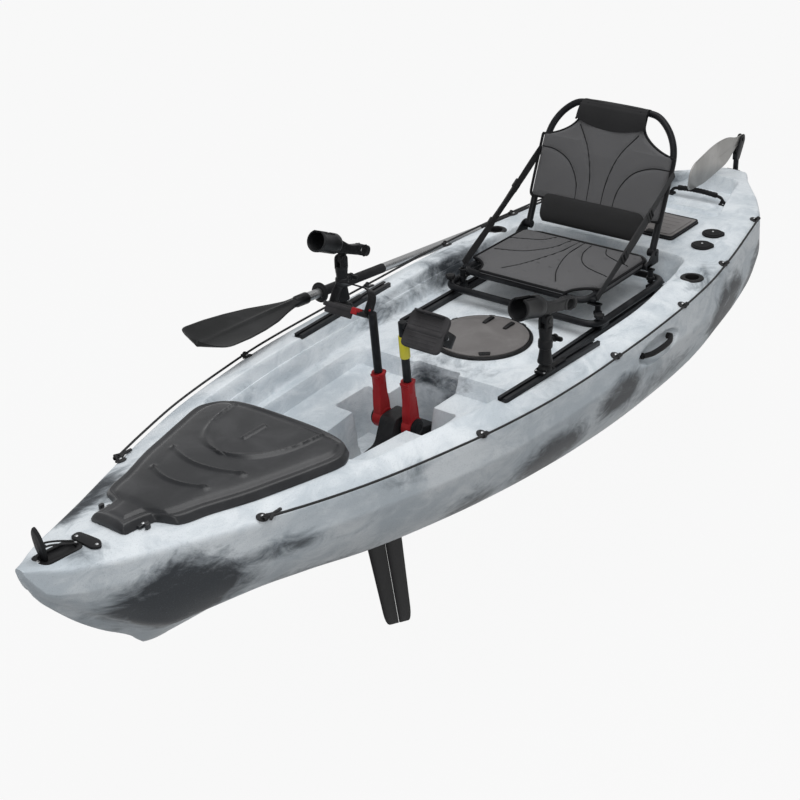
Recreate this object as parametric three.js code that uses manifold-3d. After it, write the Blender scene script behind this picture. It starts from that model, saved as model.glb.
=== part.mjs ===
// Sit-on-top pedal kayak with a flapping-fin drive, a framed seat, a folding rudder and a paddle.
// Millimetres. X points to the bow, Y to port and Z up. The origin lies on the flat keel, amidships.
import * as THREE from 'three';
import { mergeVertices } from 'three/addons/utils/BufferGeometryUtils.js';
import Module from 'manifold-3d';

const wasm = await Module();
wasm.setup();

// Overall sizes of the moulded hull
const hullLength = 3120;
const hullBeam = 852;
const hullDepth = 365;
const bury = 6;
const bowX = hullLength / 2;
const sternX = -hullLength / 2;
const keelFlatWidth = 96;
const shoulderWidth = 56;
const gap = 0.3;
const overrun = 40;
const weld = 1e-3;
const quarterTurn = Math.PI / 2;
const degree = Math.PI / 180;

// Sections of the hull from bow to stern, as shares of length, half beam and depth:
// place, gunwale width, gunwale height, chine width, chine height, bilge width, bilge height,
// keel height and the rise of the deck inboard of the gunwale
const sectionShares = [
  [0.5, 0.026, 1, 0.03, 0.985, 0.02, 0.965, 0.95, 0.006],
  [0.49, 0.07, 0.984, 0.103, 0.841, 0.061, 0.795, 0.765, 0.012],
  [0.4776, 0.136, 0.959, 0.16, 0.814, 0.094, 0.699, 0.627, 0.016],
  [0.4615, 0.195, 0.945, 0.214, 0.79, 0.134, 0.589, 0.474, 0.02],
  [0.4423, 0.254, 0.926, 0.275, 0.778, 0.188, 0.474, 0.323, 0.024],
  [0.4167, 0.329, 0.907, 0.352, 0.726, 0.263, 0.35, 0.15, 0.028],
  [0.4058, 0.361, 0.899, 0.383, 0.718, 0.289, 0.33, 0.052, 0.03],
  [0.3846, 0.423, 0.888, 0.446, 0.704, 0.338, 0.334, 0.014, 0.034],
  [0.3462, 0.533, 0.87, 0.552, 0.685, 0.427, 0.34, 0.004, 0.042],
  [0.3013, 0.65, 0.851, 0.674, 0.682, 0.521, 0.312, 0, 0.052],
  [0.2532, 0.754, 0.837, 0.77, 0.666, 0.603, 0.252, 0, 0.062],
  [0.1923, 0.847, 0.819, 0.866, 0.633, 0.678, 0.192, 0, 0.068],
  [0.1282, 0.923, 0.8, 0.939, 0.608, 0.737, 0.14, 0, 0.068],
  [0.0641, 0.962, 0.782, 0.979, 0.607, 0.77, 0.088, 0, 0.068],
  [0, 0.977, 0.775, 0.998, 0.605, 0.782, 0.041, 0, 0.066],
  [-0.0641, 0.979, 0.777, 1, 0.57, 0.784, 0.012, 0, 0.063],
  [-0.1282, 0.969, 0.784, 0.993, 0.567, 0.775, 0.004, 0, 0.06],
  [-0.1923, 0.939, 0.795, 0.958, 0.534, 0.751, 0.004, 0, 0.055],
  [-0.2564, 0.869, 0.811, 0.894, 0.529, 0.665, 0.007, 0, 0.047],
  [-0.3141, 0.788, 0.833, 0.81, 0.51, 0.585, 0.012, 0, 0.038],
  [-0.3654, 0.7, 0.846, 0.716, 0.52, 0.5, 0.024, 0.005, 0.033],
  [-0.4103, 0.532, 0.841, 0.55, 0.548, 0.38, 0.06, 0.027, 0.027],
  [-0.4487, 0.345, 0.824, 0.362, 0.565, 0.26, 0.123, 0.071, 0.02],
  [-0.4776, 0.21, 0.8, 0.224, 0.585, 0.15, 0.219, 0.151, 0.014],
  [-0.4936, 0.15, 0.785, 0.162, 0.6, 0.105, 0.329, 0.26, 0.01],
  [-0.5, 0.12, 0.778, 0.132, 0.61, 0.09, 0.384, 0.342, 0.008],
];
// How far the panels between keel, bilge and chine swell past a straight line
const bottomSwellShares = { place: 0.52, rise: 0.38, sharpFrom: 0.19, sharpen: 1.5 };
const keelShares = { from: 0.153, spread: 0.3, least: 0.006 };
const bilgeSwellShares = { place: 0.74, rise: 0.45 };
const deckCrownShares = { middlePlace: 0.5, middleRise: 1.14, centreRise: 1.22 };

// Cockpit, footwell and drive well
const cockpit = { floor: 235, corner: 45 };
const cockpitPlan = [[785, 252], [430, 302], [180, 318], [-280, 326], [-560, 300], [-722, 268]];
const footwell = { fore: 768, aft: 152, foreHalf: 222, aftHalf: 262, floor: 190, corner: 40 };
const well = {
  fore: 620, foreHalf: 62, shoulderFore: 402, shoulderHalf: 148, shoulderAft: 266,
  slotHalf: 86, aft: 137, aftHalf: 72, floor: 60, corner: 18,
};
const keelSlot = { ahead: 22, behind: 28, half: 36, corner: 14 };
const hatchBoss = { radius: 166, rise: 6, sides: 18 };
const tankWell = { fore: -1035, aft: -1424, foreHalf: 205, aftHalf: 92, floor: 258, corner: 36 };
const tankRib = { first: -1085, pitch: 62, count: 2, width: 22, rise: 9, foreHalf: 180, aftHalf: 140 };
const foreTub = { fore: 1176, aft: 872, foreHalf: 78, aftHalf: 176, floor: 176, corner: 30 };
const rearTub = { fore: -832, aft: -962, half: 160, floor: 130, corner: 22 };
const bowPocket = { x: bowX - 100, length: 100, half: 19, depth: 27, corner: 12 };
const handleScoop = { x: -292, z: 236, halfLength: 112, halfHeight: 34, depth: 36, rings: 7, sides: 12 };
const drainHole = { x: 26, radius: 13, z: 172, depth: 34, sides: 12 };

// Fittings on the deck
const rail = {
  fore: 327, aft: -85, foreY: 326, aftY: 345, width: 26, height: 12, lip: 4, slot: 8, keep: 3, notch: 84, notchWidth: 2,
  notchDepth: 0.8,
};
const seatTrack = { fore: -20, aft: -664, y: 238, width: 30, height: 14, lip: 4, slot: 9, keep: 3 };
const pocket = { margin: 1, depth: 1.2 };
const eye = { places: [1080, 479, -82, -456, -767, -1107], radius: 10, height: 4, loop: 15, width: 7, inboard: 11 };
const cord = { radius: 3, rise: 9, outboard: 1, step: 146, sides: 5 };
const centreHatch = { x: -60, rimOuter: 141, rimInner: 116, rimHeight: 7, lidRadius: 131, tubRadius: 104, tubFloor: 96 };
const centreLid = { thickness: 6, crown: 4, sides: 18, lip: 3 };
const latch = { y: 34, inset: 26, length: 46, width: 12, height: 6, drop: 0.5 };
const rearHatch = { fore: -808, aft: -986, half: 174, corner: 14, seal: 5, lid: 9, sealLip: 9 };
const cover = { aft: 745, fore: bowX - 234, thickness: 7, clearance: 0.9, crown: 16, rim: 13, rib: 5 };
const coverPlanShares = [
  [0, 0.62], [0.02, 0.8], [0.06, 0.93], [0.13, 1], [0.26, 0.93], [0.42, 0.82], [0.52, 0.75],
  [0.7, 0.58], [0.82, 0.48], [0.865, 0.27], [0.93, 0.24], [1, 0.23],
];
const coverHalf = 230;
const coverRibs = [[0.5, 0.46], [0.66, 0.36]];
const flushHolder = { x: -628, y: 338, tube: 23, bore: 20, depth: 150, flange: 34, thickness: 4, sides: 12 };
const capPlaces = [[-826, 265], [-922, 251]];
const cap = { radius: 33, tail: 17, tailOut: 36, thickness: 6, plug: 22, plugDepth: 16, turn: 26, sides: 8 };
const plug = { head: 17, headHeight: 6, sides: 12 };

// Handles
const sternHandle = { x: -1305, half: 96, rise: 20, radius: 9, arm: 5, foot: 6 };
const sideHandle = { half: 76, radius: 8, bow: 11, inset: 9, foot: 9 };
const toggle = {
  x: bowX - 59, z: 391, length: 108, width: 30, thickness: 9, lean: 10, cordRadius: 2.4, anchor: bowX - 153, spread: 7,
};

// Pedal drive
const axle = { x: 328, z: 155, radius: 7, capRadius: 25, capWidth: 9, sides: 14 };
const legs = { aft: 343.5, fore: 505.5, floor: -15, archTop: 32, toe: 20.5, heel: 157.5 };
const spine = {
  half: 25, aft: legs.aft - legs.heel, fore: legs.fore + legs.toe, foot: 96, hip: 112, hipAft: 262, hipFore: 396, head: 182,
  headAft: 290, headFore: 366, boss: 21,
};
const spineFoot = { ahead: 22, behind: 18, foreLength: 96, aftLength: 76, half: 58, thickness: 12 };
const crank = {
  lean: 5, length: 298, hubRadius: 28, hubWidth: 28, armFoot: 42, armTop: 30, armHeight: 136, armDepth: 26,
  tubeRadius: 11, tubeStart: 60, running: 0.5, spindle: 5, collar: 4,
};
const pedal = { length: 98, width: 118, thickness: 14, sideGap: 3, bow: 3 };
const pedalTilt = { port: -128, starboard: -30 };
const strap = { width: 36, thickness: 4, rise: 58, corner: 36 };
const finShaft = { z: -4, radius: 5, sides: 12 };
const fin = {
  hub: 10.5, runGap: 2, endGap: 2.5, root: -17, tipForeBack: 98, tipAftBack: 57.5, tipForeZ: -446,
  tipAftZ: -494, noseThickness: 11, tailThickness: 3, rings: 4,
};

// Seat
const seat = {
  tube: 10, frameFore: -262, frameAft: -618, frameHalf: 202, frameZ: 325, lowerFore: -240, lowerAft: -628,
  lowerHalf: 252, lowerZ: 273, footAt: [-292, -586], footLength: 44, footWidth: 30, corner: 46,
};
const back = { lean: -21.7, rise: 26, half: 211, shoulder: 280, archHalf: 98, archTop: 386, footHalf: 211 };
const hinge = { plate: 3.5, pin: 5, eyeRadius: 13, eyeHalf: 11.5 };
const seatPad = { thickness: 9, crown: 6, channels: 3, channelDepth: 3, steps: 12 };
const backPad = { bottom: 84, top: 392, half: 220, topHalf: 106, shoulder: 272, thickness: 9, crown: 10, channels: 4 };
const lumbar = { low: 22, high: 88, half: 166, thickness: 8, crown: 5, steps: 4 };
const sideStrap = { width: 25, thickness: 2.6, backAt: 232, foreX: -292, foreZ: 330, sag: 5, steps: 8 };
const seatKnob = { radius: 15, height: 16, sides: 8, x: -262, y: 262 };

// Rod holders on the rails
const holder = {
  port: 146, starboard: 125, baseLength: 52, baseWidth: 36, baseHeight: 20, postRadius: 14, postHeight: 104,
  fork: 9, forkHeight: 26, knobReach: 38, knobRadius: 11, lever: 86, leverWidth: 15, leverHeight: 7.5,
};
const head = {
  cupRadius: 30, cupBore: 25, cupLength: 92, cupSlot: 24, cradle: 118, cradleHole: 15, rise: 31, neck: 12,
  cupX: 40, tiltPort: 14, tiltStarboard: 24,
};

// Rudder on the stern
const rudder = {
  pinX: sternX - 19, pivotX: sternX - 44, pivotZ: 381, bladeLean: 6.5, length: 378, width: 104, thickness: 6, cheek: 5,
  cheekGap: 0.4, barrel: 9, pin: 5, plate: 5, plateHalf: 26, plateLow: 200, plateHigh: 286, lugLow: 216, lugHigh: 270,
  lug: 13, neck: 338, bolt: 3.4,
};

// Paddle on the starboard gunwale
const paddle = {
  ringX: 121, ringY: -422.1, ringZ: 340.5, endX: -1058.8, endY: -451.8, endZ: 219, radius: 14, ring: 29, ringWidth: 8,
  tip: 618, tail: -1606, blade: 440, bladeHalf: 84, bladeThickness: 6, spine: 11, gripShare: 0.36,
};

const plastic = (color, roughness = 0.5) => new THREE.MeshStandardMaterial({ color, roughness, metalness: 0 });
const metal = (color, roughness = 0.35) => new THREE.MeshStandardMaterial({ color, roughness, metalness: 0.9 });
const colours = {
  hull: 0xd5dde4, black: 0x151617, graphite: 0x33363a, red: 0x9c2427, yellow: 0xd9cf3a, grey: 0x6f7276,
  lid: 0x77757a, silver: 0xb9bdc1, bladeGrey: 0x9a979b, steel: 0xc4c6c8,
};

const group = new THREE.Group();
group.name = 'pedal_kayak';

// Turns a closed mesh so that its faces point outwards
function facingOut(geometry) {
  const place = geometry.attributes.position;
  const index = geometry.index;
  const [a, b, c] = [new THREE.Vector3(), new THREE.Vector3(), new THREE.Vector3()];
  let volume = 0;
  for (let i = 0; i < index.count; i += 3) {
    a.fromBufferAttribute(place, index.getX(i));
    b.fromBufferAttribute(place, index.getX(i + 1));
    c.fromBufferAttribute(place, index.getX(i + 2));
    volume += a.dot(b.cross(c));
  }
  if (volume < 0) {
    for (let i = 0; i < index.count; i += 3) {
      const held = index.getX(i);
      index.setX(i, index.getX(i + 1));
      index.setX(i + 1, held);
    }
  }
  return geometry;
}

function welded(geometry) {
  const bare = geometry.clone();
  bare.deleteAttribute('normal');
  bare.deleteAttribute('uv');
  const merged = mergeVertices(bare, weld);
  const faces = Array.from(merged.index.array);
  const kept = faces.filter((_, k) => {
    const [a, b, c] = faces.slice(k - (k % 3), k - (k % 3) + 3);
    return a !== b && b !== c && c !== a;
  });
  merged.setIndex(kept);
  return facingOut(merged);
}

function solid(geometry) {
  const closed = welded(geometry);
  return new wasm.Manifold(new wasm.Mesh({
    numProp: 3,
    vertProperties: new Float32Array(closed.attributes.position.array),
    triVerts: new Uint32Array(closed.index.array),
  }));
}

function surface(body) {
  const mesh = body.getMesh();
  const geometry = new THREE.BufferGeometry();
  geometry.setAttribute('position', new THREE.BufferAttribute(new Float32Array(mesh.vertProperties), 3));
  geometry.setIndex(new THREE.BufferAttribute(new Uint32Array(mesh.triVerts), 1));
  return geometry;
}

const asSolid = (item) => (item.isBufferGeometry ? solid(item) : item);
const joined = (items) => items.map(asSolid).reduce((whole, next) => whole.add(next));
const carved = (item, cuts) => cuts.map(asSolid).reduce((whole, next) => whole.subtract(next), asSolid(item));

function piece(name, material, item, parent = group) {
  const mesh = new THREE.Mesh(item.isBufferGeometry ? welded(item) : surface(item), material);
  mesh.name = name;
  parent.add(mesh);
  return mesh;
}

// A closed outline whose corners, given as [x, y, cut], are rounded
function outline(corners, steps = 3) {
  const points = [];
  corners.forEach(([x, y, wanted = 0], i) => {
    const corner = new THREE.Vector2(x, y);
    const back = new THREE.Vector2(...corners.at(i - 1)).sub(corner);
    const on = new THREE.Vector2(...corners[(i + 1) % corners.length]).sub(corner);
    const cut = Math.min(wanted, back.length() / 2, on.length() / 2);
    const [before, after] = [back, on].map((run) => run.setLength(cut).add(corner));
    const bend = new THREE.QuadraticBezierCurve(before, corner, after);
    points.push(...(cut > 0 ? bend.getPoints(steps) : [corner]));
  });
  return new THREE.Shape(points.filter((p, i) => p.distanceTo(points.at(i - 1)) > 20 * weld));
}

function box(x0, x1, y0, y1, corner = 0) {
  return outline([[x0, y0, corner], [x1, y0, corner], [x1, y1, corner], [x0, y1, corner]]);
}

function disc(radius, sides, x = 0, y = 0) {
  const points = [];
  for (let i = 0; i < sides; i++) {
    const turn = (i / sides) * 4 * quarterTurn;
    points.push(new THREE.Vector2(x + radius * Math.cos(turn), y + radius * Math.sin(turn)));
  }
  return new THREE.Shape(points);
}

const extruded = (shape, depth) => new THREE.ExtrudeGeometry(shape, { depth, bevelEnabled: false });

// An outline in plan raised between two heights
const slab = (shape, low, high) => extruded(shape, high - low).translate(0, 0, low);

// An outline seen from the side, in X and Z, with its thickness across the boat
const sideSlab = (shape, low, high) => extruded(shape, high - low).rotateX(quarterTurn).translate(0, high, 0);

// An outline seen from the bow, in Y and Z, with its thickness along the boat
const frontSlab = (shape, low, high) => {
  const turn = new THREE.Matrix4().makeBasis(
    new THREE.Vector3(0, 1, 0), new THREE.Vector3(0, 0, 1), new THREE.Vector3(1, 0, 0));
  return extruded(shape, high - low).applyMatrix4(turn).translate(low, 0, 0);
};

// A profile of [radius, height] points turned about the vertical
function turned(profile, sides) {
  const points = profile.map(([r, h]) => new THREE.Vector2(r, h));
  return new THREE.LatheGeometry(points, sides).rotateX(quarterTurn);
}

const rod = (radius, low, high, sides) => slab(disc(radius, sides), low, high);
const rodAlongX = (radius, low, high, sides) => rod(radius, low, high, sides).rotateY(quarterTurn);
const rodAcross = (radius, low, high, sides) => rod(radius, low, high, sides).rotateX(-quarterTurn);

function pipe(points, radius, sides, steps) {
  const path = new THREE.CatmullRomCurve3(points.map((p) => new THREE.Vector3(...p)));
  return new THREE.ExtrudeGeometry(disc(radius, sides), { steps, extrudePath: path });
}

// Skins a row of closed rings, each with as many points, and closes both ends
function loft(rings) {
  const count = rings[0].length;
  const flat = rings.flat().flatMap((p) => [p.x, p.y, p.z]);
  const ends = [rings[0], rings.at(-1)].map((ring) =>
    ring.reduce((sum, p) => sum.add(p), new THREE.Vector3()).divideScalar(count));
  ends.forEach((p) => flat.push(p.x, p.y, p.z));
  const faces = [];
  for (let i = 0; i + 1 < rings.length; i++) {
    for (let j = 0; j < count; j++) {
      const next = (j + 1) % count;
      const [a, b] = [i * count + j, i * count + next];
      faces.push(a, b, b + count, a, b + count, a + count);
    }
  }
  const [first, last] = [rings.length * count, rings.length * count + 1];
  const end = (rings.length - 1) * count;
  for (let j = 0; j < count; j++) {
    const next = (j + 1) % count;
    faces.push(first, next, j, last, end + j, end + next);
  }
  const geometry = new THREE.BufferGeometry();
  geometry.setAttribute('position', new THREE.Float32BufferAttribute(flat, 3));
  geometry.setIndex(faces);
  return geometry;
}

// The hull's section at a place along its length
function sectionAt(x) {
  const share = x / hullLength;
  let i = 0;
  while (i < sectionShares.length - 2 && sectionShares[i + 1][0] > share) i++;
  const [ahead, behind] = [sectionShares[i], sectionShares[i + 1]];
  const part = THREE.MathUtils.clamp((ahead[0] - share) / (ahead[0] - behind[0]), 0, 1);
  const [, gunwale, gunwaleZ, chine, chineZ, bilge, bilgeZ, keelZ, rise] =
    ahead.map((value, k) => value + (behind[k] - value) * part);
  const half = hullBeam / 2;
  return {
    gunwale: gunwale * half, gunwaleZ: gunwaleZ * hullDepth, chine: chine * half, chineZ: chineZ * hullDepth,
    bilge: bilge * half, bilgeZ: bilgeZ * hullDepth, keelZ: keelZ * hullDepth, rise: rise * hullDepth,
  };
}

const mix = (from, to, share) => from + (to - from) * share;

function deckPoints(s) {
  const shoulder = Math.max(s.gunwale - shoulderWidth, s.gunwale / 2);
  return [
    [s.gunwale, s.gunwaleZ],
    [shoulder, s.gunwaleZ + s.rise],
    [shoulder * deckCrownShares.middlePlace, s.gunwaleZ + s.rise * deckCrownShares.middleRise],
    [0, s.gunwaleZ + s.rise * deckCrownShares.centreRise],
  ];
}

function deckHeight(x, y) {
  const deck = deckPoints(sectionAt(x));
  const out = Math.abs(y);
  for (let i = 0; i + 1 < deck.length; i++) {
    if (out >= deck[i + 1][0]) {
      const part = THREE.MathUtils.clamp((deck[i][0] - out) / (deck[i][0] - deck[i + 1][0]), 0, 1);
      return mix(deck[i][1], deck[i + 1][1], part);
    }
  }
  return deck.at(-1)[1];
}

function halfSection(x) {
  const s = sectionAt(x);
  const { place, rise, sharpFrom, sharpen } = bottomSwellShares;
  const spread = (s.bilge - hullBeam * keelShares.from) * keelShares.spread;
  const keelHalf = THREE.MathUtils.clamp(spread, hullBeam * keelShares.least, keelFlatWidth / 2);
  const veed = rise + Math.max(0, s.bilgeZ / hullDepth - sharpFrom) * sharpen;
  return [
    [keelHalf, s.keelZ],
    [mix(keelHalf, s.bilge, place), mix(s.keelZ, s.bilgeZ, veed)],
    [s.bilge, s.bilgeZ],
    [mix(s.bilge, s.chine, bilgeSwellShares.place), mix(s.bilgeZ, s.chineZ, bilgeSwellShares.rise)],
    [s.chine, s.chineZ],
    ...deckPoints(s),
  ];
}

// The whole hull form before anything is sunk in it; its closed inside stays solid
function hullForm() {
  return loft(sectionShares.map(([share]) => {
    const x = share * hullLength;
    const half = halfSection(x);
    const port = half.map(([y, z]) => new THREE.Vector3(x, y, z));
    const starboard = half.slice(0, -1).map(([y, z]) => new THREE.Vector3(x, -y, z)).reverse();
    return [...port, ...starboard];
  }));
}

// A hollow sunk from the deck, its plan given from bow to stern as [x, half width]
function sunk(plan, floor, corner) {
  const port = plan.map(([x, half], i) => [x, half, i === 0 || i === plan.length - 1 ? corner : 0]);
  const starboard = port.map(([x, half, r]) => [x, -half, r]).reverse();
  return slab(outline([...port, ...starboard]), floor, hullDepth + overrun);
}

function wellHollows() {
  const { fore, foreHalf, shoulderFore, shoulderHalf, shoulderAft, slotHalf, aft, aftHalf, floor, corner } = well;
  return [
    sunk([[fore, foreHalf], [shoulderFore, slotHalf], [shoulderAft, aftHalf], [aft, aftHalf]], floor, corner),
    sunk([[shoulderFore, shoulderHalf], [shoulderAft, shoulderHalf]], floor, corner),
  ];
}

const railAngle = Math.atan2(rail.foreY - rail.aftY, rail.fore - rail.aft);
const railMiddle = [(rail.fore + rail.aft) / 2, (rail.foreY + rail.aftY) / 2];
const railLength = Math.hypot(rail.fore - rail.aft, rail.foreY - rail.aftY);
const railSeat = Math.min(...[rail.fore, rail.aft].map((x) =>
  Math.min(deckHeight(x, rail.foreY - rail.width), deckHeight(x, rail.aftY + rail.width / 2)))) - pocket.depth;
const railTop = railSeat + gap + rail.height;

const seatPlane = (x, y, reach) => Math.min(...[-1, 1].flatMap((i) => [-1, 1].map((j) =>
  deckHeight(x + i * reach, y + j * reach)))) - pocket.depth;

const rearSeat = Math.min(deckHeight(rearHatch.fore, rearHatch.half), deckHeight(rearHatch.fore, 0)) - pocket.depth;
const flushSeat = seatPlane(flushHolder.x, flushHolder.y, flushHolder.flange);
const capReach = cap.radius + cap.tailOut;
const capSeats = capPlaces.map(([x, y]) => seatPlane(x, y, cap.radius));

function hull() {
  const hollows = [
    sunk(cockpitPlan, cockpit.floor, cockpit.corner),
    sunk([[footwell.fore, footwell.foreHalf], [footwell.aft, footwell.aftHalf]], footwell.floor, footwell.corner),
    ...wellHollows(),
    slab(box(spine.aft - keelSlot.behind, spine.fore + keelSlot.ahead, -keelSlot.half, keelSlot.half, keelSlot.corner),
      -overrun, well.floor + overrun),
    sunk([[tankWell.fore, tankWell.foreHalf], [tankWell.aft, tankWell.aftHalf]], tankWell.floor, tankWell.corner),
    sunk([[foreTub.fore, foreTub.foreHalf], [foreTub.aft, foreTub.aftHalf]], foreTub.floor, foreTub.corner),
    sunk([[rearTub.fore, rearTub.half], [rearTub.aft, rearTub.half]], rearTub.floor, rearTub.corner),
    rod(centreHatch.tubRadius, centreHatch.tubFloor, hullDepth, centreLid.sides)
      .translate(centreHatch.x, 0, 0),
    ...[1, -1].flatMap((side) => [
      rod(flushHolder.tube + gap, flushSeat - flushHolder.depth - 2 * gap, hullDepth, flushHolder.sides)
        .translate(flushHolder.x, side * flushHolder.y, 0),
      new THREE.SphereGeometry(1, handleScoop.sides, handleScoop.rings)
        .scale(handleScoop.halfLength, handleScoop.depth, handleScoop.halfHeight)
        .translate(handleScoop.x, side * sectionAt(handleScoop.x).chine, handleScoop.z),
      ...capPlaces.map(([x, y], i) =>
        rod(cap.plug + gap, capSeats[i] - cap.plugDepth - 2 * gap, hullDepth, cap.sides)
          .translate(x, side * y, 0)),
    ]),
  ];
  const seats = [1, -1].flatMap((side) => [
    slab(box(-railLength / 2 - pocket.margin, railLength / 2 + pocket.margin,
      -rail.width / 2 - pocket.margin, rail.width / 2 + pocket.margin), railSeat, hullDepth)
      .rotateZ(side * railAngle).translate(railMiddle[0], side * railMiddle[1], 0),
    rod(flushHolder.flange + pocket.margin, flushSeat, hullDepth, flushHolder.sides)
      .translate(flushHolder.x, side * flushHolder.y, 0),
    ...capPlaces.map(([x, y], i) => slab(capOutline(pocket.margin), capSeats[i], hullDepth)
      .rotateZ(cap.turn * degree).scale(1, side, 1).translate(x, side * y, 0)),
  ]);
  const rearFlat = slab(box(rearHatch.aft - pocket.margin, rearHatch.fore + pocket.margin,
    -rearHatch.half - pocket.margin, rearHatch.half + pocket.margin, rearHatch.corner), rearSeat, hullDepth);
  const bow = slab(box(bowPocket.x - bowPocket.length / 2, bowPocket.x + bowPocket.length / 2,
    -bowPocket.half, bowPocket.half, bowPocket.corner), deckHeight(bowPocket.x, 0) - bowPocket.depth, hullDepth + overrun);
  const shell = carved(hullForm(), [...hollows, ...seats, rearFlat, bow]);
  const drain = rodAlongX(drainHole.radius, sternX - overrun, sternX + 2 * drainHole.depth, drainHole.sides)
    .translate(0, drainHole.x, drainHole.z);
  const boss = carved(rod(hatchBoss.radius, cockpit.floor - bury, cockpit.floor + hatchBoss.rise, hatchBoss.sides)
    .translate(centreHatch.x, 0, 0), [rod(centreHatch.tubRadius, 0, hullDepth, centreLid.sides)
    .translate(centreHatch.x, 0, 0), ...wellHollows()]);
  const ribs = Array.from({ length: tankRib.count }, (_, i) => {
    const x = tankRib.first - i * tankRib.pitch;
    const half = mix(tankRib.foreHalf, tankRib.aftHalf, i / tankRib.count);
    return slab(box(x - tankRib.width / 2, x + tankRib.width / 2, -half, half, tankRib.rise),
      tankWell.floor - bury, tankWell.floor + tankRib.rise);
  });
  piece('hull', plastic(colours.hull, 0.55), carved(joined([shell, boss, ...ribs]), [drain]));
}

function capOutline(grow) {
  const half = cap.radius + grow;
  const tail = cap.tail + grow;
  const neck = half / 2;
  return outline([
    [-half, -half, half], [half, -half, half], [half, neck, neck / 2], [tail, cap.tailOut + grow, tail / 2],
    [-tail, cap.tailOut + grow, tail / 2], [-half, neck, neck / 2],
  ], 2);
}

// A channel with an inward lip on each side of its mouth, lying along X
function channel({ width, height, lip, slot, keep }, length) {
  const [half, mouth, low] = [width / 2, slot / 2, keep];
  const shape = outline([
    [-half, 0], [half, 0], [half, height], [mouth, height], [mouth, height - lip], [half - keep, height - lip],
    [half - keep, low], [keep - half, low], [keep - half, height - lip], [-mouth, height - lip],
    [-mouth, height], [-half, height],
  ]);
  return frontSlab(shape, -length / 2, length / 2);
}

function rails() {
  for (const [side, name] of [[1, 'port'], [-1, 'starboard']]) {
    const notch = frontSlab(box(-rail.width, rail.width, rail.height - rail.notchDepth, rail.height + overrun),
      rail.notch, rail.notch + rail.notchWidth);
    const gear = piece(`gear_rail_${name}`, plastic(colours.black), carved(channel(rail, railLength), [notch]));
    gear.position.set(railMiddle[0], side * railMiddle[1], railSeat + gap);
    gear.rotation.z = side * railAngle;
    const track = piece(`seat_track_${name}`, metal(colours.black), channel(seatTrack, seatTrack.fore - seatTrack.aft));
    track.position.set((seatTrack.fore + seatTrack.aft) / 2, side * seatTrack.y, cockpit.floor + gap);
  }
}

// Each deck line runs through its pad eyes along the gunwale
function deckLines() {
  for (const [side, name] of [[1, 'port'], [-1, 'starboard']]) {
    const [start, end] = [eye.places[0], eye.places.at(-1)];
    const steps = Math.round((start - end) / cord.step);
    const route = Array.from({ length: steps + 1 }, (_, i) => {
      const x = mix(start, end, i / steps);
      const s = sectionAt(x);
      return [x, side * (s.gunwale + cord.outboard), s.gunwaleZ + cord.rise];
    });
    const line = pipe(route, cord.radius, cord.sides, steps);
    const eyes = eye.places.flatMap((x) => {
      const s = sectionAt(x);
      const shoulder = Math.min(shoulderWidth, s.gunwale / 2);
      const slope = Math.atan2(s.rise, shoulder);
      const y = s.gunwale - eye.inboard;
      const z = deckHeight(x, y) + gap * 4;
      const foot = rod(eye.radius, 0, eye.height, 6).rotateX(-slope).translate(x, y, z);
      const crown = [x, y, z + eye.height / 2];
      const loop = pipe([crown, [x, y + eye.inboard / 2, z + cord.rise],
        [x, s.gunwale + cord.outboard, s.gunwaleZ + cord.rise]], eye.width / 2, 4, 2);
      return [foot, loop].map((g) => g.scale(1, side, 1));
    });
    piece(`deck_line_${name}`, plastic(colours.black), joined([line, ...eyes]));
  }
}

function centreHatchParts() {
  const base = cockpit.floor + hatchBoss.rise + gap;
  const { rimOuter, rimInner, rimHeight, lidRadius } = centreHatch;
  const rim = turned([
    [rimInner - centreLid.lip, 0], [rimOuter, 0], [rimOuter, rimHeight / 2], [lidRadius + 2 * centreLid.lip, rimHeight],
    [lidRadius + gap + 1, rimHeight], [lidRadius + gap + 1, rimHeight / 2], [rimInner - centreLid.lip, rimHeight / 2],
    [rimInner - centreLid.lip, 0],
  ], centreLid.sides);
  piece('centre_hatch_rim', plastic(colours.black), rim.translate(centreHatch.x, 0, base));
  const low = base + rimHeight / 2 + gap;
  const high = low + centreLid.thickness;
  const crown = high + centreLid.crown;
  const body = turned([[0, low], [lidRadius - 1, low], [lidRadius - 1, high - 1], [lidRadius - 6, high],
    [lidRadius / 2, crown - 1], [0, crown]], centreLid.sides);
  const tab = slab(box(lidRadius - 14, lidRadius - 1, -11, 11, 2), low + 1, high + 3);
  piece('centre_hatch_lid', plastic(colours.lid), joined([body, tab]).translate([centreHatch.x, 0, 0]));
  for (const [side, name] of [[1, 'port'], [-1, 'starboard']]) {
    const bar = sideSlab(outline([[0, 0], [latch.length, 0], [latch.length, latch.height / 2, 1],
      [latch.length / 2, latch.height, 4], [0, latch.height, 2]]), -latch.width / 2, latch.width / 2);
    const x = centreHatch.x - lidRadius + latch.inset;
    piece(`hatch_latch_${name}`, plastic(colours.black), bar.translate(x, side * latch.y, crown - latch.drop));
  }
}

function rearHatchParts() {
  const { fore, aft, half, corner, seal, lid, sealLip } = rearHatch;
  const low = rearSeat + gap;
  const seal_ = carved(slab(box(aft, fore, -half, half, corner), low, low + seal),
    [slab(box(aft + sealLip, fore - sealLip, sealLip - half, half - sealLip, corner), low - 1, low + seal + 1)]);
  piece('rear_hatch_seal', plastic(colours.black, 0.8), seal_);
  const top = low + seal + gap;
  const plate = slab(box(aft + 2, fore - 2, 2 - half, half - 2, corner), top, top + lid * 0.6);
  const raised = slab(box(aft + 16, fore - 16, 16 - half, half - 16, corner), top, top + lid);
  piece('rear_hatch_lid', plastic(colours.lid), joined([plate, raised]));
}

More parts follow.
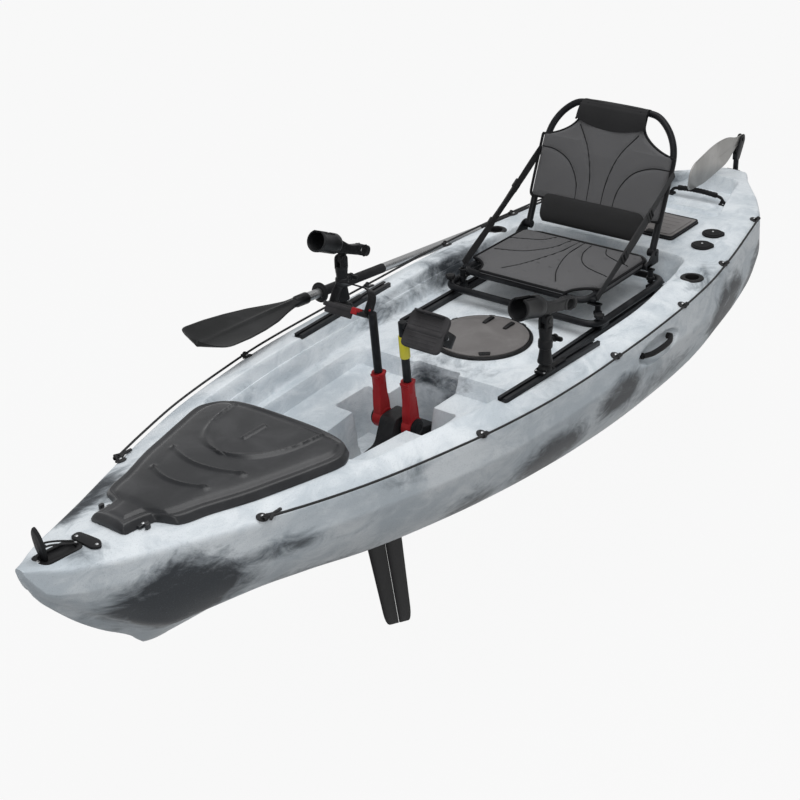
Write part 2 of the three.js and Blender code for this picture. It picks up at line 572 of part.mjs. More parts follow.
// The front hatch cover is a domed shell that narrows to a neck at the bow
function frontCover() {
  const under = (x, y) => deckHeight(x, y) + cover.clearance;
  const columns = 8;
  const skin = (lift, trim) => coverPlanShares.map(([share, width]) => {
    const x = mix(cover.aft + trim, cover.fore - trim, share);
    const half = coverHalf * width - trim;
    const edge = under(x, 0) - cover.clearance + gap * 4;
    return Array.from({ length: columns + 1 }, (_, j) => {
      const across = -1 + (2 * j) / columns;
      const dome = Math.sqrt(Math.max(0, 1 - Math.abs(across) ** 3));
      return new THREE.Vector3(x, half * across, edge + lift + (cover.rim + cover.crown * Math.min(1, width + 0.2)) * dome);
    });
  });
  const rings = skin(cover.thickness - cover.rim / 2, 0).map((top, i) => {
    const bottom = skin(-cover.rim / 2, 0)[i].map((p) => new THREE.Vector3(p.x, p.y, Math.max(p.z, under(p.x, p.y))));
    return [...top, ...bottom.reverse()];
  });
  const ribs = coverRibs.map(([share, width]) => {
    const x = mix(cover.aft, cover.fore, share);
    const reach = coverHalf * width;
    const z = deckHeight(x, 0) + cover.thickness + cover.rim / 2 + cover.crown;
    return pipe([[x - 8, -reach, z - 9], [x, 0, z - 2], [x - 8, reach, z - 9]], cover.rib, 5, 4);
  });
  piece('front_hatch_cover', plastic(colours.graphite, 0.4), joined([loft(rings), ...ribs]));
}

function holdersInDeck() {
  for (const [side, name] of [[1, 'port'], [-1, 'starboard']]) {
    const { tube, bore, depth, flange, thickness, sides } = flushHolder;
    const cup = turned([[0, -depth], [tube, -depth], [tube, 0], [flange, 0], [flange, thickness / 2], [flange - 4, thickness],
      [bore, thickness], [bore, 3 - depth], [0, 3 - depth]], sides);
    piece(`flush_rod_holder_${name}`, plastic(colours.black), cup)
      .position.set(flushHolder.x, side * flushHolder.y, flushSeat + gap);
    capPlaces.forEach(([x, y], i) => {
      const plate = joined([slab(capOutline(0), 0, cap.thickness).rotateZ(cap.turn * degree),
        rod(cap.plug, -cap.plugDepth, 1, cap.sides), turned([[0, 0], [cap.radius - 6, 0], [cap.radius - 8, cap.thickness + 3],
          [0, cap.thickness + 4]], cap.sides)]);
      const place = i === 0 ? 'fore' : 'aft';
      piece(`rod_holder_cap_${name}_${place}`, plastic(colours.graphite), surface(plate).scale(1, side, 1))
        .position.set(x, side * y, capSeats[i] + gap);
    });
  }
}

function drainPlug() {
  const shank = rodAlongX(drainHole.radius - gap, sternX - 1, sternX + drainHole.depth, drainHole.sides);
  const knob = rodAlongX(plug.head, sternX - gap - plug.headHeight, sternX - gap, plug.sides);
  piece('drain_plug', plastic(colours.black), joined([shank, knob])).position.set(0, drainHole.x, drainHole.z);
}

function handles() {
  const { x, half, rise, radius, arm, foot } = sternHandle;
  const pivot = tankWell.floor + gap + foot;
  const grip = pipe([[x, -half * 0.72, pivot + rise], [x, 0, pivot + rise * 1.2], [x, half * 0.72, pivot + rise]], radius, 6, 5);
  const arms = [1, -1].map((side) => pipe([[x, side * half, pivot], [x, side * half * 0.9, pivot + rise * 0.7],
    [x, side * half * 0.66, pivot + rise]], arm, 5, 3));
  const feet = [1, -1].map((side) => rodAcross(foot, half - foot, half + foot, 8).scale(1, side, 1).translate(x, 0, pivot));
  piece('stern_handle', plastic(colours.black), joined([grip, ...arms, ...feet]));
  for (const [side, name] of [[1, 'port'], [-1, 'starboard']]) {
    const y = sectionAt(handleScoop.x).chine - sideHandle.inset;
    const bar = pipe([[-sideHandle.half, 0, 0], [-sideHandle.half * 0.6, sideHandle.bow, 0], [0, sideHandle.bow * 1.4, 0],
      [sideHandle.half * 0.6, sideHandle.bow, 0], [sideHandle.half, 0, 0]], sideHandle.radius, 6, 8);
    const shank = [1, -1].map((end) => rodAcross(sideHandle.foot, -sideFootDepth(y, end), 0, 8)
      .translate(end * sideHandle.half, 0, 0));
    piece(`side_handle_${name}`, plastic(colours.black), surface(joined([bar, ...shank])).scale(1, side, 1))
      .position.set(handleScoop.x, side * y, handleScoop.z);
  }
  const swing = new THREE.Group();
  swing.position.set(toggle.x, 0, toggle.z);
  swing.rotation.y = toggle.lean * degree;
  group.add(swing);
  const { length, width, thickness } = toggle;
  const leaf = frontSlab(outline([[0, -length / 2, 8], [width / 2, -length / 6, 20], [width / 2, length / 6, 20],
    [0, length / 2, 8], [-width / 2, length / 6, 20], [-width / 2, -length / 6, 20]]), -thickness / 2, thickness / 2);
  const inSwing = new THREE.Vector3(toggle.anchor - toggle.x, 0, deckHeight(toggle.anchor, 0) - toggle.z)
    .applyAxisAngle(new THREE.Vector3(0, 1, 0), -toggle.lean * degree);
  const cords = [1, -1].map((side) => pipe([[0, side * toggle.spread, 0],
    [inSwing.x * 0.5, side * toggle.spread * 1.4, inSwing.z * 0.55],
    [inSwing.x, side * toggle.spread, inSwing.z + toggle.cordRadius]], toggle.cordRadius, 5, 5));
  piece('bow_toggle', plastic(colours.black), joined([leaf, ...cords]), swing);
}

// How far a side handle's foot goes in before it meets the floor of its scoop
function sideFootDepth(y, end) {
  const along = Math.abs(end) * sideHandle.half / handleScoop.halfLength;
  const floor = sectionAt(handleScoop.x).chine - handleScoop.depth * Math.sqrt(1 - along ** 2);
  return y - floor - sideHandle.foot / 2;
}

function drive() {
  const s = spine;
  const side = outline([
    [s.aft, well.floor + gap], [s.aft, s.foot, 10], [s.hipAft, s.hip, 16], [s.headAft, s.head, 14],
    [s.headFore, s.head, 14], [s.hipFore, s.hip, 16], [s.fore, s.foot, 10], [s.fore, legs.floor, 5],
    [legs.fore, legs.floor, 3], [legs.fore, legs.archTop, 8], [legs.aft, legs.archTop, 8], [legs.aft, legs.floor, 3],
    [s.aft + s.half, legs.floor, 12],
  ]);
  const body = sideSlab(side, -s.half, s.half);
  const [heel, toe] = [s.aft - spineFoot.behind, s.fore + spineFoot.ahead];
  const feet = [[heel, heel + spineFoot.aftLength], [toe - spineFoot.foreLength, toe]].map(([from, to]) =>
    slab(box(from, to, -spineFoot.half, spineFoot.half, 12), well.floor + gap, well.floor + gap + spineFoot.thickness));
  const hubSpan = crankInner - gap;
  const boss = rodAcross(s.boss, -hubSpan, hubSpan, axle.sides).translate(axle.x, 0, axle.z);
  const bore = rodAcross(axle.radius + gap, -hubSpan - 1, hubSpan + 1, axle.sides).translate(axle.x, 0, axle.z);
  const shaftBore = rodAlongX(finShaft.radius + gap, s.aft - 1, s.fore + 1, finShaft.sides).translate(0, 0, finShaft.z);
  const drums = [s.headAft + 26, s.headFore - 26].map((x) => rodAcross(13, -s.half - 1, s.half + 1, 8).translate(x, 0, s.hip));
  piece('drive_spine', plastic(colours.black, 0.45), carved(joined([body, ...feet, boss]), [bore, shaftBore, ...drums]));
  const capIn = crankInner + crank.hubWidth + gap;
  const shaft = rodAcross(axle.radius, -capIn - 1, capIn + 1, axle.sides);
  const caps = [1, -1].map((end) => rodAcross(axle.capRadius, capIn, capIn + axle.capWidth, axle.sides).scale(1, end, 1));
  piece('crank_axle', metal(colours.black), joined([shaft, ...caps])).position.set(axle.x, 0, axle.z);
  piece('fin_shaft', metal(colours.steel), rodAlongX(finShaft.radius, spine.aft + s.half, s.fore, finShaft.sides))
    .position.set(0, 0, finShaft.z);
}

const crankInner = spine.half + 8;
const crankMiddle = crankInner + crank.hubWidth / 2;

function cranks() {
  const c = crank;
  for (const [side, name] of [[1, 'port'], [-1, 'starboard']]) {
    const arm = new THREE.Group();
    arm.position.set(axle.x, 0, axle.z);
    arm.rotation.y = c.lean * degree;
    group.add(arm);
    const half = c.armDepth / 2;
    const hub = rodAcross(c.hubRadius, crankInner, crankInner + c.hubWidth, axle.sides);
    const web = sideSlab(outline([[-c.armFoot / 2, 0], [c.armFoot / 2, 0], [c.armFoot / 2, c.hubRadius + 16, 12],
      [c.armTop / 2, c.armHeight * 0.55, 20], [c.armTop / 2, c.armHeight - 14], [c.armTop / 2 + c.collar, c.armHeight - 10],
      [c.armTop / 2 + c.collar, c.armHeight], [-c.armTop / 2 - c.collar, c.armHeight],
      [-c.armTop / 2 - c.collar, c.armHeight - 10], [-c.armTop / 2, c.armHeight - 14],
      [-c.armTop / 2, c.armHeight * 0.55, 20], [-c.armFoot / 2, c.hubRadius + 16, 12]]), crankMiddle - half, crankMiddle + half);
    const bore = rodAcross(axle.radius + c.running, 0, 4 * c.hubWidth, axle.sides);
    const socket = rod(c.tubeRadius + gap, c.tubeStart - gap, c.armHeight + 1, 12).translate(0, crankMiddle, 0);
    piece(`crank_bracket_${name}`, plastic(colours.red, 0.4), surface(carved(joined([hub, web]), [bore, socket]))
      .scale(1, side, 1), arm);
    const tube = rod(c.tubeRadius, c.tubeStart, c.length + 10, 12).translate(0, crankMiddle, 0);
    const spindle = rodAcross(c.spindle, crankMiddle, pedalOuter + 5, 10).translate(0, 0, c.length);
    const stop = rodAcross(c.spindle + 5, crankMiddle + c.tubeRadius - 2, pedalInner - gap, 10).translate(0, 0, c.length);
    piece(`crank_tube_${name}`, metal(colours.black), surface(joined([tube, spindle, stop])).scale(1, side, 1), arm);
    if (side > 0) {
      const sleeve = turned([[c.tubeRadius + gap, c.armHeight + 70], [c.tubeRadius + 2.5, c.armHeight + 70],
        [c.tubeRadius + 2.5, c.length - 30], [c.tubeRadius + gap, c.length - 30], [c.tubeRadius + gap, c.armHeight + 70]], 12);
      piece('height_sleeve_port', plastic(colours.yellow), sleeve, arm).position.set(0, crankMiddle, 0);
    }
    const foot = new THREE.Group();
    foot.position.set(0, side * (pedalInner + pedal.width / 2), c.length);
    foot.rotation.y = (pedalTilt[name] - c.lean) * degree;
    arm.add(foot);
    pedalParts(foot, name);
  }
}

const pedalInner = crankMiddle + crank.tubeRadius + pedal.sideGap;
const pedalOuter = pedalInner + pedal.width;

function pedalParts(foot, name) {
  const { length, width, thickness, bow } = pedal;
  const plate = slab(outline([[-length / 2, -width / 2, 14], [length / 2, -width / 2, 14],
    [length / 2 + bow, 0], [length / 2, width / 2, 14], [-length / 2, width / 2, 14]]), -thickness / 2, thickness / 2);
  const boss = rodAcross(crank.spindle + 3, strap.thickness + 2 - width / 2, width / 2 - strap.thickness - 2, 12);
  const bore = rodAcross(crank.spindle + crank.running, -width, width, 12);
  const slots = [-1, 1].map((end) => slab(box(end * length / 3.4 - 5, end * length / 3.4 + 5, -width / 3.4, width / 3.4, 4),
    -thickness, thickness));
  piece(`pedal_pad_${name}`, plastic(colours.black, 0.7), carved(joined([plate, boss]), [bore, ...slots]), foot);
  const outer = outline([[-width / 2, 0], [width / 2, 0], [width / 2, strap.rise, strap.corner],
    [-width / 2, strap.rise, strap.corner]]);
  const t = strap.thickness;
  const inner = outline([[t - width / 2, -1], [width / 2 - t, -1], [width / 2 - t, strap.rise - t, strap.corner],
    [t - width / 2, strap.rise - t, strap.corner]]);
  const band = carved(frontSlab(outer, -strap.width / 2, strap.width / 2),
    [frontSlab(inner, -strap.width, strap.width)]);
  piece(`pedal_strap_${name}`, plastic(colours.black, 0.8), band, foot).position.set(0, 0, thickness / 2 + gap);
}

// Two fins hang from one shaft under the keel, one behind the other, each stiff at its leading edge
function fins() {
  const { runGap, root, tipForeZ, tipAftZ } = fin;
  const [rootFore, rootAft] = [legs.fore - fin.endGap, legs.aft + fin.endGap];
  const [tipFore, tipAft] = [rootFore - fin.tipForeBack, rootAft - fin.tipAftBack];
  const split = (rootFore + rootAft) / 2;
  const cutShare = (rootFore - split) / (rootFore - rootAft);
  const tipSplit = mix(tipFore, tipAft, cutShare);
  const tipSplitZ = mix(tipForeZ, tipAftZ, cutShare);
  const blades = [
    ['fin_front', rootFore, split + runGap / 2, tipFore, tipSplit + runGap / 2, tipForeZ, tipSplitZ],
    ['fin_rear', split - runGap / 2, rootAft, tipSplit - runGap / 2, tipAft, tipSplitZ, tipAftZ],
  ];
  for (const [name, fore, aft, foreTip, aftTip, foreZ, aftZ] of blades) {
    const rings = Array.from({ length: fin.rings + 1 }, (_, i) => {
      const down = i / fin.rings;
      const nose = new THREE.Vector3(mix(fore, foreTip, down), 0, mix(root, foreZ, down));
      const tail = new THREE.Vector3(mix(aft, aftTip, down), 0, mix(root, aftZ, down));
      const thick = mix(1, 0.55, down);
      return [[0, 0.18], [0.06, 0.72], [0.25, 1], [0.6, 0.62], [0.94, 0.3], [1, 0.12],
        [0.94, -0.3], [0.6, -0.62], [0.25, -1], [0.06, -0.72]].map(([along, across]) => {
        const p = nose.clone().lerp(tail, along);
        p.y = across * thick * mix(fin.noseThickness, fin.tailThickness * 2, along) / 2;
        return p;
      });
    });
    const hub = carved(rodAlongX(fin.hub, aft, fore, 12).translate(0, 0, finShaft.z),
      [rodAlongX(finShaft.radius + crank.running, aft - 1, fore + 1, finShaft.sides).translate(0, 0, finShaft.z)]);
    const neck = slab(box(fore - 16, fore - 2, -fin.noseThickness / 2.4, fin.noseThickness / 2.4), root - 3,
      finShaft.z - finShaft.radius - 2);
    const tail = slab(box(aft + 4, aft + 14, -fin.noseThickness / 4, fin.noseThickness / 4), root - 3,
      finShaft.z - finShaft.radius - 2);
    piece(name, plastic(colours.black, 0.5), joined([loft(rings), neck, tail, hub]));
  }
}

// A bent tube that closes on itself round a rectangle with rounded corners
function hoop(x0, x1, half, z, corner, radius) {
  const corners = [[x1 - corner, half - corner], [x0 + corner, half - corner], [x0 + corner, corner - half],
    [x1 - corner, corner - half]];
  const bends = 4;
  const sides = 8;
  const rings = corners.flatMap(([x, y], quarter) => Array.from({ length: bends }, (_, k) => {
    const heading = (quarter + k / (bends - 1)) * quarterTurn;
    const out = new THREE.Vector3(Math.cos(heading), Math.sin(heading), 0);
    const at = new THREE.Vector3(x, y, z).addScaledVector(out, corner);
    return Array.from({ length: sides }, (__, j) => {
      const turn = (j / sides) * 4 * quarterTurn;
      const rise = new THREE.Vector3(0, 0, radius * Math.sin(turn));
      return at.clone().addScaledVector(out, radius * Math.cos(turn)).add(rise);
    });
  }));
  const steps = rings.length;
  const flat = rings.flat().flatMap((p) => [p.x, p.y, p.z]);
  const faces = [];
  for (let i = 0; i < steps; i++) {
    for (let j = 0; j < sides; j++) {
      const [a, b] = [i * sides + j, i * sides + ((j + 1) % sides)];
      const [c, d] = [((i + 1) % steps) * sides + j, ((i + 1) % steps) * sides + ((j + 1) % sides)];
      faces.push(a, b, d, a, d, c);
    }
  }
  const geometry = new THREE.BufferGeometry();
  geometry.setAttribute('position', new THREE.Float32BufferAttribute(flat, 3));
  geometry.setIndex(faces);
  return geometry;
}

const strapInner = Math.max(back.half, back.footHalf) + seat.tube + 4 * gap;

function seatParts() {
  const { tube, frameFore, frameAft, frameHalf, frameZ, lowerFore, lowerAft, lowerHalf, lowerZ, corner } = seat;
  const trackTop = cockpit.floor + gap + seatTrack.height;
  const postY = (frameHalf + lowerHalf) / 2;
  const lower = hoop(lowerAft, lowerFore, lowerHalf, lowerZ, corner, tube);
  const feet = seat.footAt.flatMap((x) => [1, -1].flatMap((side) => [
    slab(box(x - seat.footLength / 2, x + seat.footLength / 2, side * seatTrack.y - seat.footWidth / 2,
      side * seatTrack.y + seat.footWidth / 2), trackTop + gap, lowerZ),
    rod(tube * 0.8, lowerZ, frameZ - tube - gap, 8).translate(x, side * postY, 0),
    slab(box(x - tube, x + tube, frameHalf - tube / 2, postY + tube), frameZ - 1.5 * tube - gap, frameZ - tube - gap)
      .scale(1, side, 1),
  ]));
  piece('seat_lower_frame', metal(colours.black), joined([lower, ...feet]));
  const pivot = [frameAft, frameZ + back.rise];
  const { plate, pin, eyeRadius, eyeHalf } = hinge;
  const cheek = back.footHalf + eyeHalf + gap;
  const lugs = [1, -1].flatMap((side) => [
    sideSlab(outline([[pivot[0] - eyeRadius, frameZ - tube / 2], [pivot[0] + corner * 1.3, frameZ - tube / 2],
      [pivot[0] + corner * 1.3, frameZ + tube / 2, 3], [pivot[0] + eyeRadius, pivot[1] + eyeRadius, eyeRadius],
      [pivot[0] - eyeRadius, pivot[1] + eyeRadius, eyeRadius]]), cheek, cheek + plate),
    rodAcross(pin, back.footHalf - eyeHalf, cheek + plate / 2, 12).translate(pivot[0], 0, pivot[1]),
    slab(box(pivot[0] + corner * 0.5, pivot[0] + corner * 1.2, frameHalf, cheek + plate, 2), frameZ - tube / 2, frameZ + tube / 2),
  ].map((g) => g.scale(1, side, 1)));
  const anchors = [1, -1].map((side) => slab(box(sideStrap.foreX - tube, sideStrap.foreX + tube, frameHalf, strapInner - gap, 3),
    frameZ - tube / 2, frameZ + tube / 2).scale(1, side, 1));
  piece('seat_frame', metal(colours.black),
    joined([hoop(frameAft, frameFore, frameHalf, frameZ, corner, tube), ...lugs, ...anchors]));
  for (const [side, name] of [[1, 'port'], [-1, 'starboard']]) {
    const base = lowerZ + tube + gap;
    const grip = turned([[0, 0], [5, 0], [5, 4], [seatKnob.radius, 6], [seatKnob.radius, seatKnob.height], [0, seatKnob.height + 2]],
      seatKnob.sides);
    piece(`seat_knob_${name}`, plastic(colours.black), grip).position.set(seatKnob.x, side * (lowerHalf - 2), base);
  }
}

// A padded panel with a crown, drawn-in edges and sewn channels; half widths come from a function
function panel(from, to, halfAt, thickness, crown, channels, depth, place, rows = seatPad.steps) {
  const columns = 8;
  const layer = (sign) => Array.from({ length: rows + 1 }, (_, i) => {
    const along = i / rows;
    return Array.from({ length: columns + 1 }, (__, j) => {
      const across = -1 + (2 * j) / columns;
      const edge = Math.min(1, Math.min(along, 1 - along) * 9 + 0.35) * Math.min(1, (1 - Math.abs(across)) * 5 + 0.35);
      const sewn = Math.abs(Math.sin(along * Math.PI * (channels + 1)));
      const swell = (1 - across ** 2) * Math.sin(along * Math.PI);
      const lift = sign > 0 ? thickness * edge - depth * (1 - sewn) * edge + crown * swell : -thickness * 0.4;
      return place(mix(from, to, along), halfAt(mix(from, to, along)) * across, lift);
    });
  });
  const [top, bottom] = [layer(1), layer(-1)];
  const rings = top.map((row, i) => [...row, ...bottom[i].slice().reverse()]);
  return loft(rings);
}

function seatCloth() {
  const { tube, frameFore, frameAft, frameHalf, frameZ, corner } = seat;
  const [x0, x1] = [frameAft + tube * 2.6, frameFore + tube];
  const half = frameHalf + tube;
  const halfAt = (x) => {
    const near = Math.min(x - x0, x1 - x);
    const cut = Math.max(0, corner - near);
    return half - cut * 0.9;
  };
  const above = frameZ + tube + gap + seatPad.thickness * 0.4;
  piece('seat_pad', plastic(colours.grey, 0.9), panel(x0, x1, halfAt, seatPad.thickness, seatPad.crown, seatPad.channels,
    seatPad.channelDepth, (x, y, lift) => new THREE.Vector3(x, y, above + lift)));
  const rest = new THREE.Group();
  rest.position.set(frameAft, 0, frameZ + back.rise);
  rest.rotation.y = back.lean * degree;
  group.add(rest);
  const bow = [1, -1].map((side) => [
    [0, side * back.footHalf, 0], [0, side * back.half, 90], [0, side * back.half, back.shoulder * 0.7],
    [0, side * back.half * 0.99, back.shoulder], [0, side * back.half * 0.88, back.shoulder + 56],
    [0, side * back.half * 0.68, back.archTop - 10], [0, side * back.archHalf, back.archTop],
  ]);
  const route = [...bow[0], [0, 0, back.archTop + 2], ...bow[1].reverse()];
  const feet = [1, -1].map((side) => rodAcross(hinge.eyeRadius - 1, back.footHalf - hinge.eyeHalf, back.footHalf + hinge.eyeHalf, 12)
    .scale(1, side, 1));
  const bores = [1, -1].map((side) => rodAcross(hinge.pin + crank.running, 0, 2 * back.footHalf, 12).scale(1, side, 1));
  piece('back_frame', metal(colours.black), carved(joined([pipe(route, tube, 8, 22), ...feet]), bores), rest);
  const backHalf = (z) => {
    if (z < backPad.shoulder) return backPad.half;
    const up = (z - backPad.shoulder) / (backPad.top - backPad.shoulder);
    return mix(backPad.half, backPad.topHalf, Math.min(1, up * 1.8) ** 0.7);
  };
  const front = tube + gap + backPad.thickness * 0.4;
  const rest_ = panel(backPad.bottom, backPad.top, backHalf, backPad.thickness, backPad.crown, backPad.channels,
    seatPad.channelDepth, (z, y, lift) => new THREE.Vector3(lift + front, y, z));
  const band = panel(lumbar.low, lumbar.high, () => lumbar.half, lumbar.thickness, lumbar.crown, 0, 0,
    (z, y, lift) => new THREE.Vector3(lift + front, y, z), lumbar.steps);
  piece('back_pad', plastic(colours.grey, 0.9), joined([rest_, band]), rest);
  for (const [side, name] of [[1, 'port'], [-1, 'starboard']]) {
    const lean = back.lean * degree;
    const top = [frameAft + Math.sin(lean) * sideStrap.backAt, frameZ + back.rise + Math.cos(lean) * sideStrap.backAt];
    const run = new THREE.Vector2(sideStrap.foreX - top[0], sideStrap.foreZ - top[1]);
    const wide = new THREE.Vector2(-run.y, run.x).setLength(sideStrap.width / 2);
    const [innerTop, innerLow] = [strapInner, strapInner];
    const rings = Array.from({ length: sideStrap.steps + 1 }, (_, i) => {
      const along = i / sideStrap.steps;
      const sag = sideStrap.sag * Math.sin(along * Math.PI);
      const inner = mix(innerTop, innerLow, along);
      const at = [mix(top[0], sideStrap.foreX, along), mix(top[1], sideStrap.foreZ, along) - sag];
      return [[1, 0], [-1, 0], [-1, 1], [1, 1]].map(([up, out]) =>
        new THREE.Vector3(at[0] + up * wide.x, side * (inner + out * sideStrap.thickness), at[1] + up * wide.y));
    });
    piece(`seat_strap_${name}`, plastic(colours.black, 0.9), loft(rings));
  }
}

function rodHolders() {
  for (const [side, name] of [[1, 'port'], [-1, 'starboard']]) {
    const x = holder[name];
    const y = side * mix(rail.aftY, rail.foreY, (x - rail.aft) / (rail.fore - rail.aft));
    const foot = new THREE.Group();
    foot.position.set(x, y, railTop + gap);
    foot.rotation.z = side * railAngle;
    group.add(foot);
    const h = holder;
    const block = slab(box(-h.baseLength / 2, h.baseLength / 2, -h.baseWidth / 2, h.baseWidth / 2, 8), 0, h.baseHeight);
    const neck = rod(h.postRadius - 3, h.baseHeight - 1, h.baseHeight + 6, 12);
    const reach = slab(box(-h.lever, 0, -h.leverWidth / 2, h.leverWidth / 2, 5), 1, h.leverHeight);
    piece(`rod_base_${name}`, plastic(colours.black), joined([block, neck, reach]), foot);
    const postLow = h.baseHeight + 6 + gap;
    const postHigh = postLow + h.postHeight;
    const column = turned([[0, postLow], [h.postRadius + 4, postLow], [h.postRadius + 2, postLow + 14],
      [h.postRadius - 2, postLow + 40], [h.postRadius, postHigh - 20], [h.postRadius, postHigh - 6], [0, postHigh - 6]], 12);
    const knobZ = postLow + h.postHeight * 0.5;
    const stem = rodAlongX(5, -h.knobReach, 0, 8).translate(0, 0, knobZ);
    const wing = frontSlab(outline([[-h.knobRadius * 2, -5, 4], [h.knobRadius * 2, -5, 4], [h.knobRadius * 2, 5, 4],
      [-h.knobRadius * 2, 5, 4]]), -h.knobReach - 7, -h.knobReach);
    const ears = [1, -1].map((e) => sideSlab(outline([[-12, -14], [12, -14], [12, h.forkHeight, 11], [-12, h.forkHeight, 11]]),
      e * h.fork - 3, e * h.fork + 3).translate(0, 0, postHigh));
    const pin = rodAcross(4, -h.fork - 6, h.fork + 6, 8).translate(0, 0, postHigh + h.forkHeight / 2);
    piece(`rod_post_${name}`, plastic(colours.black), joined([column, stem, wing.translate(0, 0, knobZ), ...ears, pin]), foot);
    const pivot = postHigh + h.forkHeight / 2;
    const t = h.fork - 3 - gap;
    const cupX = head.cupX;
    const up = head.rise;
    const cup = carved(rodAlongX(head.cupRadius, cupX, cupX + head.cupLength, 16), [
      rodAlongX(head.cupBore, cupX + 8, cupX + head.cupLength + 1, 16),
      slab(box(cupX + 30, cupX + head.cupLength + 1, -head.cupSlot / 2, head.cupSlot / 2), 0, head.cupRadius + 1)])
      .translate([0, 0, up + 8]);
    const tongue = carved(sideSlab(outline([[-12, -10, 9], [12, -10, 9], [16, up + 4], [-16, up + 4]]), -t, t),
      [rodAcross(4 + crank.running, -t - 1, t + 1, 12)]);
    const ring = carved(sideSlab(outline([[-head.cradle, up - 12, 14], [cupX + 10, up - 16, 6], [cupX + 10, up + 22, 6],
      [-24, up + 12, 20], [-60, up + 20, 18], [-head.cradle, up + 16, 14]]), -head.neck, head.neck),
      [rodAcross(head.cradleHole, -40, 40, 12).translate(-head.cradle + 30, 0, up + 3)]);
    const top = new THREE.Group();
    top.position.set(0, 0, pivot);
    top.rotation.y = -(side > 0 ? head.tiltPort : head.tiltStarboard) * degree;
    foot.add(top);
    piece(`rod_head_${name}`, plastic(colours.black), joined([cup, tongue, ring]), top);
  }
}

function rudderParts() {
  const r = rudder;
  const plateX = sternX - gap;
  const plate = frontSlab(box(-r.plateHalf, r.plateHalf, r.plateLow, r.plateHigh, r.plate), plateX - r.plate, plateX);
  const lugs = [r.lugLow, r.lugHigh].map((z) => slab(outline([[plateX - r.plate / 2, -r.lug], [plateX - r.plate / 2, r.lug],
    [r.pinX - r.lug, r.lug, r.lug], [r.pinX - r.lug, -r.lug, r.lug]]), z - r.plate, z + r.plate));
  const hole = rod(r.pin + gap, r.plateLow, r.plateHigh, 12).translate(r.pinX, 0, 0);
  piece('rudder_bracket', metal(colours.black), carved(joined([plate, ...lugs]), [hole]));
  const inner = r.thickness / 2 + r.cheekGap;
  const outer = inner + r.cheek;
  const aft = r.pivotX - r.pinX;
  const pin = rod(r.pin, r.lugLow - 2 * r.plate, r.lugHigh + 2 * r.plate, 12);
  const barrel = rod(r.barrel, r.lugHigh + r.plate + gap, r.neck, 12);
  const foot = rod(r.barrel, r.lugLow - 3 * r.plate, r.lugLow - r.plate - gap, 12);
  const cheeks = [1, -1].map((e) => sideSlab(outline([[-r.barrel, r.neck - 22, 5], [r.barrel + 3, r.neck - 22, 5],
    [r.barrel + 4, r.neck + 6, 8], [aft + 17, r.pivotZ + 8, 10], [aft + 6, r.pivotZ + 18, 9], [aft - 12, r.pivotZ + 16, 9],
    [aft - 17, r.pivotZ - 6, 9]]), Math.min(e * inner, e * outer), Math.max(e * inner, e * outer)));
  const bridge = slab(box(-r.barrel, r.barrel + 2, -outer, outer, 3), r.neck - 14, r.neck);
  const bolt = rodAcross(r.bolt, -outer - 3, outer + 3, 12).translate(aft, 0, r.pivotZ);
  piece('rudder_yoke', plastic(colours.black, 0.45), joined([pin, barrel, foot, ...cheeks, bridge, bolt]))
    .position.set(r.pinX, 0, 0);
  const swing = new THREE.Group();
  swing.position.set(r.pivotX, 0, r.pivotZ);
  swing.rotation.y = r.bladeLean * degree;
  group.add(swing);
  const [w, long] = [r.width, r.length];
  const shape = outline([[-12, -12, 10], [40, -14, 20], [104, -w * 0.44, 30], [long * 0.72, -w * 0.48, 40], [long, -w * 0.3, 24],
    [long * 0.94, w * 0.42, 40], [long * 0.5, w * 0.56, 60], [96, w * 0.44, 40], [34, 18, 30], [-12, 14, 10]]);
  piece('rudder_blade', metal(colours.bladeGrey, 0.5), carved(sideSlab(shape, -r.thickness / 2, r.thickness / 2),
    [rodAcross(r.bolt + gap, -r.thickness, r.thickness, 12)]), swing);
}

function paddleParts() {
  const p = paddle;
  const from = new THREE.Vector3(p.ringX, p.ringY, p.ringZ);
  const to = new THREE.Vector3(p.endX, p.endY, p.endZ);
  const along = from.clone().sub(to).normalize();
  const lay = new THREE.Group();
  lay.position.copy(from);
  const across = new THREE.Vector3(0, 0, 1).cross(along).normalize();
  lay.quaternion.setFromRotationMatrix(new THREE.Matrix4().makeBasis(along, across, along.clone().cross(across)));
  group.add(lay);
  const scale = along.x;
  const [tip, tail] = [(p.tip - p.ringX) / scale, (p.tail - p.ringX) / scale];
  const throat = tip - p.blade;
  const rear = tail + p.blade;
  const shaft = rodAlongX(p.radius, rear, throat, 12);
  const rings = [0, rear + throat].map((x) => rodAlongX(p.ring, x - p.ringWidth / 2, x + p.ringWidth / 2, 12));
  piece('paddle_shaft', metal(colours.silver), joined([shaft, ...rings]), lay);
  for (const [name, start, end, roll] of [['fore', throat, tip, -4], ['aft', rear, tail, -16]]) {
    const run = (end - start);
    const rows = [[0, 0.19, 1], [0.14, 0.2, 1], [0.28, 0.4, 0.8], [0.45, 0.78, 0.6], [0.65, 1, 0.5], [0.85, 0.98, 0.45],
      [0.96, 0.78, 0.4], [1, 0.5, 0.35]];
    const rings_ = rows.map(([at, wide, thick]) => {
      const half = wide * p.bladeHalf;
      const deep = Math.max(p.bladeThickness / 2, thick * p.radius * (at < 0.3 ? 1.1 : 0.5));
      return [[-1, 0], [-0.6, 0.4], [-0.12, 0.55], [0, 1], [0.12, 0.55], [0.6, 0.4], [1, 0], [0.6, -0.4], [0, -0.6], [-0.6, -0.4]]
        .map(([y, z]) => new THREE.Vector3(start + run * at + Math.sign(run) * gap, y * half, z * deep - 14 * at * at * (1 - y * y)));
    });
    piece(`paddle_blade_${name}`, plastic(colours.black, 0.4), loft(rings_), lay).rotation.x = roll * degree;
  }
}

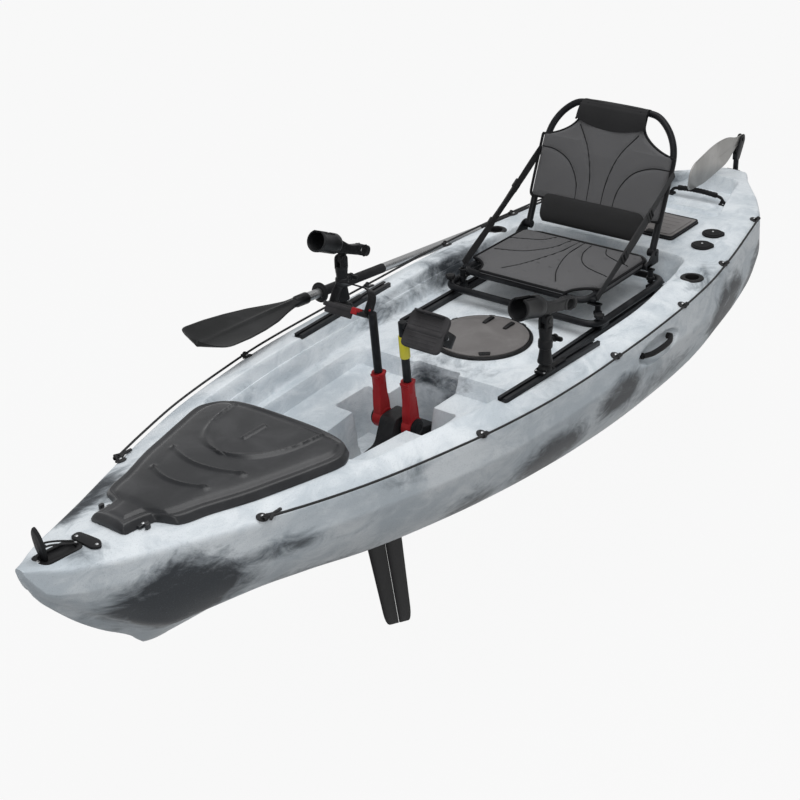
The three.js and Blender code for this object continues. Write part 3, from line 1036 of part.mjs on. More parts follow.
hull();
rails();
deckLines();
centreHatchParts();
rearHatchParts();
frontCover();
holdersInDeck();
drainPlug();
handles();
drive();
cranks();
fins();
seatParts();
seatCloth();
rodHolders();
rudderParts();
paddleParts();

export default group;
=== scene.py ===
# Pedal kayak: a sit-on-top hull with a flapping-fin drive, a framed mesh seat, a stowed rudder and a paddle.
# Metres. X points to the bow, Y to port and Z up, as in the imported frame.
import math

import bmesh
import bpy
import numpy as np
from mathutils import Matrix, Vector


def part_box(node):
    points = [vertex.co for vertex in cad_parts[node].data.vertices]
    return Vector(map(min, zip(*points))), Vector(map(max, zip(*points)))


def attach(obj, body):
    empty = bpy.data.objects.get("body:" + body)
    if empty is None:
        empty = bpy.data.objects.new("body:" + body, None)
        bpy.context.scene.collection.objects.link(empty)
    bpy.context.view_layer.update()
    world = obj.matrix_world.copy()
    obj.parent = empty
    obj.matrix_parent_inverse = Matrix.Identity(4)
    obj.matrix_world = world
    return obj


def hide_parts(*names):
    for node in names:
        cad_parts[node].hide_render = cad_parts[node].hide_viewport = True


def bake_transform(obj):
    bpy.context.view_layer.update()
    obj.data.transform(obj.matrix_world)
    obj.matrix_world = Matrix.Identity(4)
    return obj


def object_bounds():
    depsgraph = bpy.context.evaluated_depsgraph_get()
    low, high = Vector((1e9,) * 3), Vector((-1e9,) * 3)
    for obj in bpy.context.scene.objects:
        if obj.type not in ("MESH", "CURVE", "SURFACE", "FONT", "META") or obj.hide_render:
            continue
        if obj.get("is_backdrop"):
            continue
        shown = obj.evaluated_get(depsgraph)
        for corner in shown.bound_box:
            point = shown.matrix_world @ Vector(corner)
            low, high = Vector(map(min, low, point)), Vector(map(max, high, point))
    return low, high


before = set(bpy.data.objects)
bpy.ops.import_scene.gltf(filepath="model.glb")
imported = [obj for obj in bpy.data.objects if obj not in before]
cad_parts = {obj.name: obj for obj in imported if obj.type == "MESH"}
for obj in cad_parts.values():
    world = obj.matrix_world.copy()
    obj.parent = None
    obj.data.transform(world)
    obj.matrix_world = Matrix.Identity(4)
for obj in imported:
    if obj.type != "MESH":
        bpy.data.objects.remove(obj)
cad_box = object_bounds()
scene = bpy.context.scene
scene.view_settings.view_transform = "Standard"


# The camera stands off the port bow and looks down along the boat. Its place, aim and lens
# were fitted to the photographed hull, rails and seat.
camera_place = Vector((3.165, 2.22931, 2.09743))
camera_heading, camera_dip, camera_roll = -2.478186, -0.480475, -0.030036
focal_share, sensor_width = 1.97249, 36.0

aim = Vector((math.cos(camera_dip) * math.cos(camera_heading),
    math.cos(camera_dip) * math.sin(camera_heading), math.sin(camera_dip)))
level = aim.cross(Vector((0, 0, 1))).normalized()
upright = level.cross(aim)
right = math.cos(camera_roll) * level + math.sin(camera_roll) * upright
top = math.cos(camera_roll) * upright - math.sin(camera_roll) * level
camera_data = bpy.data.cameras.new("camera")
camera_data.sensor_width = sensor_width
camera_data.lens = sensor_width * focal_share
camera_data.clip_end = 60
camera = bpy.data.objects.new("camera", camera_data)
camera.matrix_world = Matrix.Translation(camera_place) @ Matrix((right, top, -aim)).transposed().to_4x4()
scene.collection.objects.link(camera)
scene.camera = camera


class Wire:
    """A value, colour or vector on its way from one shader node to the next."""

    def __init__(self, finish, socket):
        self.finish, self.socket = finish, socket

    def worked(self, operation, *others):
        inputs = dict(enumerate((self,) + others))
        return self.finish.node("Math", {"operation": operation}, inputs)

    def __add__(self, other):
        return self.worked("ADD", other)

    def __mul__(self, other):
        return self.worked("MULTIPLY", other)

    def __rsub__(self, other):
        return self.finish.node("Math", {"operation": "SUBTRACT"}, {0: other, 1: self})

    __radd__, __rmul__ = __add__, __mul__

    def upto(self, low, high):
        """Runs smoothly from 0 at the low value to 1 at the high one."""
        return self.finish.node("MapRange", {"interpolation_type": "SMOOTHSTEP"},
            {"Value": self, "From Min": low, "From Max": high}, "Result")


class Finish:
    """One procedural material, built node by node on the piece's own place in the boat."""

    def __init__(self, name):
        self.material = bpy.data.materials.new(name)
        self.material.use_nodes = True
        self.tree = self.material.node_tree
        self.tree.nodes.clear()
        self.place = self.node("TexCoord", {}, {}, "Object")

    def node(self, kind, settings, inputs, output=0):
        """Adds a node: its settings first, then the values or wires of its sockets."""
        made = self.tree.nodes.new("ShaderNode" + kind)
        for key, value in settings.items():
            setattr(made, key, value)
        for key, value in inputs.items():
            if isinstance(value, Wire):
                self.tree.links.new(value.socket, made.inputs[key])
            elif isinstance(value, tuple) and len(value) == 3 and made.inputs[key].type == "RGBA":
                made.inputs[key].default_value = (*value, 1)
            else:
                made.inputs[key].default_value = value
        return Wire(self, made.outputs[output])

    def stretched(self, scale, shift=(0, 0, 0)):
        return self.node("Mapping", {}, {"Vector": self.place, "Scale": scale, "Location": shift}, "Vector")

    def noise(self, scale, detail=2, rough=0.5, warp=0, along=None):
        return self.node("TexNoise", {}, {"Vector": along or self.place, "Scale": scale, "Detail": detail,
            "Roughness": rough, "Distortion": warp}, "Fac")

    def blend(self, share, first, second):
        """Goes from the first colour to the second by the share."""
        made = self.tree.nodes.new("ShaderNodeMix")
        made.data_type = "RGBA"
        for socket, value in zip((made.inputs[0], made.inputs[6], made.inputs[7]), (share, first, second)):
            if isinstance(value, Wire):
                self.tree.links.new(value.socket, socket)
            else:
                socket.default_value = (*value, 1) if isinstance(value, tuple) else value
        return Wire(self, made.outputs[2])

    def near(self, centre, reach):
        """1 at a place on the piece, falling softly to 0 at the reach along each axis."""
        spot = self.stretched(tuple(1 / r for r in reach), tuple(-c / r for c, r in zip(centre, reach)))
        far = self.node("VectorMath", {"operation": "LENGTH"}, {0: spot}, "Value")
        return 1 - far.upto(0.25, 1.0)

    def surface(self, colour, roughness, height=None, depth=0.001, metallic=0.0, **fixed):
        """Closes the material with its colour, roughness and relief; fixed values stay on the shader."""
        inputs = {"Base Color": colour, "Roughness": roughness, "Metallic": metallic}
        if height is not None:
            inputs["Normal"] = self.node("Bump", {}, {"Height": height, "Distance": depth, "Strength": 1.0},
                "Normal")
        for key, value in fixed.items():
            inputs[key.replace("_", " ").title().replace("Ior", "IOR")] = value
        return self.close(self.node("BsdfPrincipled", {}, inputs))

    def close(self, shader):
        out = self.tree.nodes.new("ShaderNodeOutputMaterial")
        self.tree.links.new(shader.socket, out.inputs["Surface"])
        return self.material


# A pale studio: a wide white floor under the fins, soft panels overhead and in front, and an even sky.
floor_half, floor_drop, floor_white = 14.0, 0.012, 0.93
floor_mesh = bpy.data.meshes.new("studio_floor")
floor_level = cad_box[0][2] - floor_drop
floor_corners = ((-1, -1), (1, -1), (1, 1), (-1, 1))
floor_mesh.from_pydata([(x * floor_half, y * floor_half, floor_level) for x, y in floor_corners], [],
    [(0, 1, 2, 3)])
floor = bpy.data.objects.new("studio_floor", floor_mesh)
scene.collection.objects.link(floor)
pale = Finish("pale_floor")
lit = pale.node("BsdfDiffuse", {}, {"Color": (0.22, 0.22, 0.22)})
glow = pale.node("Emission", {}, {"Color": (1.0, 1.0, 1.0), "Strength": 1.0})
path = pale.tree.nodes.new("ShaderNodeLightPath")
seen = Wire(pale, path.outputs["Is Camera Ray"]) + Wire(pale, path.outputs["Is Glossy Ray"])
share = (seen + Wire(pale, path.outputs["Is Transmission Ray"])).worked("MINIMUM", 1.0) * floor_white
floor_mesh.materials.append(pale.close(pale.node("MixShader", {}, {0: share, 1: lit, 2: glow})))
floor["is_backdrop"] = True

world = bpy.data.worlds.new("studio")
world.use_nodes = True
sky = world.node_tree.nodes["Background"]
sky.inputs["Color"].default_value = (1, 1, 1, 1)
sky.inputs["Strength"].default_value = 0.5
plain = world.node_tree.nodes.new("ShaderNodeBackground")
plain.inputs["Color"].default_value = (1, 1, 1, 1)
plain.inputs["Strength"].default_value = 1.0
sight = world.node_tree.nodes.new("ShaderNodeLightPath")
choice = world.node_tree.nodes.new("ShaderNodeMixShader")
world_out = world.node_tree.nodes["World Output"]
world.node_tree.links.new(sight.outputs["Is Camera Ray"], choice.inputs[0])
world.node_tree.links.new(sky.outputs[0], choice.inputs[1])
world.node_tree.links.new(plain.outputs[0], choice.inputs[2])
world.node_tree.links.new(choice.outputs[0], world_out.inputs["Surface"])
scene.world = world

# Place, aim, size and watts of each soft panel
studio_panels = {
    "overhead": ((-0.2, 0.3, 3.6), (0, 0, 0), (4.5, 2.6), 80),
    "bow_side": ((3.8, 1.6, 2.4), (0.6, 0.1, 0.2), (2.2, 1.6), 26),
    "port_side": ((0.4, 4.2, 1.7), (0, 0.2, 0.1), (3.4, 1.5), 5),
}
for panel_name, (panel_place, panel_aim, panel_size, watts) in studio_panels.items():
    panel = bpy.data.lights.new(panel_name, "AREA")
    panel.shape, panel.size, panel.size_y = "RECTANGLE", *panel_size
    panel.energy = watts
    lamp = bpy.data.objects.new(panel_name, panel)
    lamp.location = panel_place
    lamp.rotation_euler = (Vector(panel_aim) - Vector(panel_place)).to_track_quat("-Z", "Y").to_euler()
    scene.collection.objects.link(lamp)


# The hull is one rotomoulded shell of polyethylene, with marbled charcoal smoke in its pale blue-white skin;
# placed patches of it also paint shade on the lower sides and in the hollows.
# Its sections run from bow to stern; the cockpit, drive well, tank well, tubs and pads are sunk in the deck,
# and a slot under the keel and a scoop on each side are drawn into the outer skin.
hull_length, half_beam, hull_depth = 3.12, 0.426, 0.365
keel_flat_half, deck_shoulder = 0.048, 0.056
# Place, gunwale width and height, chine width and height, bilge width and height, keel height, deck rise
section_shares = np.array([
    [0.5, 0.026, 1, 0.03, 0.985, 0.02, 0.965, 0.95, 0.006],
    [0.49, 0.07, 0.984, 0.103, 0.841, 0.061, 0.795, 0.765, 0.012],
    [0.4776, 0.136, 0.959, 0.16, 0.814, 0.094, 0.699, 0.627, 0.016],
    [0.4615, 0.195, 0.945, 0.214, 0.79, 0.134, 0.589, 0.474, 0.02],
    [0.4423, 0.254, 0.926, 0.275, 0.778, 0.188, 0.474, 0.323, 0.024],
    [0.4167, 0.329, 0.907, 0.352, 0.726, 0.263, 0.35, 0.15, 0.028],
    [0.4058, 0.361, 0.899, 0.383, 0.718, 0.289, 0.33, 0.052, 0.03],
    [0.3846, 0.423, 0.888, 0.446, 0.704, 0.338, 0.334, 0.014, 0.034],
    [0.3462, 0.533, 0.87, 0.552, 0.685, 0.427, 0.34, 0.004, 0.042],
    [0.3013, 0.65, 0.851, 0.674, 0.682, 0.521, 0.312, 0, 0.052],
    [0.2532, 0.754, 0.837, 0.77, 0.666, 0.603, 0.252, 0, 0.062],
    [0.1923, 0.847, 0.819, 0.866, 0.633, 0.678, 0.192, 0, 0.068],
    [0.1282, 0.923, 0.8, 0.939, 0.608, 0.737, 0.14, 0, 0.068],
    [0.0641, 0.962, 0.782, 0.979, 0.607, 0.77, 0.088, 0, 0.068],
    [0, 0.977, 0.775, 0.998, 0.605, 0.782, 0.041, 0, 0.066],
    [-0.0641, 0.979, 0.777, 1, 0.57, 0.784, 0.012, 0, 0.063],
    [-0.1282, 0.969, 0.784, 0.993, 0.567, 0.775, 0.004, 0, 0.06],
    [-0.1923, 0.939, 0.795, 0.958, 0.534, 0.751, 0.004, 0, 0.055],
    [-0.2564, 0.869, 0.811, 0.894, 0.529, 0.665, 0.007, 0, 0.047],
    [-0.3141, 0.788, 0.833, 0.81, 0.51, 0.585, 0.012, 0, 0.038],
    [-0.3654, 0.7, 0.846, 0.716, 0.52, 0.5, 0.024, 0.005, 0.033],
    [-0.4103, 0.532, 0.841, 0.55, 0.548, 0.38, 0.06, 0.027, 0.027],
    [-0.4487, 0.345, 0.824, 0.362, 0.565, 0.26, 0.123, 0.071, 0.02],
    [-0.4776, 0.21, 0.8, 0.224, 0.585, 0.15, 0.219, 0.151, 0.014],
    [-0.4936, 0.15, 0.785, 0.162, 0.6, 0.105, 0.329, 0.26, 0.01],
    [-0.5, 0.12, 0.778, 0.132, 0.61, 0.09, 0.384, 0.342, 0.008],
])[::-1]
section_edges = (("gunwale", half_beam), ("gunwale_z", hull_depth), ("chine", half_beam),
    ("chine_z", hull_depth), ("bilge", half_beam), ("bilge_z", hull_depth), ("keel_z", hull_depth),
    ("rise", hull_depth))
crown_share, crown_round, edge_round = 0.22, 0.8, 0.16


def through(places, values, at):
    """A smooth curve through the given points that never overshoots them."""
    x, y, t = (np.asarray(v, float) for v in (places, values, at))
    step = np.diff(x)
    slope = np.diff(y) / step
    tangent = np.zeros(len(x))
    before, after = 2 * step[1:] + step[:-1], step[1:] + 2 * step[:-1]
    rising = slope[:-1] * slope[1:] > 0
    safe = np.where(slope == 0, 1, slope)
    tangent[1:-1] = np.where(rising, (before + after) / (before / safe[:-1] + after / safe[1:]), 0)
    tangent[0], tangent[-1] = slope[0], slope[-1]
    i = np.clip(np.searchsorted(x, t) - 1, 0, len(step) - 1)
    u = np.clip((t - x[i]) / step[i], 0, 1)
    return ((1 + 2 * u) * (1 - u) ** 2 * y[i] + u * (1 - u) ** 2 * step[i] * tangent[i]
        + u * u * (3 - 2 * u) * y[i + 1] + u * u * (u - 1) * step[i] * tangent[i + 1])


def mix(first, second, share):
    return first + (second - first) * share


def eased(value, low, high):
    u = np.clip((value - low) / (high - low), 0, 1)
    return u * u * (3 - 2 * u)


def section(x):
    """The widths and heights of the hull's edges at places along it."""
    places = section_shares[:, 0] * hull_length
    return {edge: through(places, section_shares[:, k + 1], x) * size
        for k, (edge, size) in enumerate(section_edges)}


def bare_deck(x, y):
    """Height of the deck before anything is sunk in it."""
    s = section(x)
    shoulder = np.maximum(s["gunwale"] - deck_shoulder, s["gunwale"] / 2)
    out = np.abs(y)
    slope = (s["gunwale"] - out) / (s["gunwale"] - shoulder)
    crown = 1 + crown_share * np.clip(1 - out / shoulder, 0, 1) ** crown_round
    h = np.clip(0.5 + (crown - slope) / edge_round / 2, 0, 1)
    return s["gunwale_z"] + s["rise"] * (mix(crown, slope, h) - edge_round * h * (1 - h))


def deck_height(x, y=0.0):
    """Height of the bare deck at one place."""
    return float(bare_deck(np.array(x), np.array(y)))


def inside(x, side_gap, fore, aft, corner):
    """How far a place lies inside an outline with straight ends and rounded corners."""
    end_gap = np.minimum(fore - x, x - aft)
    round_gap = corner - np.hypot(np.maximum(corner - side_gap, 0), np.maximum(corner - end_gap, 0))
    least = np.minimum(side_gap, end_gap)
    return np.where(least >= corner, least, round_gap)


# Floors of what is sunk in the deck, then the ends of each hollow from aft to fore and its half width there
cockpit_floor, footwell_floor, well_floor, tank_floor, tub_floor = 0.235, 0.19, 0.06, 0.258, 0.176
hatch_tub_floor, rear_tub_floor = 0.096, 0.13
cockpit_x, cockpit_half = (-0.722, -0.56, -0.28, 0.18, 0.43, 0.785), (0.268, 0.3, 0.326, 0.318, 0.302, 0.252)
footwell_x, footwell_half = (0.152, 0.768), (0.262, 0.222)
well_x, well_half = (0.137, 0.266, 0.402, 0.62), (0.072, 0.072, 0.086, 0.062)
cross_x, cross_half = (0.266, 0.402), 0.148
tank_x, tank_half = (-1.424, -1.035), (0.092, 0.205)
tub_x, tub_half = (0.872, 1.176), (0.176, 0.078)
rear_seat_x, rear_seat_half, rear_margin = (-0.986, -0.808), 0.184, 0.006
rear_tub_x, rear_tub_half = (-0.962, -0.832), 0.16
bow_pocket_x, pocket_half, pocket_deep = (1.41, 1.51), 0.019, 0.027
rib_places, rib_height = (-1.085, -1.147, -1.209, -1.271), 0.008
aft_end, fore_end = -1.56, 1.56
# Lines along the deck that its points gather at, as places and half widths
edge_lines = [
    ([aft_end, -1.424, -0.7, *well_x, fore_end], [0.02, 0.03, 0.07, *well_half, 0.02]),
    ([aft_end, *tank_x, -0.7, 0.402, *tub_x, fore_end],
     [0.034, 0.055, 0.115, cross_half, cross_half, 0.12, 0.05, 0.04]),
    ([aft_end, *tank_x, -0.7, *footwell_x, *tub_x, fore_end],
     [0.06, *tank_half, 0.262, *footwell_half, *tub_half, 0.06]),
    ([aft_end, *tank_x, *cockpit_x, 1.176, fore_end], [0.08, 0.13, 0.235, *cockpit_half, 0.14, 0.08]),
]
edge_steps = [(-0.014, -0.009, -0.005, -0.002, 0.001, 0.005)] * 3 + [
    (-0.03, -0.025, -0.021, -0.017, -0.013, -0.009, -0.005, -0.002, 0.001, 0.004, 0.008)]
fills = [5, 6, 9, 1]
scoop = dict(x=-0.292, z=0.236, along=0.112, high=0.034, depth=0.036)
keel_slot = dict(fore=0.548, aft=0.158, half=0.036, corner=0.014, deep=0.05)
rail_line = np.array([[0.327, 0.326], [-0.085, 0.345]])
rail_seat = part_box("gear_rail_port")[0].z - 0.0003
hatch_x, boss_radius, boss_rise = -0.06, 0.166, 0.006
rear_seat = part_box("rear_hatch_seal")[0].z - 0.0003
flush_at, flush_seat = (-0.628, 0.338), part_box("flush_rod_holder_port")[1].z - 0.0043
cap_places = ((-0.826, 0.265), (-0.922, 0.251))
cap_seats = [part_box(f"rod_holder_cap_port_{end}")[0].z + 0.016 - 0.0003 for end in ("fore", "aft")]
# Place, seat height, bore radius and bore depth of the round sockets behind the seat
sockets = [(flush_at, flush_seat, 0.027, 0.156)] + [(place, seat, 0.024, 0.019)
    for place, seat in zip(cap_places, cap_seats)]


def sunk_deck(x, y):
    """Height of the moulded deck, with every hollow, pad and rib in it."""
    out = np.abs(y)
    z = bare_deck(x, y)
    rear = inside(x, rear_seat_half + rear_margin - out, rear_seat_x[1] + rear_margin,
        rear_seat_x[0] - rear_margin, 0.016)
    z = mix(z, rear_seat, eased(rear, -0.006, 0.006))
    rail_run = rail_line[0] - rail_line[1]
    rail_length = np.hypot(*rail_run)
    ahead, aside = rail_run / rail_length
    middle = rail_line.mean(0)
    along = (x - middle[0]) * ahead + (out - middle[1]) * aside
    across = (out - middle[1]) * ahead - (x - middle[0]) * aside
    land = np.minimum(rail_length / 2 + 0.004 - np.abs(along), 0.016 - np.abs(across))
    z = mix(z, rail_seat, eased(land, -0.006, 0.002))
    for (px, py), seat, _, _ in sockets:
        far = np.hypot(x - px, out - py)
        z = mix(z, seat, 1 - eased(far, 0.038, 0.052))
    within = inside(x, through(cockpit_x, cockpit_half, x) - out, cockpit_x[-1], cockpit_x[0], 0.045)
    ledge = mix(z, cockpit_floor, 0.42)
    z = mix(z, ledge, eased(within, -0.003, 0.009))
    z = mix(z, cockpit_floor, eased(within, 0.014, 0.028))
    from_hatch = np.hypot(x - hatch_x, out)
    boss = boss_rise * (1 - eased(from_hatch, boss_radius - 0.003, boss_radius + 0.007))
    z = np.where(within > 0, z + boss, z)
    foot = inside(x, np.interp(x, footwell_x, footwell_half) - out, *footwell_x[::-1], 0.04)
    z = mix(z, footwell_floor, eased(foot, -0.002, 0.016))
    slot = inside(x, np.interp(x, well_x, well_half) - out, well_x[-1], well_x[0], 0.018)
    cross = inside(x, cross_half - out, *cross_x[::-1], 0.018)
    z = mix(z, well_floor, eased(np.maximum(slot, cross), -0.002, 0.013))
    z = mix(z, hatch_tub_floor, 1 - eased(from_hatch, 0.096, 0.108))
    tank = inside(x, np.interp(x, tank_x, tank_half) - out, *tank_x[::-1], 0.036)
    rib_reach = np.minimum(tank - 0.018, 0.2)
    ribs = sum(1 - eased(np.abs(x - place), 0.006, 0.014) for place in rib_places)
    z = mix(z, tank_floor + rib_height * ribs * eased(rib_reach, 0, 0.012), eased(tank, -0.003, 0.016))
    tub = inside(x, np.interp(x, tub_x, tub_half) - out, *tub_x[::-1], 0.03)
    z = mix(z, tub_floor, eased(tub, -0.002, 0.016))
    z = mix(z, rear_tub_floor, eased(inside(x, rear_tub_half - out, *rear_tub_x[::-1], 0.022), 0, 0.014))
    pocket = inside(x, pocket_half - out, *bow_pocket_x[::-1], 0.018)
    z = np.where(pocket > -0.004, mix(z, bare_deck(x, 0 * y) - pocket_deep, eased(pocket, -0.003, 0.005)), z)
    for (px, py), seat, radius, deep in sockets:
        z = np.where(np.hypot(x - px, out - py) < radius, seat - deep, z)
    return z


last_ring, least_pitch = (-1.5595, 1.5595), 0.0034
# Stretches with round or close forms, and the pitch of the hull's rings there
fine_stretches = ((-0.2, 0.08, 0.007), (-0.66, -0.596, 0.0045), (-0.87, -0.79, 0.005),
    (-0.965, -0.88, 0.005), (-1.29, -1.065, 0.006), (-0.41, -0.174, 0.007), (1.40, 1.52, 0.005))


def stations():
    """Places along the hull, close together wherever something starts or ends across it."""
    ends = [cockpit_x[0], cockpit_x[-1], keel_slot["fore"], *well_x, *footwell_x, *rear_seat_x, *rear_tub_x,
        *tank_x, *tub_x, *bow_pocket_x, *rail_line[:, 0]]
    places = list(np.arange(-1.555, 1.5501, 0.0125))
    for end in ends:
        places += list(end + np.array([-0.03, -0.025, -0.021, -0.017, -0.013, -0.009, -0.005, -0.001, 0.003,
            0.007]))
    for low, high, pitch in fine_stretches:
        places += list(np.arange(low, high, pitch))
    kept = [last_ring[0]]
    for place in np.unique(np.round(places, 5)):
        if place - kept[-1] >= least_pitch:
            kept.append(place)
    return np.array(kept[1:] + [last_ring[1]])


def bent(corners, cuts, runs, turns=4):
    """Runs along straight stretches and rounds each corner between them by a share of its sides."""
    points = []
    last = corners[0]
    for k in range(1, len(corners) - 1):
        back, here, on = corners[k - 1], corners[k], corners[k + 1]
        start, finish = here + (back - here) * cuts[k - 1], here + (on - here) * cuts[k - 1]
        points += [last + (start - last) * (i / runs[k - 1]) for i in range(runs[k - 1])]
        for i in range(turns):
            u = i / turns
            points.append((1 - u) ** 2 * start + 2 * u * (1 - u) * here + u * u * finish)
        last = finish
    points.append(last)
    return points


def hull_rings():
    x = stations()
    s = section(x)
    spread = np.clip((s["bilge"] - 2 * half_beam * 0.153) * 0.3, 2 * half_beam * 0.006, keel_flat_half)
    veed = 0.38 + np.maximum(0, s["bilge_z"] / hull_depth - 0.19) * 1.5
    shoulder = np.maximum(s["gunwale"] - deck_shoulder, s["gunwale"] / 2)

    def corner(y, z):
        return np.stack([y, z], 1)

    keel = corner(spread, s["keel_z"])
    swell = corner(mix(spread, s["bilge"], 0.52), mix(s["keel_z"], s["bilge_z"], veed))
    bilge = corner(s["bilge"], s["bilge_z"])
    flare = corner(mix(s["bilge"], s["chine"], 0.74), mix(s["bilge_z"], s["chine_z"], 0.45))
    chine = corner(s["chine"], s["chine_z"])
    gunwale = corner(s["gunwale"], s["gunwale_z"])
    deck_edge = corner(shoulder, s["gunwale_z"] + s["rise"])
    skin = bent([keel, swell, bilge, flare, chine, gunwale, deck_edge], [0.42, 0.3, 0.42, 0.1, 0.2],
        [3, 2, 2, 4, 18])
    skin = skin[1:]
    flat = [corner(spread * share, s["keel_z"]) for share in (0, 0.3, 0.55, 0.66, 0.71, 0.75, 0.79, 0.84,
        0.92, 1)]
    outer = np.stack(flat + skin, 1)
    edge = outer[:, -1, 0]
    limit = np.minimum(edge - 0.004, shoulder)
    lines = [np.interp(x, *line) for line in edge_lines]
    lines[3] = np.where((x > cockpit_x[0]) & (x < cockpit_x[-1]), through(cockpit_x, cockpit_half, x),
        lines[3])
    fit = np.minimum(1, limit / (lines[3] + 0.012))
    ys = [np.zeros_like(x)]
    for line, steps, fill in zip(lines, edge_steps, fills):
        start = ys[-1]
        first = np.maximum(line + steps[0], start + 0.004)
        ys += [mix(start, first, (i + 1) / (fill + 1)) for i in range(fill)]
        ys += [np.maximum(line + step, first + (step - steps[0]) * 0.6) for step in steps]
    ys = [y * fit for y in ys]
    ys += [mix(ys[-1], edge, (i + 1) / 13) for i in range(12)]
    ys = np.sort(np.stack(ys[::-1], 1), axis=1)[:, ::-1]
    deck = np.stack([ys, sunk_deck(x[:, None] + 0 * ys, ys)], 2)
    port = np.concatenate([outer, deck], 1)
    keel_columns = 20
    slot_gap = keel_slot["half"] - port[:, :keel_columns, 0]
    slot = inside(x[:, None], slot_gap, keel_slot["fore"], keel_slot["aft"], keel_slot["corner"])
    port[:, :keel_columns, 1] = mix(port[:, :keel_columns, 1], keel_slot["deep"], eased(slot, -0.001, 0.004))
    side = port[:, keel_columns:outer.shape[1]]
    far = np.hypot((x[:, None] - scoop["x"]) / scoop["along"], (side[:, :, 1] - scoop["z"]) / scoop["high"])
    side[:, :, 0] -= scoop["depth"] * np.sqrt(np.clip(1 - far ** 2, 0, 1)) * eased(1.02 - far, 0, 0.12)
    starboard = port[:, -2:0:-1] * [-1, 1]
    ring = np.concatenate([port, starboard], 1)
    return np.concatenate([np.broadcast_to(x[:, None, None], ring.shape[:2] + (1,)), ring], 2)


def skinned(name, rings):
    """A mesh over a row of closed rings; each end closes with a smaller ring and a middle point."""
    count = rings.shape[1]
    first, last = rings[0], rings[-1]
    rings = np.concatenate([[mix(first, first.mean(0), 0.06)], rings, [mix(last, last.mean(0), 0.06)]])
    rows, columns = np.meshgrid(np.arange(len(rings) - 1), np.arange(count), indexing="ij")
    here, beside = rows * count + columns, rows * count + (columns + 1) % count
    quads = np.stack([here, beside, beside + count, here + count], 2).reshape(-1, 4)
    places = np.concatenate([rings.reshape(-1, 3), [rings[0].mean(0), rings[-1].mean(0)]])
    low, high, start = len(places) - 2, len(places) - 1, (len(rings) - 1) * count
    faces = quads.tolist()
    faces += [(low, (j + 1) % count, j) for j in range(count)]
    faces += [(high, start + j, start + (j + 1) % count) for j in range(count)]
    mesh = bpy.data.meshes.new(name)
    mesh.from_pydata(places.tolist(), [], faces)
    return mesh


def finished(name, shape, finish, body, stands_for=(), sharp=35):
    """Puts a mesh or form in the scene as a piece of the boat, smooth but for its sharp edges."""
    mesh = shape if isinstance(shape, bpy.types.Mesh) else shape.mesh(name)
    mesh.polygons.foreach_set("use_smooth", [True] * len(mesh.polygons))
    mesh.set_sharp_from_angle(angle=math.radians(sharp))
    mesh.materials.clear()
    mesh.materials.append(finish)
    piece = bpy.data.objects.new(name, mesh)
    scene.collection.objects.link(piece)
    if body:
        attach(piece, body)
    if stands_for:
        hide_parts(*stands_for)
    return piece


shell = Finish("marbled_polyethylene_and_painted_shade")
pale_blue, bright = (0.47, 0.53, 0.58), (0.74, 0.785, 0.82)
charcoal, slate = (0.022, 0.026, 0.032), (0.15, 0.175, 0.2)
swirl = shell.noise(3.4, 8, 0.62, 1.8, shell.stretched((1, 1, 1.7), shift=(0.7, 0.2, 0.3)))
wisps = shell.noise(13, 7, 0.68, 1.6, shell.stretched((0.75, 1, 1.5), shift=(3.1, 0.4, 0.7)))
drift = shell.noise(2.2, 4, 0.55, 1.2, shell.stretched((1, 1, 1.4)))
speckle = shell.noise(360, 3, 0.75)
grain = shell.noise(900, 1, 0.5)
# Where the smoke gathers, and where it paints shade: the patches on the lower sides, in the drive well and
# footwell and on the cockpit's inner walls darken the skin as painted shade as well as smoke. The middle of
# each patch, its reach along each axis and its strength
smoke_and_shade_places = [
    ((1.3, 0.2, 0.185), (0.3, 0.3, 0.165), 1.65), ((1.0, 0.3, 0.07), (0.34, 0.3, 0.12), 1.3),
    ((1.1, 0.24, 0.24), (0.3, 0.1, 0.05), 0.9), ((0.5, 0.4, 0.08), (0.16, 0.2, 0.12), 1.2),
    ((0.2, 0.42, 0.1), (0.26, 0.2, 0.14), 1.5), ((-0.1, 0.42, 0.17), (0.2, 0.16, 0.1), 1.2),
    ((-0.34, 0.4, 0.12), (0.26, 0.16, 0.1), 0.8), ((-0.8, 0.4, 0.15), (0.24, 0.16, 0.16), 1.5),
    ((-1.16, 0.3, 0.15), (0.3, 0.2, 0.14), 1.2), ((0.09, 0.0, 0.2), (0.14, 0.24, 0.07), 1.0),
    ((-0.36, -0.32, 0.27), (0.3, 0.1, 0.08), 1.15), ((-0.02, -0.31, 0.26), (0.2, 0.08, 0.07), 0.8),
    ((0.16, 0.1, 0.12), (0.1, 0.16, 0.1), 1.1), ((1.3, -0.16, 0.33), (0.3, 0.12, 0.07), 1.1),
    ((1.42, 0.05, 0.36), (0.1, 0.08, 0.05), 0.7), ((-1.3, -0.14, 0.3), (0.2, 0.14, 0.08), 0.9),
    ((0.62, -0.4, 0.15), (0.5, 0.2, 0.15), 1.2), ((-0.45, -0.42, 0.12), (0.5, 0.2, 0.14), 1.2),
    ((0.74, 0.36, 0.3), (0.2, 0.07, 0.05), 0.7), ((-0.62, 0.36, 0.3), (0.2, 0.08, 0.05), 0.6),
]
smoke_and_shade = None
for place, reach, weight in smoke_and_shade_places:
    spot = shell.near(place, reach) * weight
    smoke_and_shade = spot if smoke_and_shade is None else smoke_and_shade.worked("MAXIMUM", spot)
marble = swirl * 0.6 + wisps * 0.4
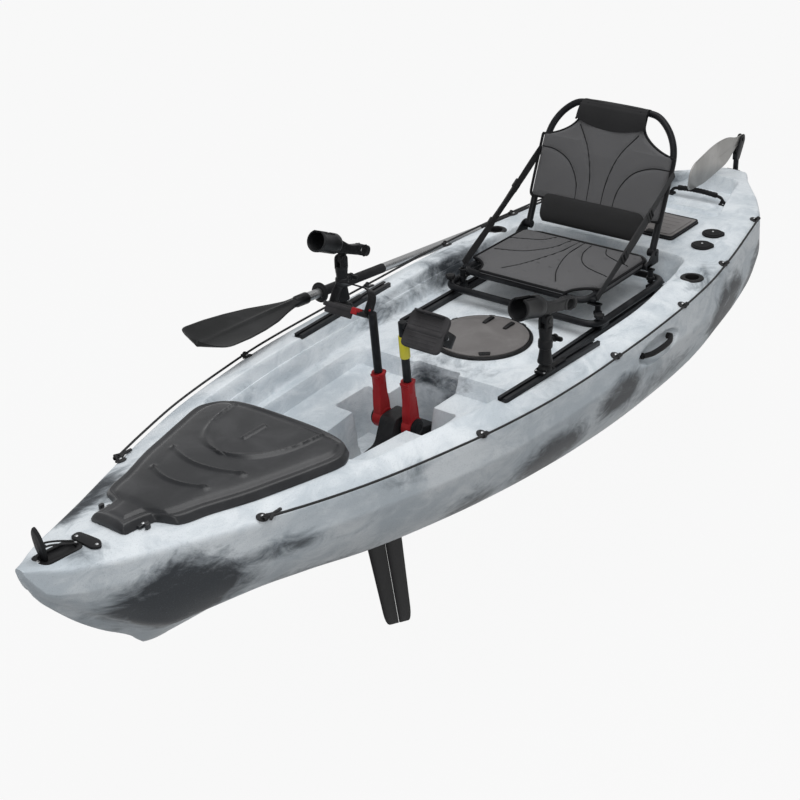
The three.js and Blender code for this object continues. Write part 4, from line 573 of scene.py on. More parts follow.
# veil and cloud grow with the patches above, so where those lie they paint shade as well as smoke.
veil = (marble + smoke_and_shade * 0.3).upto(0.56, 0.78)
cloud = (marble + smoke_and_shade * 0.27).upto(0.66, 0.86)
mist = (drift * 0.6 + wisps * 0.4).upto(0.4, 0.62)
base = shell.blend(mist * 0.85, bright, pale_blue)
base = shell.blend(veil * 0.62, base, slate)
base = shell.blend(cloud * 0.95, base, charcoal)
base = shell.blend(speckle.upto(0.52, 0.72) * 0.3, base, slate)
hull_finish = shell.surface(base, 0.42 + speckle * 0.16, speckle * 0.6 + grain * 0.4, 0.0007,
    specular_ior_level=0.25)
finished("hull_shell", skinned("hull_shell", hull_rings()), hull_finish, "hull", ("hull",),
    50)


# The front hatch cover is one thick graphite moulding, hinged at the bow end. A rolled rim runs round it,
# a horseshoe rib goes round one short rib near the cockpit, and two ribs cross it further forward.
def rounded(corners, closed=True, steps=6):
    """An outline whose corners, given as (x, y, cut), are rounded."""
    points = []
    count = len(corners)
    for i, corner in enumerate(corners):
        here = np.array(corner[:2], float)
        cut = corner[2] if len(corner) > 2 else 0
        if not closed and i in (0, count - 1):
            cut = 0
        back = np.array(corners[i - 1][:2], float) - here
        on = np.array(corners[(i + 1) % count][:2], float) - here
        reach = min(cut, np.hypot(*back) / 2, np.hypot(*on) / 2)
        if reach <= 1e-6:
            points.append(here)
            continue
        start, finish = here + back / np.hypot(*back) * reach, here + on / np.hypot(*on) * reach
        for k in range(steps + 1):
            u = k / steps
            points.append((1 - u) ** 2 * start + 2 * u * (1 - u) * here + u * u * finish)
    apart = [np.hypot(*(p - points[i - 1])) > 1e-5 for i, p in enumerate(points)]
    return np.array([p for i, p in enumerate(points) if apart[i] or (i == 0 and not closed)])


def rectangle(x0, x1, y0, y1, cut=0.0):
    return rounded([(x0, y0, cut), (x1, y0, cut), (x1, y1, cut), (x0, y1, cut)])


def evenly(outline, count):
    """The same closed outline as a given number of points, the first one furthest along its first axis."""
    loop = np.vstack([outline, outline[:1]])
    run = np.concatenate([[0], np.cumsum(np.hypot(*np.diff(loop, axis=0).T))])
    fine = np.linspace(0, run[-1], 720, endpoint=False)
    dense = np.stack([np.interp(fine, run, loop[:, k]) for k in (0, 1)], 1)
    middle = dense.mean(0)
    turn = np.unwrap(np.arctan2(*(dense - middle).T[::-1]))
    if turn[-1] < turn[0]:
        dense, turn = dense[::-1], turn[::-1]
    start = int(np.argmin(np.abs(np.angle(np.exp(1j * turn)))))
    dense = np.roll(dense, -start, 0)
    return dense[(np.arange(count) * 720 / count).astype(int)]


seen_from_side = Matrix(((1, 0, 0, 0), (0, 0, 1, 0), (0, 1, 0, 0), (0, 0, 0, 1)))
seen_from_bow = Matrix(((0, 0, 1, 0), (1, 0, 0, 0), (0, 1, 0, 0), (0, 0, 0, 1)))


def at(x=0.0, y=0.0, z=0.0, turn=0.0, axis="Z"):
    return Matrix.Translation((x, y, z)) @ Matrix.Rotation(math.radians(turn), 4, axis)


def mirrored(side):
    """Leaves the port side as it is and swaps it for starboard where side is -1."""
    return Matrix.Diagonal((1, side, 1, 1))


class Form:
    """Closed shapes gathered into one mesh."""

    def __init__(self):
        self.places, self.faces = [], []

    def add(self, places, faces, place=Matrix()):
        start = len(self.places)
        matrix = np.array(place)
        moved = np.asarray(places, float) @ matrix[:3, :3].T + matrix[:3, 3]
        self.places += moved.tolist()
        self.faces += [tuple(start + i for i in face) for face in faces]
        return self

    def rings(self, rings, place=Matrix(), loop=False, caps=True):
        """Skins a row of rings; caps close the ends, and a loop joins the last ring to the first."""
        rings = np.asarray(rings, float)
        rows, count = rings.shape[:2]
        faces = []
        for i in range(rows if loop else rows - 1):
            here, on = i * count, (i + 1) % rows * count
            faces += [(here + j, here + (j + 1) % count, on + (j + 1) % count, on + j) for j in range(count)]
        if caps and not loop:
            faces += [tuple(range(count - 1, -1, -1)), tuple(range((rows - 1) * count, rows * count))]
        return self.add(rings.reshape(-1, 3), faces, place)

    def slab(self, outline, low, high, place=Matrix(), round_by=0.001, steps=2):
        """An outline raised between two heights, its edges rounded."""
        outline = np.asarray(outline, float)
        back, on = outline - np.roll(outline, 1, 0), np.roll(outline, -1, 0) - outline
        area = np.sum(outline[:, 0] * np.roll(outline[:, 1], -1) - outline[:, 1] * np.roll(outline[:, 0], -1))
        normals = [np.stack([run[:, 1], -run[:, 0]], 1) / np.maximum(np.hypot(*run.T), 1e-9)[:, None]
            for run in (back, on)]
        out = (normals[0] + normals[1]) * np.sign(area)
        out /= np.maximum(np.sum(out * out, 1), 0.7)[:, None] / 2
        round_by = min(round_by, (high - low) / 2.2)
        turns = [math.radians(90 * k / steps) for k in range(steps + 1)]
        levels = [(low + round_by * (1 - math.cos(t)), round_by * (1 - math.sin(t))) for t in turns]
        levels += [(high - round_by * (1 - math.cos(t)), round_by * (1 - math.sin(t))) for t in turns[::-1]]
        rings = [np.column_stack([outline - out * inset, np.full(len(outline), z)]) for z, inset in levels]
        return self.rings(rings, place)

    def frame(self, outer, inner, low, high, place=Matrix(), round_by=0.001, count=96):
        """A slab with a hole through it, both outlines evenly divided."""
        outer, inner = evenly(np.asarray(outer), count), evenly(np.asarray(inner), count)
        across = outer - inner
        away = across / np.maximum(np.hypot(*across.T), 1e-9)[:, None]
        r = min(round_by, (high - low) / 2.2)
        walls = [(outer - away * r, low), (outer, low + r), (outer, high - r), (outer - away * r, high),
            (inner + away * r, high), (inner, high - r), (inner, low + r), (inner + away * r, low)]
        rings = [np.column_stack([line, np.full(count, z)]) for line, z in walls]
        return self.rings(rings, place, loop=True)

    def turned(self, profile, place=Matrix(), sides=48):
        """A profile of (radius, height) turned about its own upright axis."""
        profile = np.asarray(profile, float)
        turn = np.arange(sides) / sides * 2 * math.pi
        places, faces, starts = [], [], []
        for radius, height in profile:
            starts.append(len(places))
            if radius < 1e-6:
                places.append((0, 0, height))
            else:
                places += [(radius * math.cos(t), radius * math.sin(t), height) for t in turn]
        closed = np.allclose(profile[0], profile[-1])
        for i in range(len(profile) - 1):
            a, b = starts[i], starts[i + 1]
            if closed and i == len(profile) - 2:
                b = starts[0]
            for j in range(sides):
                k = (j + 1) % sides
                low = [a] if profile[i][0] < 1e-6 else [a + j, a + k]
                high = [b] if profile[i + 1][0] < 1e-6 else [b + k, b + j]
                if len(low + high) > 2:
                    faces.append(tuple(low + high))
        if closed:
            places = places[:starts[-1]]
        return self.add(places, faces, place)

    def tube(self, route, radius, place=Matrix(), sides=14, closed=False):
        """A round bar along a route; its first end is slightly domed and its last end drawn in."""
        route = [Vector(p) for p in route]
        count = len(route)
        heads = []
        for i in range(count):
            if closed:
                heads.append((route[(i + 1) % count] - route[i - 1]).normalized())
            else:
                heads.append((route[min(i + 1, count - 1)] - route[max(i - 1, 0)]).normalized())
        side = heads[0].orthogonal().normalized()
        sides_at = []
        for head in heads:
            side = (side - head * side.dot(head)).normalized()
            sides_at.append(side)
        radii = [radius] * count if np.isscalar(radius) else list(radius)
        twist = 0
        if closed:
            last = (sides_at[-1] - heads[0] * sides_at[-1].dot(heads[0])).normalized()
            twist = math.atan2(last.cross(sides_at[0]).dot(heads[0]), last.dot(sides_at[0]))
        rings = []
        for i, (middle, head, out) in enumerate(zip(route, heads, sides_at)):
            out = Matrix.Rotation(twist * i / count, 3, head) @ out
            over = head.cross(out)
            rings.append([middle + (out * math.cos(a) + over * math.sin(a)) * radii[i]
                for a in (2 * math.pi * j / sides for j in range(sides))])
        if closed:
            return self.rings(rings, place, loop=True)
        ends = [[route[end] + heads[end] * step * radii[end] * 0.16 + (p - route[end]) * 0.8
            for p in rings[near]] for end, near, step in ((0, 0, -1), (-1, -2, 1))]
        return self.rings([ends[0], *rings, ends[1]], place)

    def rod(self, radius, low, high, place=Matrix(), sides=28, edge=0.0008):
        """A round bar standing on its own axis, with chamfered ends."""
        return self.turned([(0, low), (radius - edge, low), (radius, low + edge), (radius, high - edge),
            (radius - edge, high), (0, high)], place, sides)

    def mesh(self, name):
        mesh = bpy.data.meshes.new(name)
        mesh.from_pydata(self.places, [], self.faces)
        work = bmesh.new()
        work.from_mesh(mesh)
        bmesh.ops.remove_doubles(work, verts=work.verts, dist=2e-6)
        bmesh.ops.recalc_face_normals(work, faces=work.faces)
        work.to_mesh(mesh)
        work.free()
        return mesh


def flowing(points, steps):
    """A smooth route through points, evenly divided."""
    points = np.asarray(points, float)
    padded = np.vstack([2 * points[0] - points[1], points, 2 * points[-1] - points[-2]])
    fine = []
    for i in range(1, len(padded) - 2):
        a, b, c, d = padded[i - 1:i + 3]
        for u in np.linspace(0, 1, 14, endpoint=False):
            fine.append(0.5 * (2 * b + (c - a) * u + (2 * a - 5 * b + 4 * c - d) * u * u
                + (3 * b - a - 3 * c + d) * u ** 3))
    fine = np.array(fine + [points[-1]])
    run = np.concatenate([[0], np.cumsum(np.linalg.norm(np.diff(fine, axis=0), axis=1))])
    marks = np.linspace(0, run[-1], steps + 1)
    return [Vector([np.interp(m, run, fine[:, k]) for k in range(3)]) for m in marks]


def moulded(name, colour, worn, rough, grain=700, depth=0.0004, tint=0.25, **fixed):
    """Moulded plastic or coated metal: a fine grain, softly uneven gloss and a lighter worn shade."""
    fixed = {"specular_ior_level": 0.16, **fixed}
    finish = Finish(name)
    fine = finish.noise(grain, 2, 0.6)
    patches = finish.noise(9, 4, 0.6, 0.6)
    scuffs = finish.noise(60, 3, 0.7, 1.5)
    shade = finish.blend(patches.upto(0.4, 0.75) * tint, colour, worn)
    shade = finish.blend(scuffs.upto(0.62, 0.8) * tint * 0.8, shade, worn)
    return finish.surface(shade, patches * 0.14 + scuffs * 0.08 + (rough - 0.11), fine * 0.6 + scuffs * 0.4,
        depth, **fixed)


graphite = moulded("graphite_cover_plastic", (0.0135, 0.0145, 0.017), (0.05, 0.051, 0.055), 0.34, 520,
    0.0005, 0.6, coat_weight=0.3, coat_roughness=0.2, specular_ior_level=0.3)
cover_low, cover_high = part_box("front_hatch_cover")
cover_aft, cover_fore, cover_half = cover_low.x, cover_high.x, 0.23
cover_plan = [(0, 0.62), (0.012, 0.76), (0.06, 0.93), (0.13, 1), (0.26, 0.93), (0.42, 0.82), (0.52, 0.75),
    (0.7, 0.58), (0.82, 0.48), (0.865, 0.27), (0.93, 0.24), (0.99, 0.23), (1, 0.19)]
cover_lift, cover_thick, rim_width, rim_rise = 0.0017, 0.006, 0.011, 0.004
rib_width, rib_rise, nub_rise, nub_reach, neck_back = 0.0062, 0.0058, 0.0028, 0.0085, 0.052
# Share of the length, half width and forward sweep of each rib across the cover
cross_ribs = ((0.52, 0.105, 0.05), (0.665, 0.078, 0.04))
# Place across, width, height and length of the neck's raised pads
neck_pads = ((0.056, 0.011, 0.008, 0.03), (0.07, 0.008, 0.012, 0.014))


def cover_top():
    """The cover's upper face as grids of places: its dome, rolled rim, horseshoe, ribs and nubs."""
    rows, columns = 270, 150
    share = np.linspace(0, 1, rows)
    x = mix(cover_aft, cover_fore, share)
    plan = np.array(cover_plan)
    half = cover_half * through(plan[:, 0], plan[:, 1], share)
    across = np.sin(np.linspace(-0.5, 0.5, columns) * math.pi)
    y = half[:, None] * across[None, :]
    X = x[:, None] + 0 * y
    edge = np.minimum((half[:, None] - np.abs(y)), np.minimum(X - cover_aft, cover_fore - X))
    wide = (half / cover_half)[:, None]
    dome = np.sqrt(np.clip(1 - np.abs(across[None, :]) ** 3, 0, 1))
    rise = 0.013 * dome + 0.016 * np.minimum(1, wide + 0.2) * dome
    roll = rim_rise * np.exp(-((edge - rim_width) / (rim_width * 0.62)) ** 2)
    groove = -0.003 * np.exp(-((edge - 2.4 * rim_width) / (rim_width * 0.7)) ** 2)
    bend_x = mix(cover_aft, cover_fore, 0.4)
    bow = np.clip((X - cover_aft) / (bend_x - cover_aft), 0, 1.2)
    shoe = 0.135 * np.sqrt(np.clip(1 - bow ** 2.4, 0, 1))
    shoe_gap = np.where(X < bend_x + 0.004, np.abs(np.abs(y) - shoe) * np.clip(1.05 - bow ** 3, 0.34, 1), 1)
    shoe_gap = np.where(X < cover_aft + 0.03, shoe_gap + (cover_aft + 0.03 - X) * 1.4, shoe_gap)
    short_gap = np.hypot(np.maximum(np.abs(X - mix(cover_aft, cover_fore, 0.2)) - 0.035, 0), y)
    gaps, nubs = [shoe_gap, short_gap], 0
    for rib_share, reach, sweep in cross_ribs:
        rib_x = mix(cover_aft, cover_fore, rib_share)
        centre = rib_x - sweep * (y / reach) ** 2 * 0.6
        gaps.append(np.hypot(X - centre, np.maximum(np.abs(y) - reach, 0)))
        nub_gap = np.hypot(X - (rib_x - sweep * 0.6), np.abs(y) - reach)
        nubs = nubs + nub_rise * np.exp(-(nub_gap / nub_reach) ** 2)
    ribs = sum(rib_rise * np.exp(-(gap / rib_width) ** 2 * 1.6) for gap in gaps) + nubs
    z = bare_deck(X, 0 * y) + cover_lift + rise * np.clip(edge / 0.02, 0, 1) ** 0.35 + roll + groove + ribs
    return X, y, z


def cover_form():
    X, y, z = cover_top()
    under = np.maximum(z - cover_thick, np.minimum(bare_deck(X, y) + 0.0009, z - 0.0012))
    form = Form().rings(np.concatenate([np.stack([X, y, z], 2), np.stack([X, y, under], 2)[:, ::-1]], 1))
    x = cover_fore - neck_back
    for side in (1, -1):
        for reach, width, height, length in neck_pads:
            pad = rectangle(-length / 2, length / 2, -width / 2, width / 2, 0.004)
            form.slab(pad, 0, height, at(x, side * reach, deck_height(x, reach) + 0.0012), 0.0015)
    return form


finished("front_cover", cover_form(), graphite, "front_hatch_cover",
    ("front_hatch_cover",), 32)


# Black anodised rails are let into both gunwales, and two tracks screwed to the cockpit floor carry the seat.
# Each is a channel whose lips turn in over a slot.
hands = {"port": 1, "starboard": -1}
anodised = moulded("black_anodised", (0.014, 0.015, 0.017), (0.07, 0.073, 0.08), 0.34, 900, 0.0002, 0.3)
black_moulding = moulded("black_moulded_plastic", (0.011, 0.011, 0.012), (0.045, 0.046, 0.048), 0.44, 620,
    0.0004, 0.4)


def channel(width, height, lip, slot, keep):
    """The section of a channel whose lips turn in over a slot."""
    half, mouth = width / 2, slot / 2
    return rounded([(-half, 0), (half, 0), (half, height), (mouth, height), (mouth, height - lip),
        (half - keep, height - lip), (half - keep, keep), (keep - half, keep), (keep - half, height - lip),
        (-mouth, height - lip), (-mouth, height), (-half, height)])


rail_run = rail_line[0] - rail_line[1]
rail_length, rail_turn = float(np.hypot(*rail_run)), math.degrees(math.atan2(*rail_run[::-1]))
track_fore, track_aft, track_y = -0.02, -0.664, 0.238
for hand, side in hands.items():
    seat_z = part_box("gear_rail_" + hand)[0].z
    lay = at(rail_line[:, 0].mean(), side * rail_line[:, 1].mean(), seat_z, side * rail_turn) @ seen_from_bow
    bar = Form().slab(channel(0.026, 0.012, 0.004, 0.008, 0.003), -rail_length / 2, rail_length / 2, lay,
        0.0006)
    finished("gear_rail_bar_" + hand, bar, anodised, "hull", ("gear_rail_" + hand,), 30)
    lay = at(0, side * track_y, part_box("seat_track_" + hand)[0].z) @ seen_from_bow
    bar = Form().slab(channel(0.03, 0.014, 0.004, 0.009, 0.003), track_aft, track_fore, lay, 0.0006)
    finished("seat_track_bar_" + hand, bar, anodised, "hull", ("seat_track_" + hand,), 30)


# A thin black line runs along each gunwale through six pad eyes. Every eye is a round moulded pad with a
# loop, screwed to the slope of the deck, and the foremost holds the knotted end beside a forked cleat.
line_cord = Finish("black_braided_line")
lay_of_line = line_cord.node("TexWave", {"wave_type": "BANDS", "bands_direction": "DIAGONAL"},
    {"Vector": line_cord.place, "Scale": 160.0, "Distortion": 1.2}, "Fac")
line_cord.surface(line_cord.blend(lay_of_line * 0.5, (0.008, 0.008, 0.009), (0.03, 0.03, 0.032)),
    lay_of_line * 0.2 + 0.6, lay_of_line, 0.0006)
eye_places = [1.08, 0.479, -0.082, -0.456, -0.767, -1.107]
line_radius, line_rise, line_out = 0.003, 0.009, 0.001
eye_heads = {"port": [], "starboard": []}


def on_gunwale(x):
    """Half width, height and deck rise of the gunwale at one place."""
    s = section(np.array([x]))
    return float(s["gunwale"][0]), float(s["gunwale_z"][0]), float(s["rise"][0])


for hand, side in hands.items():
    route = []
    for x in np.linspace(eye_places[0], eye_places[-1], 74):
        y, z, rise = on_gunwale(x)
        route.append((x, side * (y + line_out), z + line_rise))
    form = Form().tube(route, line_radius, sides=10)
    for x in eye_places:
        y, z, rise = on_gunwale(x)
        slope = math.degrees(math.atan2(rise, min(deck_shoulder, y / 2)))
        inboard = y - 0.011
        lie = at(x, side * inboard, deck_height(x, inboard) + 0.001, -side * slope, "X")
        form.turned([(0, -0.0004), (0.0135, -0.0004), (0.014, 0.0006), (0.0125, 0.0028), (0.009, 0.0046),
            (0, 0.0052)], lie, 28)
        climb = [(0.007, inboard + 0.002, 0.006), (0.006, y - 0.002, line_rise + 0.004),
            (0.002, y + line_out, line_rise + 0.006)]
        loop = [(x + along, side * out, z + up) for along, out, up in climb]
        loop += [(x - along, side * out, z + up) for along, out, up in climb[::-1]]
        form.tube(flowing(loop, 14), 0.0024, sides=8)
        form.tube([(x + end, side * (y + line_out), z + line_rise) for end in (-0.009, 0.009)], 0.0048,
            sides=12)
        eye_heads[hand].append((lie @ Vector((0, 0, 0.0052)),
            (lie.to_3x3() @ Vector((0, 0, 1))).normalized()))
    x = eye_places[0] - 0.022
    y, z, rise = on_gunwale(x)
    for turn in (26, -26, 180):
        prong = at(x, side * (y - 0.006), z + 0.009, turn) @ at(0.012, 0, 0)
        form.slab(rectangle(-0.012, 0.013, -0.0035, 0.0035, 0.003), -0.003, 0.003, prong, 0.0014)
    finished("deck_line_cord_" + hand, form, line_cord.material, "hull",
        ("deck_line_" + hand,), 40)


# A round screw-down hatch sits on its boss amidships: a black rim, a grey-brown lid with a shallow crown,
# a grab tab at its fore edge and two black latch bars near its hinge.
lid_plastic = moulded("grey_brown_lid_plastic", (0.15, 0.142, 0.14), (0.27, 0.262, 0.258), 0.42, 300,
    0.0006, 0.4)
soft_rubber = moulded("soft_black_rubber", (0.012, 0.012, 0.013), (0.04, 0.04, 0.042), 0.68, 800, 0.0005, 0.3)
rim_height, rim_outer = 0.007, 0.141
hatch_place = at(hatch_x, 0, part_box("centre_hatch_rim")[0].z)
rim = Form().turned([(0.113, 0), (rim_outer, 0), (rim_outer, 0.003), (rim_outer - 0.002, 0.0052),
    (0.137, rim_height), (0.1335, rim_height), (0.1325, 0.006), (0.1325, 0.0036), (0.113, 0.0035),
    (0.113, 0)], hatch_place, 128)
for turn in range(0, 360, 45):
    ear = hatch_place @ at(turn=turn + 22.5)
    rim.slab(rectangle(0.1365, 0.1412, -0.009, 0.009, 0.002), 0.0004, 0.0068, ear, 0.0008)
finished("centre_hatch_ring", rim, black_moulding, "hull", ("centre_hatch_rim",), 30)

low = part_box("centre_hatch_lid")[0].z
high, crown = low + 0.006, low + 0.01
lid = Form().turned([(0, low), (0.1285, low), (0.1298, low + 0.001), (0.13, high - 0.0016),
    (0.1288, high - 0.0003), (0.126, high + 0.0002), (0.123, high - 0.0004), (0.1205, high - 0.0002),
    (0.117, high + 0.0012), (0.1, high + 0.0022), (0.0655, crown - 0.0011), (0.03, crown - 0.0003),
    (0, crown)], at(hatch_x), 128)
finished("centre_hatch_disc", lid, lid_plastic, "centre_hatch_lid", ("centre_hatch_lid",))
tab = Form().slab(rounded([(0.112, -0.017, 0.005), (0.129, -0.014, 0.002), (0.129, 0.014, 0.002),
    (0.112, 0.017, 0.005)]), high - 0.001, high + 0.003, at(hatch_x, 0, 0, 38), 0.0012)
for shift in (-0.006, 0, 0.006):
    tab.slab(rectangle(0.1155, 0.126, shift - 0.001, shift + 0.001, 0.0008), high + 0.002, high + 0.0036,
        at(hatch_x, 0, 0, 38), 0.0006)
finished("centre_hatch_tab", tab, black_moulding, "centre_hatch_lid", (), 38)
for hand, side in hands.items():
    low_corner, high_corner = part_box("hatch_latch_" + hand)
    length, height = high_corner.x - low_corner.x, high_corner.z - low_corner.z
    outline = rounded([(0, 0), (length, 0), (length, height * 0.5, 0.001), (length * 0.55, height, 0.01),
        (0.004, height, 0.004), (0, height * 0.6, 0.002)])
    bar = Form().slab(outline, -0.006, 0.006, at(low_corner.x, side * 0.034, low_corner.z) @ seen_from_side,
        0.0016, 3)
    pin = at(low_corner.x + 0.004, side * 0.034, low_corner.z + height / 2) @ seen_from_side
    bar.rod(0.0022, -0.0062, 0.0062, pin, 16)
    finished("hatch_latch_bar_" + hand, bar, black_moulding, "hatch_latch_" + hand,
        ("hatch_latch_" + hand,))


# Behind the seat a flat hatch closes the aft tub: a grey-brown moulded lid with ribs across its raised
# middle, on a soft black seal with square corners.
seal_low, seal_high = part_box("rear_hatch_seal")
plate_low, plate_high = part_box("rear_hatch_lid")
aft, fore, half = seal_low.x, seal_high.x, seal_high.y
seal = Form().frame(rectangle(aft, fore, -half, half, 0.014),
    rectangle(aft + 0.009, fore - 0.009, 0.009 - half, half - 0.009, 0.007), seal_low.z, seal_high.z,
    Matrix(), 0.0016, 240)
finished("rear_hatch_gasket", seal, soft_rubber, "hull", ("rear_hatch_seal",), 40)
aft, fore, half = plate_low.x, plate_high.x, plate_high.y
rise = plate_high.z - plate_low.z
plate = Form().slab(rectangle(aft, fore, -half, half, 0.014), plate_low.z, plate_low.z + 0.6 * rise,
    Matrix(), 0.0014, 3)
plate.slab(rectangle(aft + 0.014, fore - 0.014, 0.014 - half, half - 0.014, 0.012),
    plate_low.z + 0.3 * rise, plate_high.z - 0.0008, Matrix(), 0.0022, 3)
for share in (0.2, 0.35, 0.5, 0.65, 0.8):
    x = mix(aft, fore, share)
    plate.slab(rectangle(x - 0.003, x + 0.003, 0.034 - half, half - 0.034, 0.003), plate_low.z + 0.6 * rise,
        plate_high.z, Matrix(), 0.0008)
finished("rear_hatch_plate", plate, lid_plastic, "rear_hatch_lid", ("rear_hatch_lid",))
edge = Form().frame(rectangle(aft - 0.0005, fore + 0.0005, -half - 0.0005, half + 0.0005, 0.0145),
    rectangle(aft + 0.005, fore - 0.005, 0.005 - half, half - 0.005, 0.009), plate_low.z + 0.0012,
    plate_low.z + 0.6 * rise + 0.0008, Matrix(), 0.0008, 240)
for side in (1, -1):
    edge.slab(rounded([(fore - 0.022, -0.014, 0.006), (fore + 0.0003, -0.011, 0.002),
        (fore + 0.0003, 0.011, 0.002), (fore - 0.022, 0.014, 0.006)]), plate_low.z + 0.5 * rise,
        plate_high.z + 0.0005, at(0, side * half * 0.55), 0.0012)
finished("rear_hatch_edge", edge, soft_rubber, "rear_hatch_lid", (), 38)


# Two flush rod holders are let into the gunwales behind the seat, and four caps close round sockets beside
# the rear hatch. Each cap is a moulded plate with a pull tail and a shallow dome, and the drain plug is a
# knurled knob at the stern.
def cap_outline(radius, tail, reach):
    """A round plate that runs out into a tail, as wide at each side as tail says."""
    arc = [(radius * math.cos(math.radians(a)), radius * math.sin(math.radians(a)))
        for a in range(-210, 31, 8)]
    return rounded([(*p, 0) for p in arc] + [(tail, reach * 0.82, 0.006), (tail * 0.5, reach, 0.008),
        (-tail * 0.5, reach, 0.008), (-tail, reach * 0.82, 0.006)])


cap_turn, flange, bore, deep = 26, 0.034, 0.02, 0.15
for hand, side in hands.items():
    place = at(flush_at[0], side * flush_at[1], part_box("flush_rod_holder_" + hand)[1].z - 0.004)
    cup = Form().turned([(0, -deep), (0.0228, -deep), (0.0228, 0), (flange - 0.0006, 0), (flange, 0.001),
        (flange - 0.001, 0.0024), (flange - 0.005, 0.0038), (bore + 0.003, 0.004), (bore + 0.0008, 0.0034),
        (bore, 0.0014), (bore - 0.0006, 0.003 - deep), (0, 0.003 - deep)], place, 56)
    finished("flush_rod_tube_" + hand, cup, black_moulding, "hull",
        ("flush_rod_holder_" + hand,))
    for end, (x, y), seat in zip(("fore", "aft"), cap_places, cap_seats):
        node = f"rod_holder_cap_{hand}_{end}"
        lie = at(x, side * y, seat + 0.0003) @ mirrored(side) @ at(turn=cap_turn)
        form = Form().slab(cap_outline(0.0325, 0.015, 0.035), 0, 0.006, lie, 0.0018, 3)
        form.turned([(0, -0.0155), (0.0205, -0.0155), (0.0216, -0.014), (0.0216, 0.001), (0, 0.001)], lie, 40)
        form.turned([(0, 0.003), (0.0275, 0.003), (0.0268, 0.0068), (0.025, 0.0084), (0.0225, 0.0078),
            (0.021, 0.0076), (0.012, 0.0092), (0, 0.0097)], lie, 48)
        finished(f"socket_cap_{hand}_{end}", form, soft_rubber, node, (node,), 32)
plug_low, plug_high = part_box("drain_plug")
plug_long = plug_high.x - plug_low.x
place = at(plug_low.x, (plug_low.y + plug_high.y) / 2, (plug_low.z + plug_high.z) / 2) @ seen_from_bow
knob = Form().turned([(0, 0), (0.013, 0), (0.0162, 0.0012), (0.0168, 0.0026), (0.0168, 0.005),
    (0.0158, 0.006), (0.0124, 0.0062), (0.0124, plug_long), (0, plug_long)], place, 48)
for turn in range(0, 360, 30):
    knob.rod(0.0016, 0.0012, 0.0056, place @ at(turn=turn) @ at(0.0156), 10, 0.0003)
knob.slab(rectangle(-0.012, 0.012, -0.0018, 0.0018, 0.0008), -0.0006, 0.003, place, 0.0005)
finished("drain_plug_knob", knob, black_moulding, "drain_plug", ("drain_plug",))


# A webbing-and-grip handle spans the tank well, and a moulded bar handle lies in the scoop on each side.
# The bow has a leaf handle on two thin cords that come up from a screwed pad.
grip_rubber = moulded("ribbed_grip_rubber", (0.012, 0.012, 0.013), (0.04, 0.04, 0.042), 0.62, 500, 0.0005,
    0.35)
stern_low, stern_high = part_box("stern_handle")
stern_x, stern_half, pivot = (stern_low.x + stern_high.x) / 2, 0.096, 0.2643
grip_route = [(stern_x, y, pivot + 0.02 + 0.004 * (1 - (y / 0.069) ** 2))
    for y in np.linspace(-0.069, 0.069, 25)]
form = Form().tube(grip_route, [0.0088 - 0.0012 * (i % 2) * (2 < i < 22) for i in range(25)], sides=20)
for side in (1, -1):
    form.tube(flowing([(stern_x, side * stern_half, pivot), (stern_x, side * 0.0864, pivot + 0.014),
        (stern_x, side * 0.066, pivot + 0.02)], 10), 0.005, sides=12)
    form.rod(0.006, side * 0.093 - 0.008, side * 0.093 + 0.008, at(stern_x, 0, pivot) @ seen_from_side, 20)
    form.slab(rectangle(-0.016, 0.016, -0.011, 0.011, 0.008), -0.0055, -0.001,
        at(stern_x, side * 0.094, pivot), 0.001)
finished("stern_carry_handle", form, grip_rubber, "hull", ("stern_handle",), 40)

for hand, side in hands.items():
    low_corner, high_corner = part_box("side_handle_" + hand)
    y0 = float(section(np.array([scoop["x"]]))["chine"][0]) - 0.009
    ends, bow = 0.076, 0.011
    inner = abs(low_corner.y if side < 0 else high_corner.y) - (high_corner.y - low_corner.y)
    route = flowing([(scoop["x"] + x, side * (y0 + y), scoop["z"])
        for x, y in ((-ends, -0.001), (-ends * 0.6, bow), (0, bow * 1.4 - 0.001), (ends * 0.6, bow),
        (ends, -0.001))], 30)
    form = Form().tube(route, [0.0066 + 0.0012 * math.sin(math.pi * i / 30) ** 0.5 for i in range(31)],
        sides=18)
    for end in (1, -1):
        form.rod(0.0088, side * inner, side * (y0 + 0.001),
            at(scoop["x"] + end * ends, 0, scoop["z"]) @ seen_from_side, 24)
    finished("side_carry_handle_" + hand, form, grip_rubber, "hull",
        ("side_handle_" + hand,), 40)

toggle_place = at(1.501, 0, 0.391, 10, "Y")
leaf_outline = rounded([(0, -0.054, 0.006), (0.0105, -0.034, 0.02), (0.015, 0.004, 0.03),
    (0.0115, 0.036, 0.02), (0, 0.054, 0.008), (-0.0115, 0.036, 0.02), (-0.015, 0.004, 0.03),
    (-0.0105, -0.034, 0.02)], steps=8)
form = Form().slab(leaf_outline, -0.0045, 0.0045, toggle_place @ seen_from_bow, 0.0034, 5)
finished("bow_leaf", form, black_moulding, "bow_toggle", ("bow_toggle",), 50)
anchor_x = 1.407
form = Form()
for side in (1, -1):
    form.tube(flowing([toggle_place @ Vector((0.002, side * 0.007, 0)), (1.479, side * 0.0085, 0.386),
        (1.445, side * 0.0098, 0.3715), (anchor_x + 0.004, side * 0.007, deck_height(anchor_x) + 0.0034)],
        24), 0.0022, sides=10)
    form.turned([(0, -0.0035), (0.004, -0.0035), (0.0046, 0), (0.004, 0.0035), (0, 0.0035)],
        toggle_place @ at(-0.0045, side * 0.007, 0) @ seen_from_bow, 14)
finished("bow_cords", form, line_cord.material, "bow_toggle")

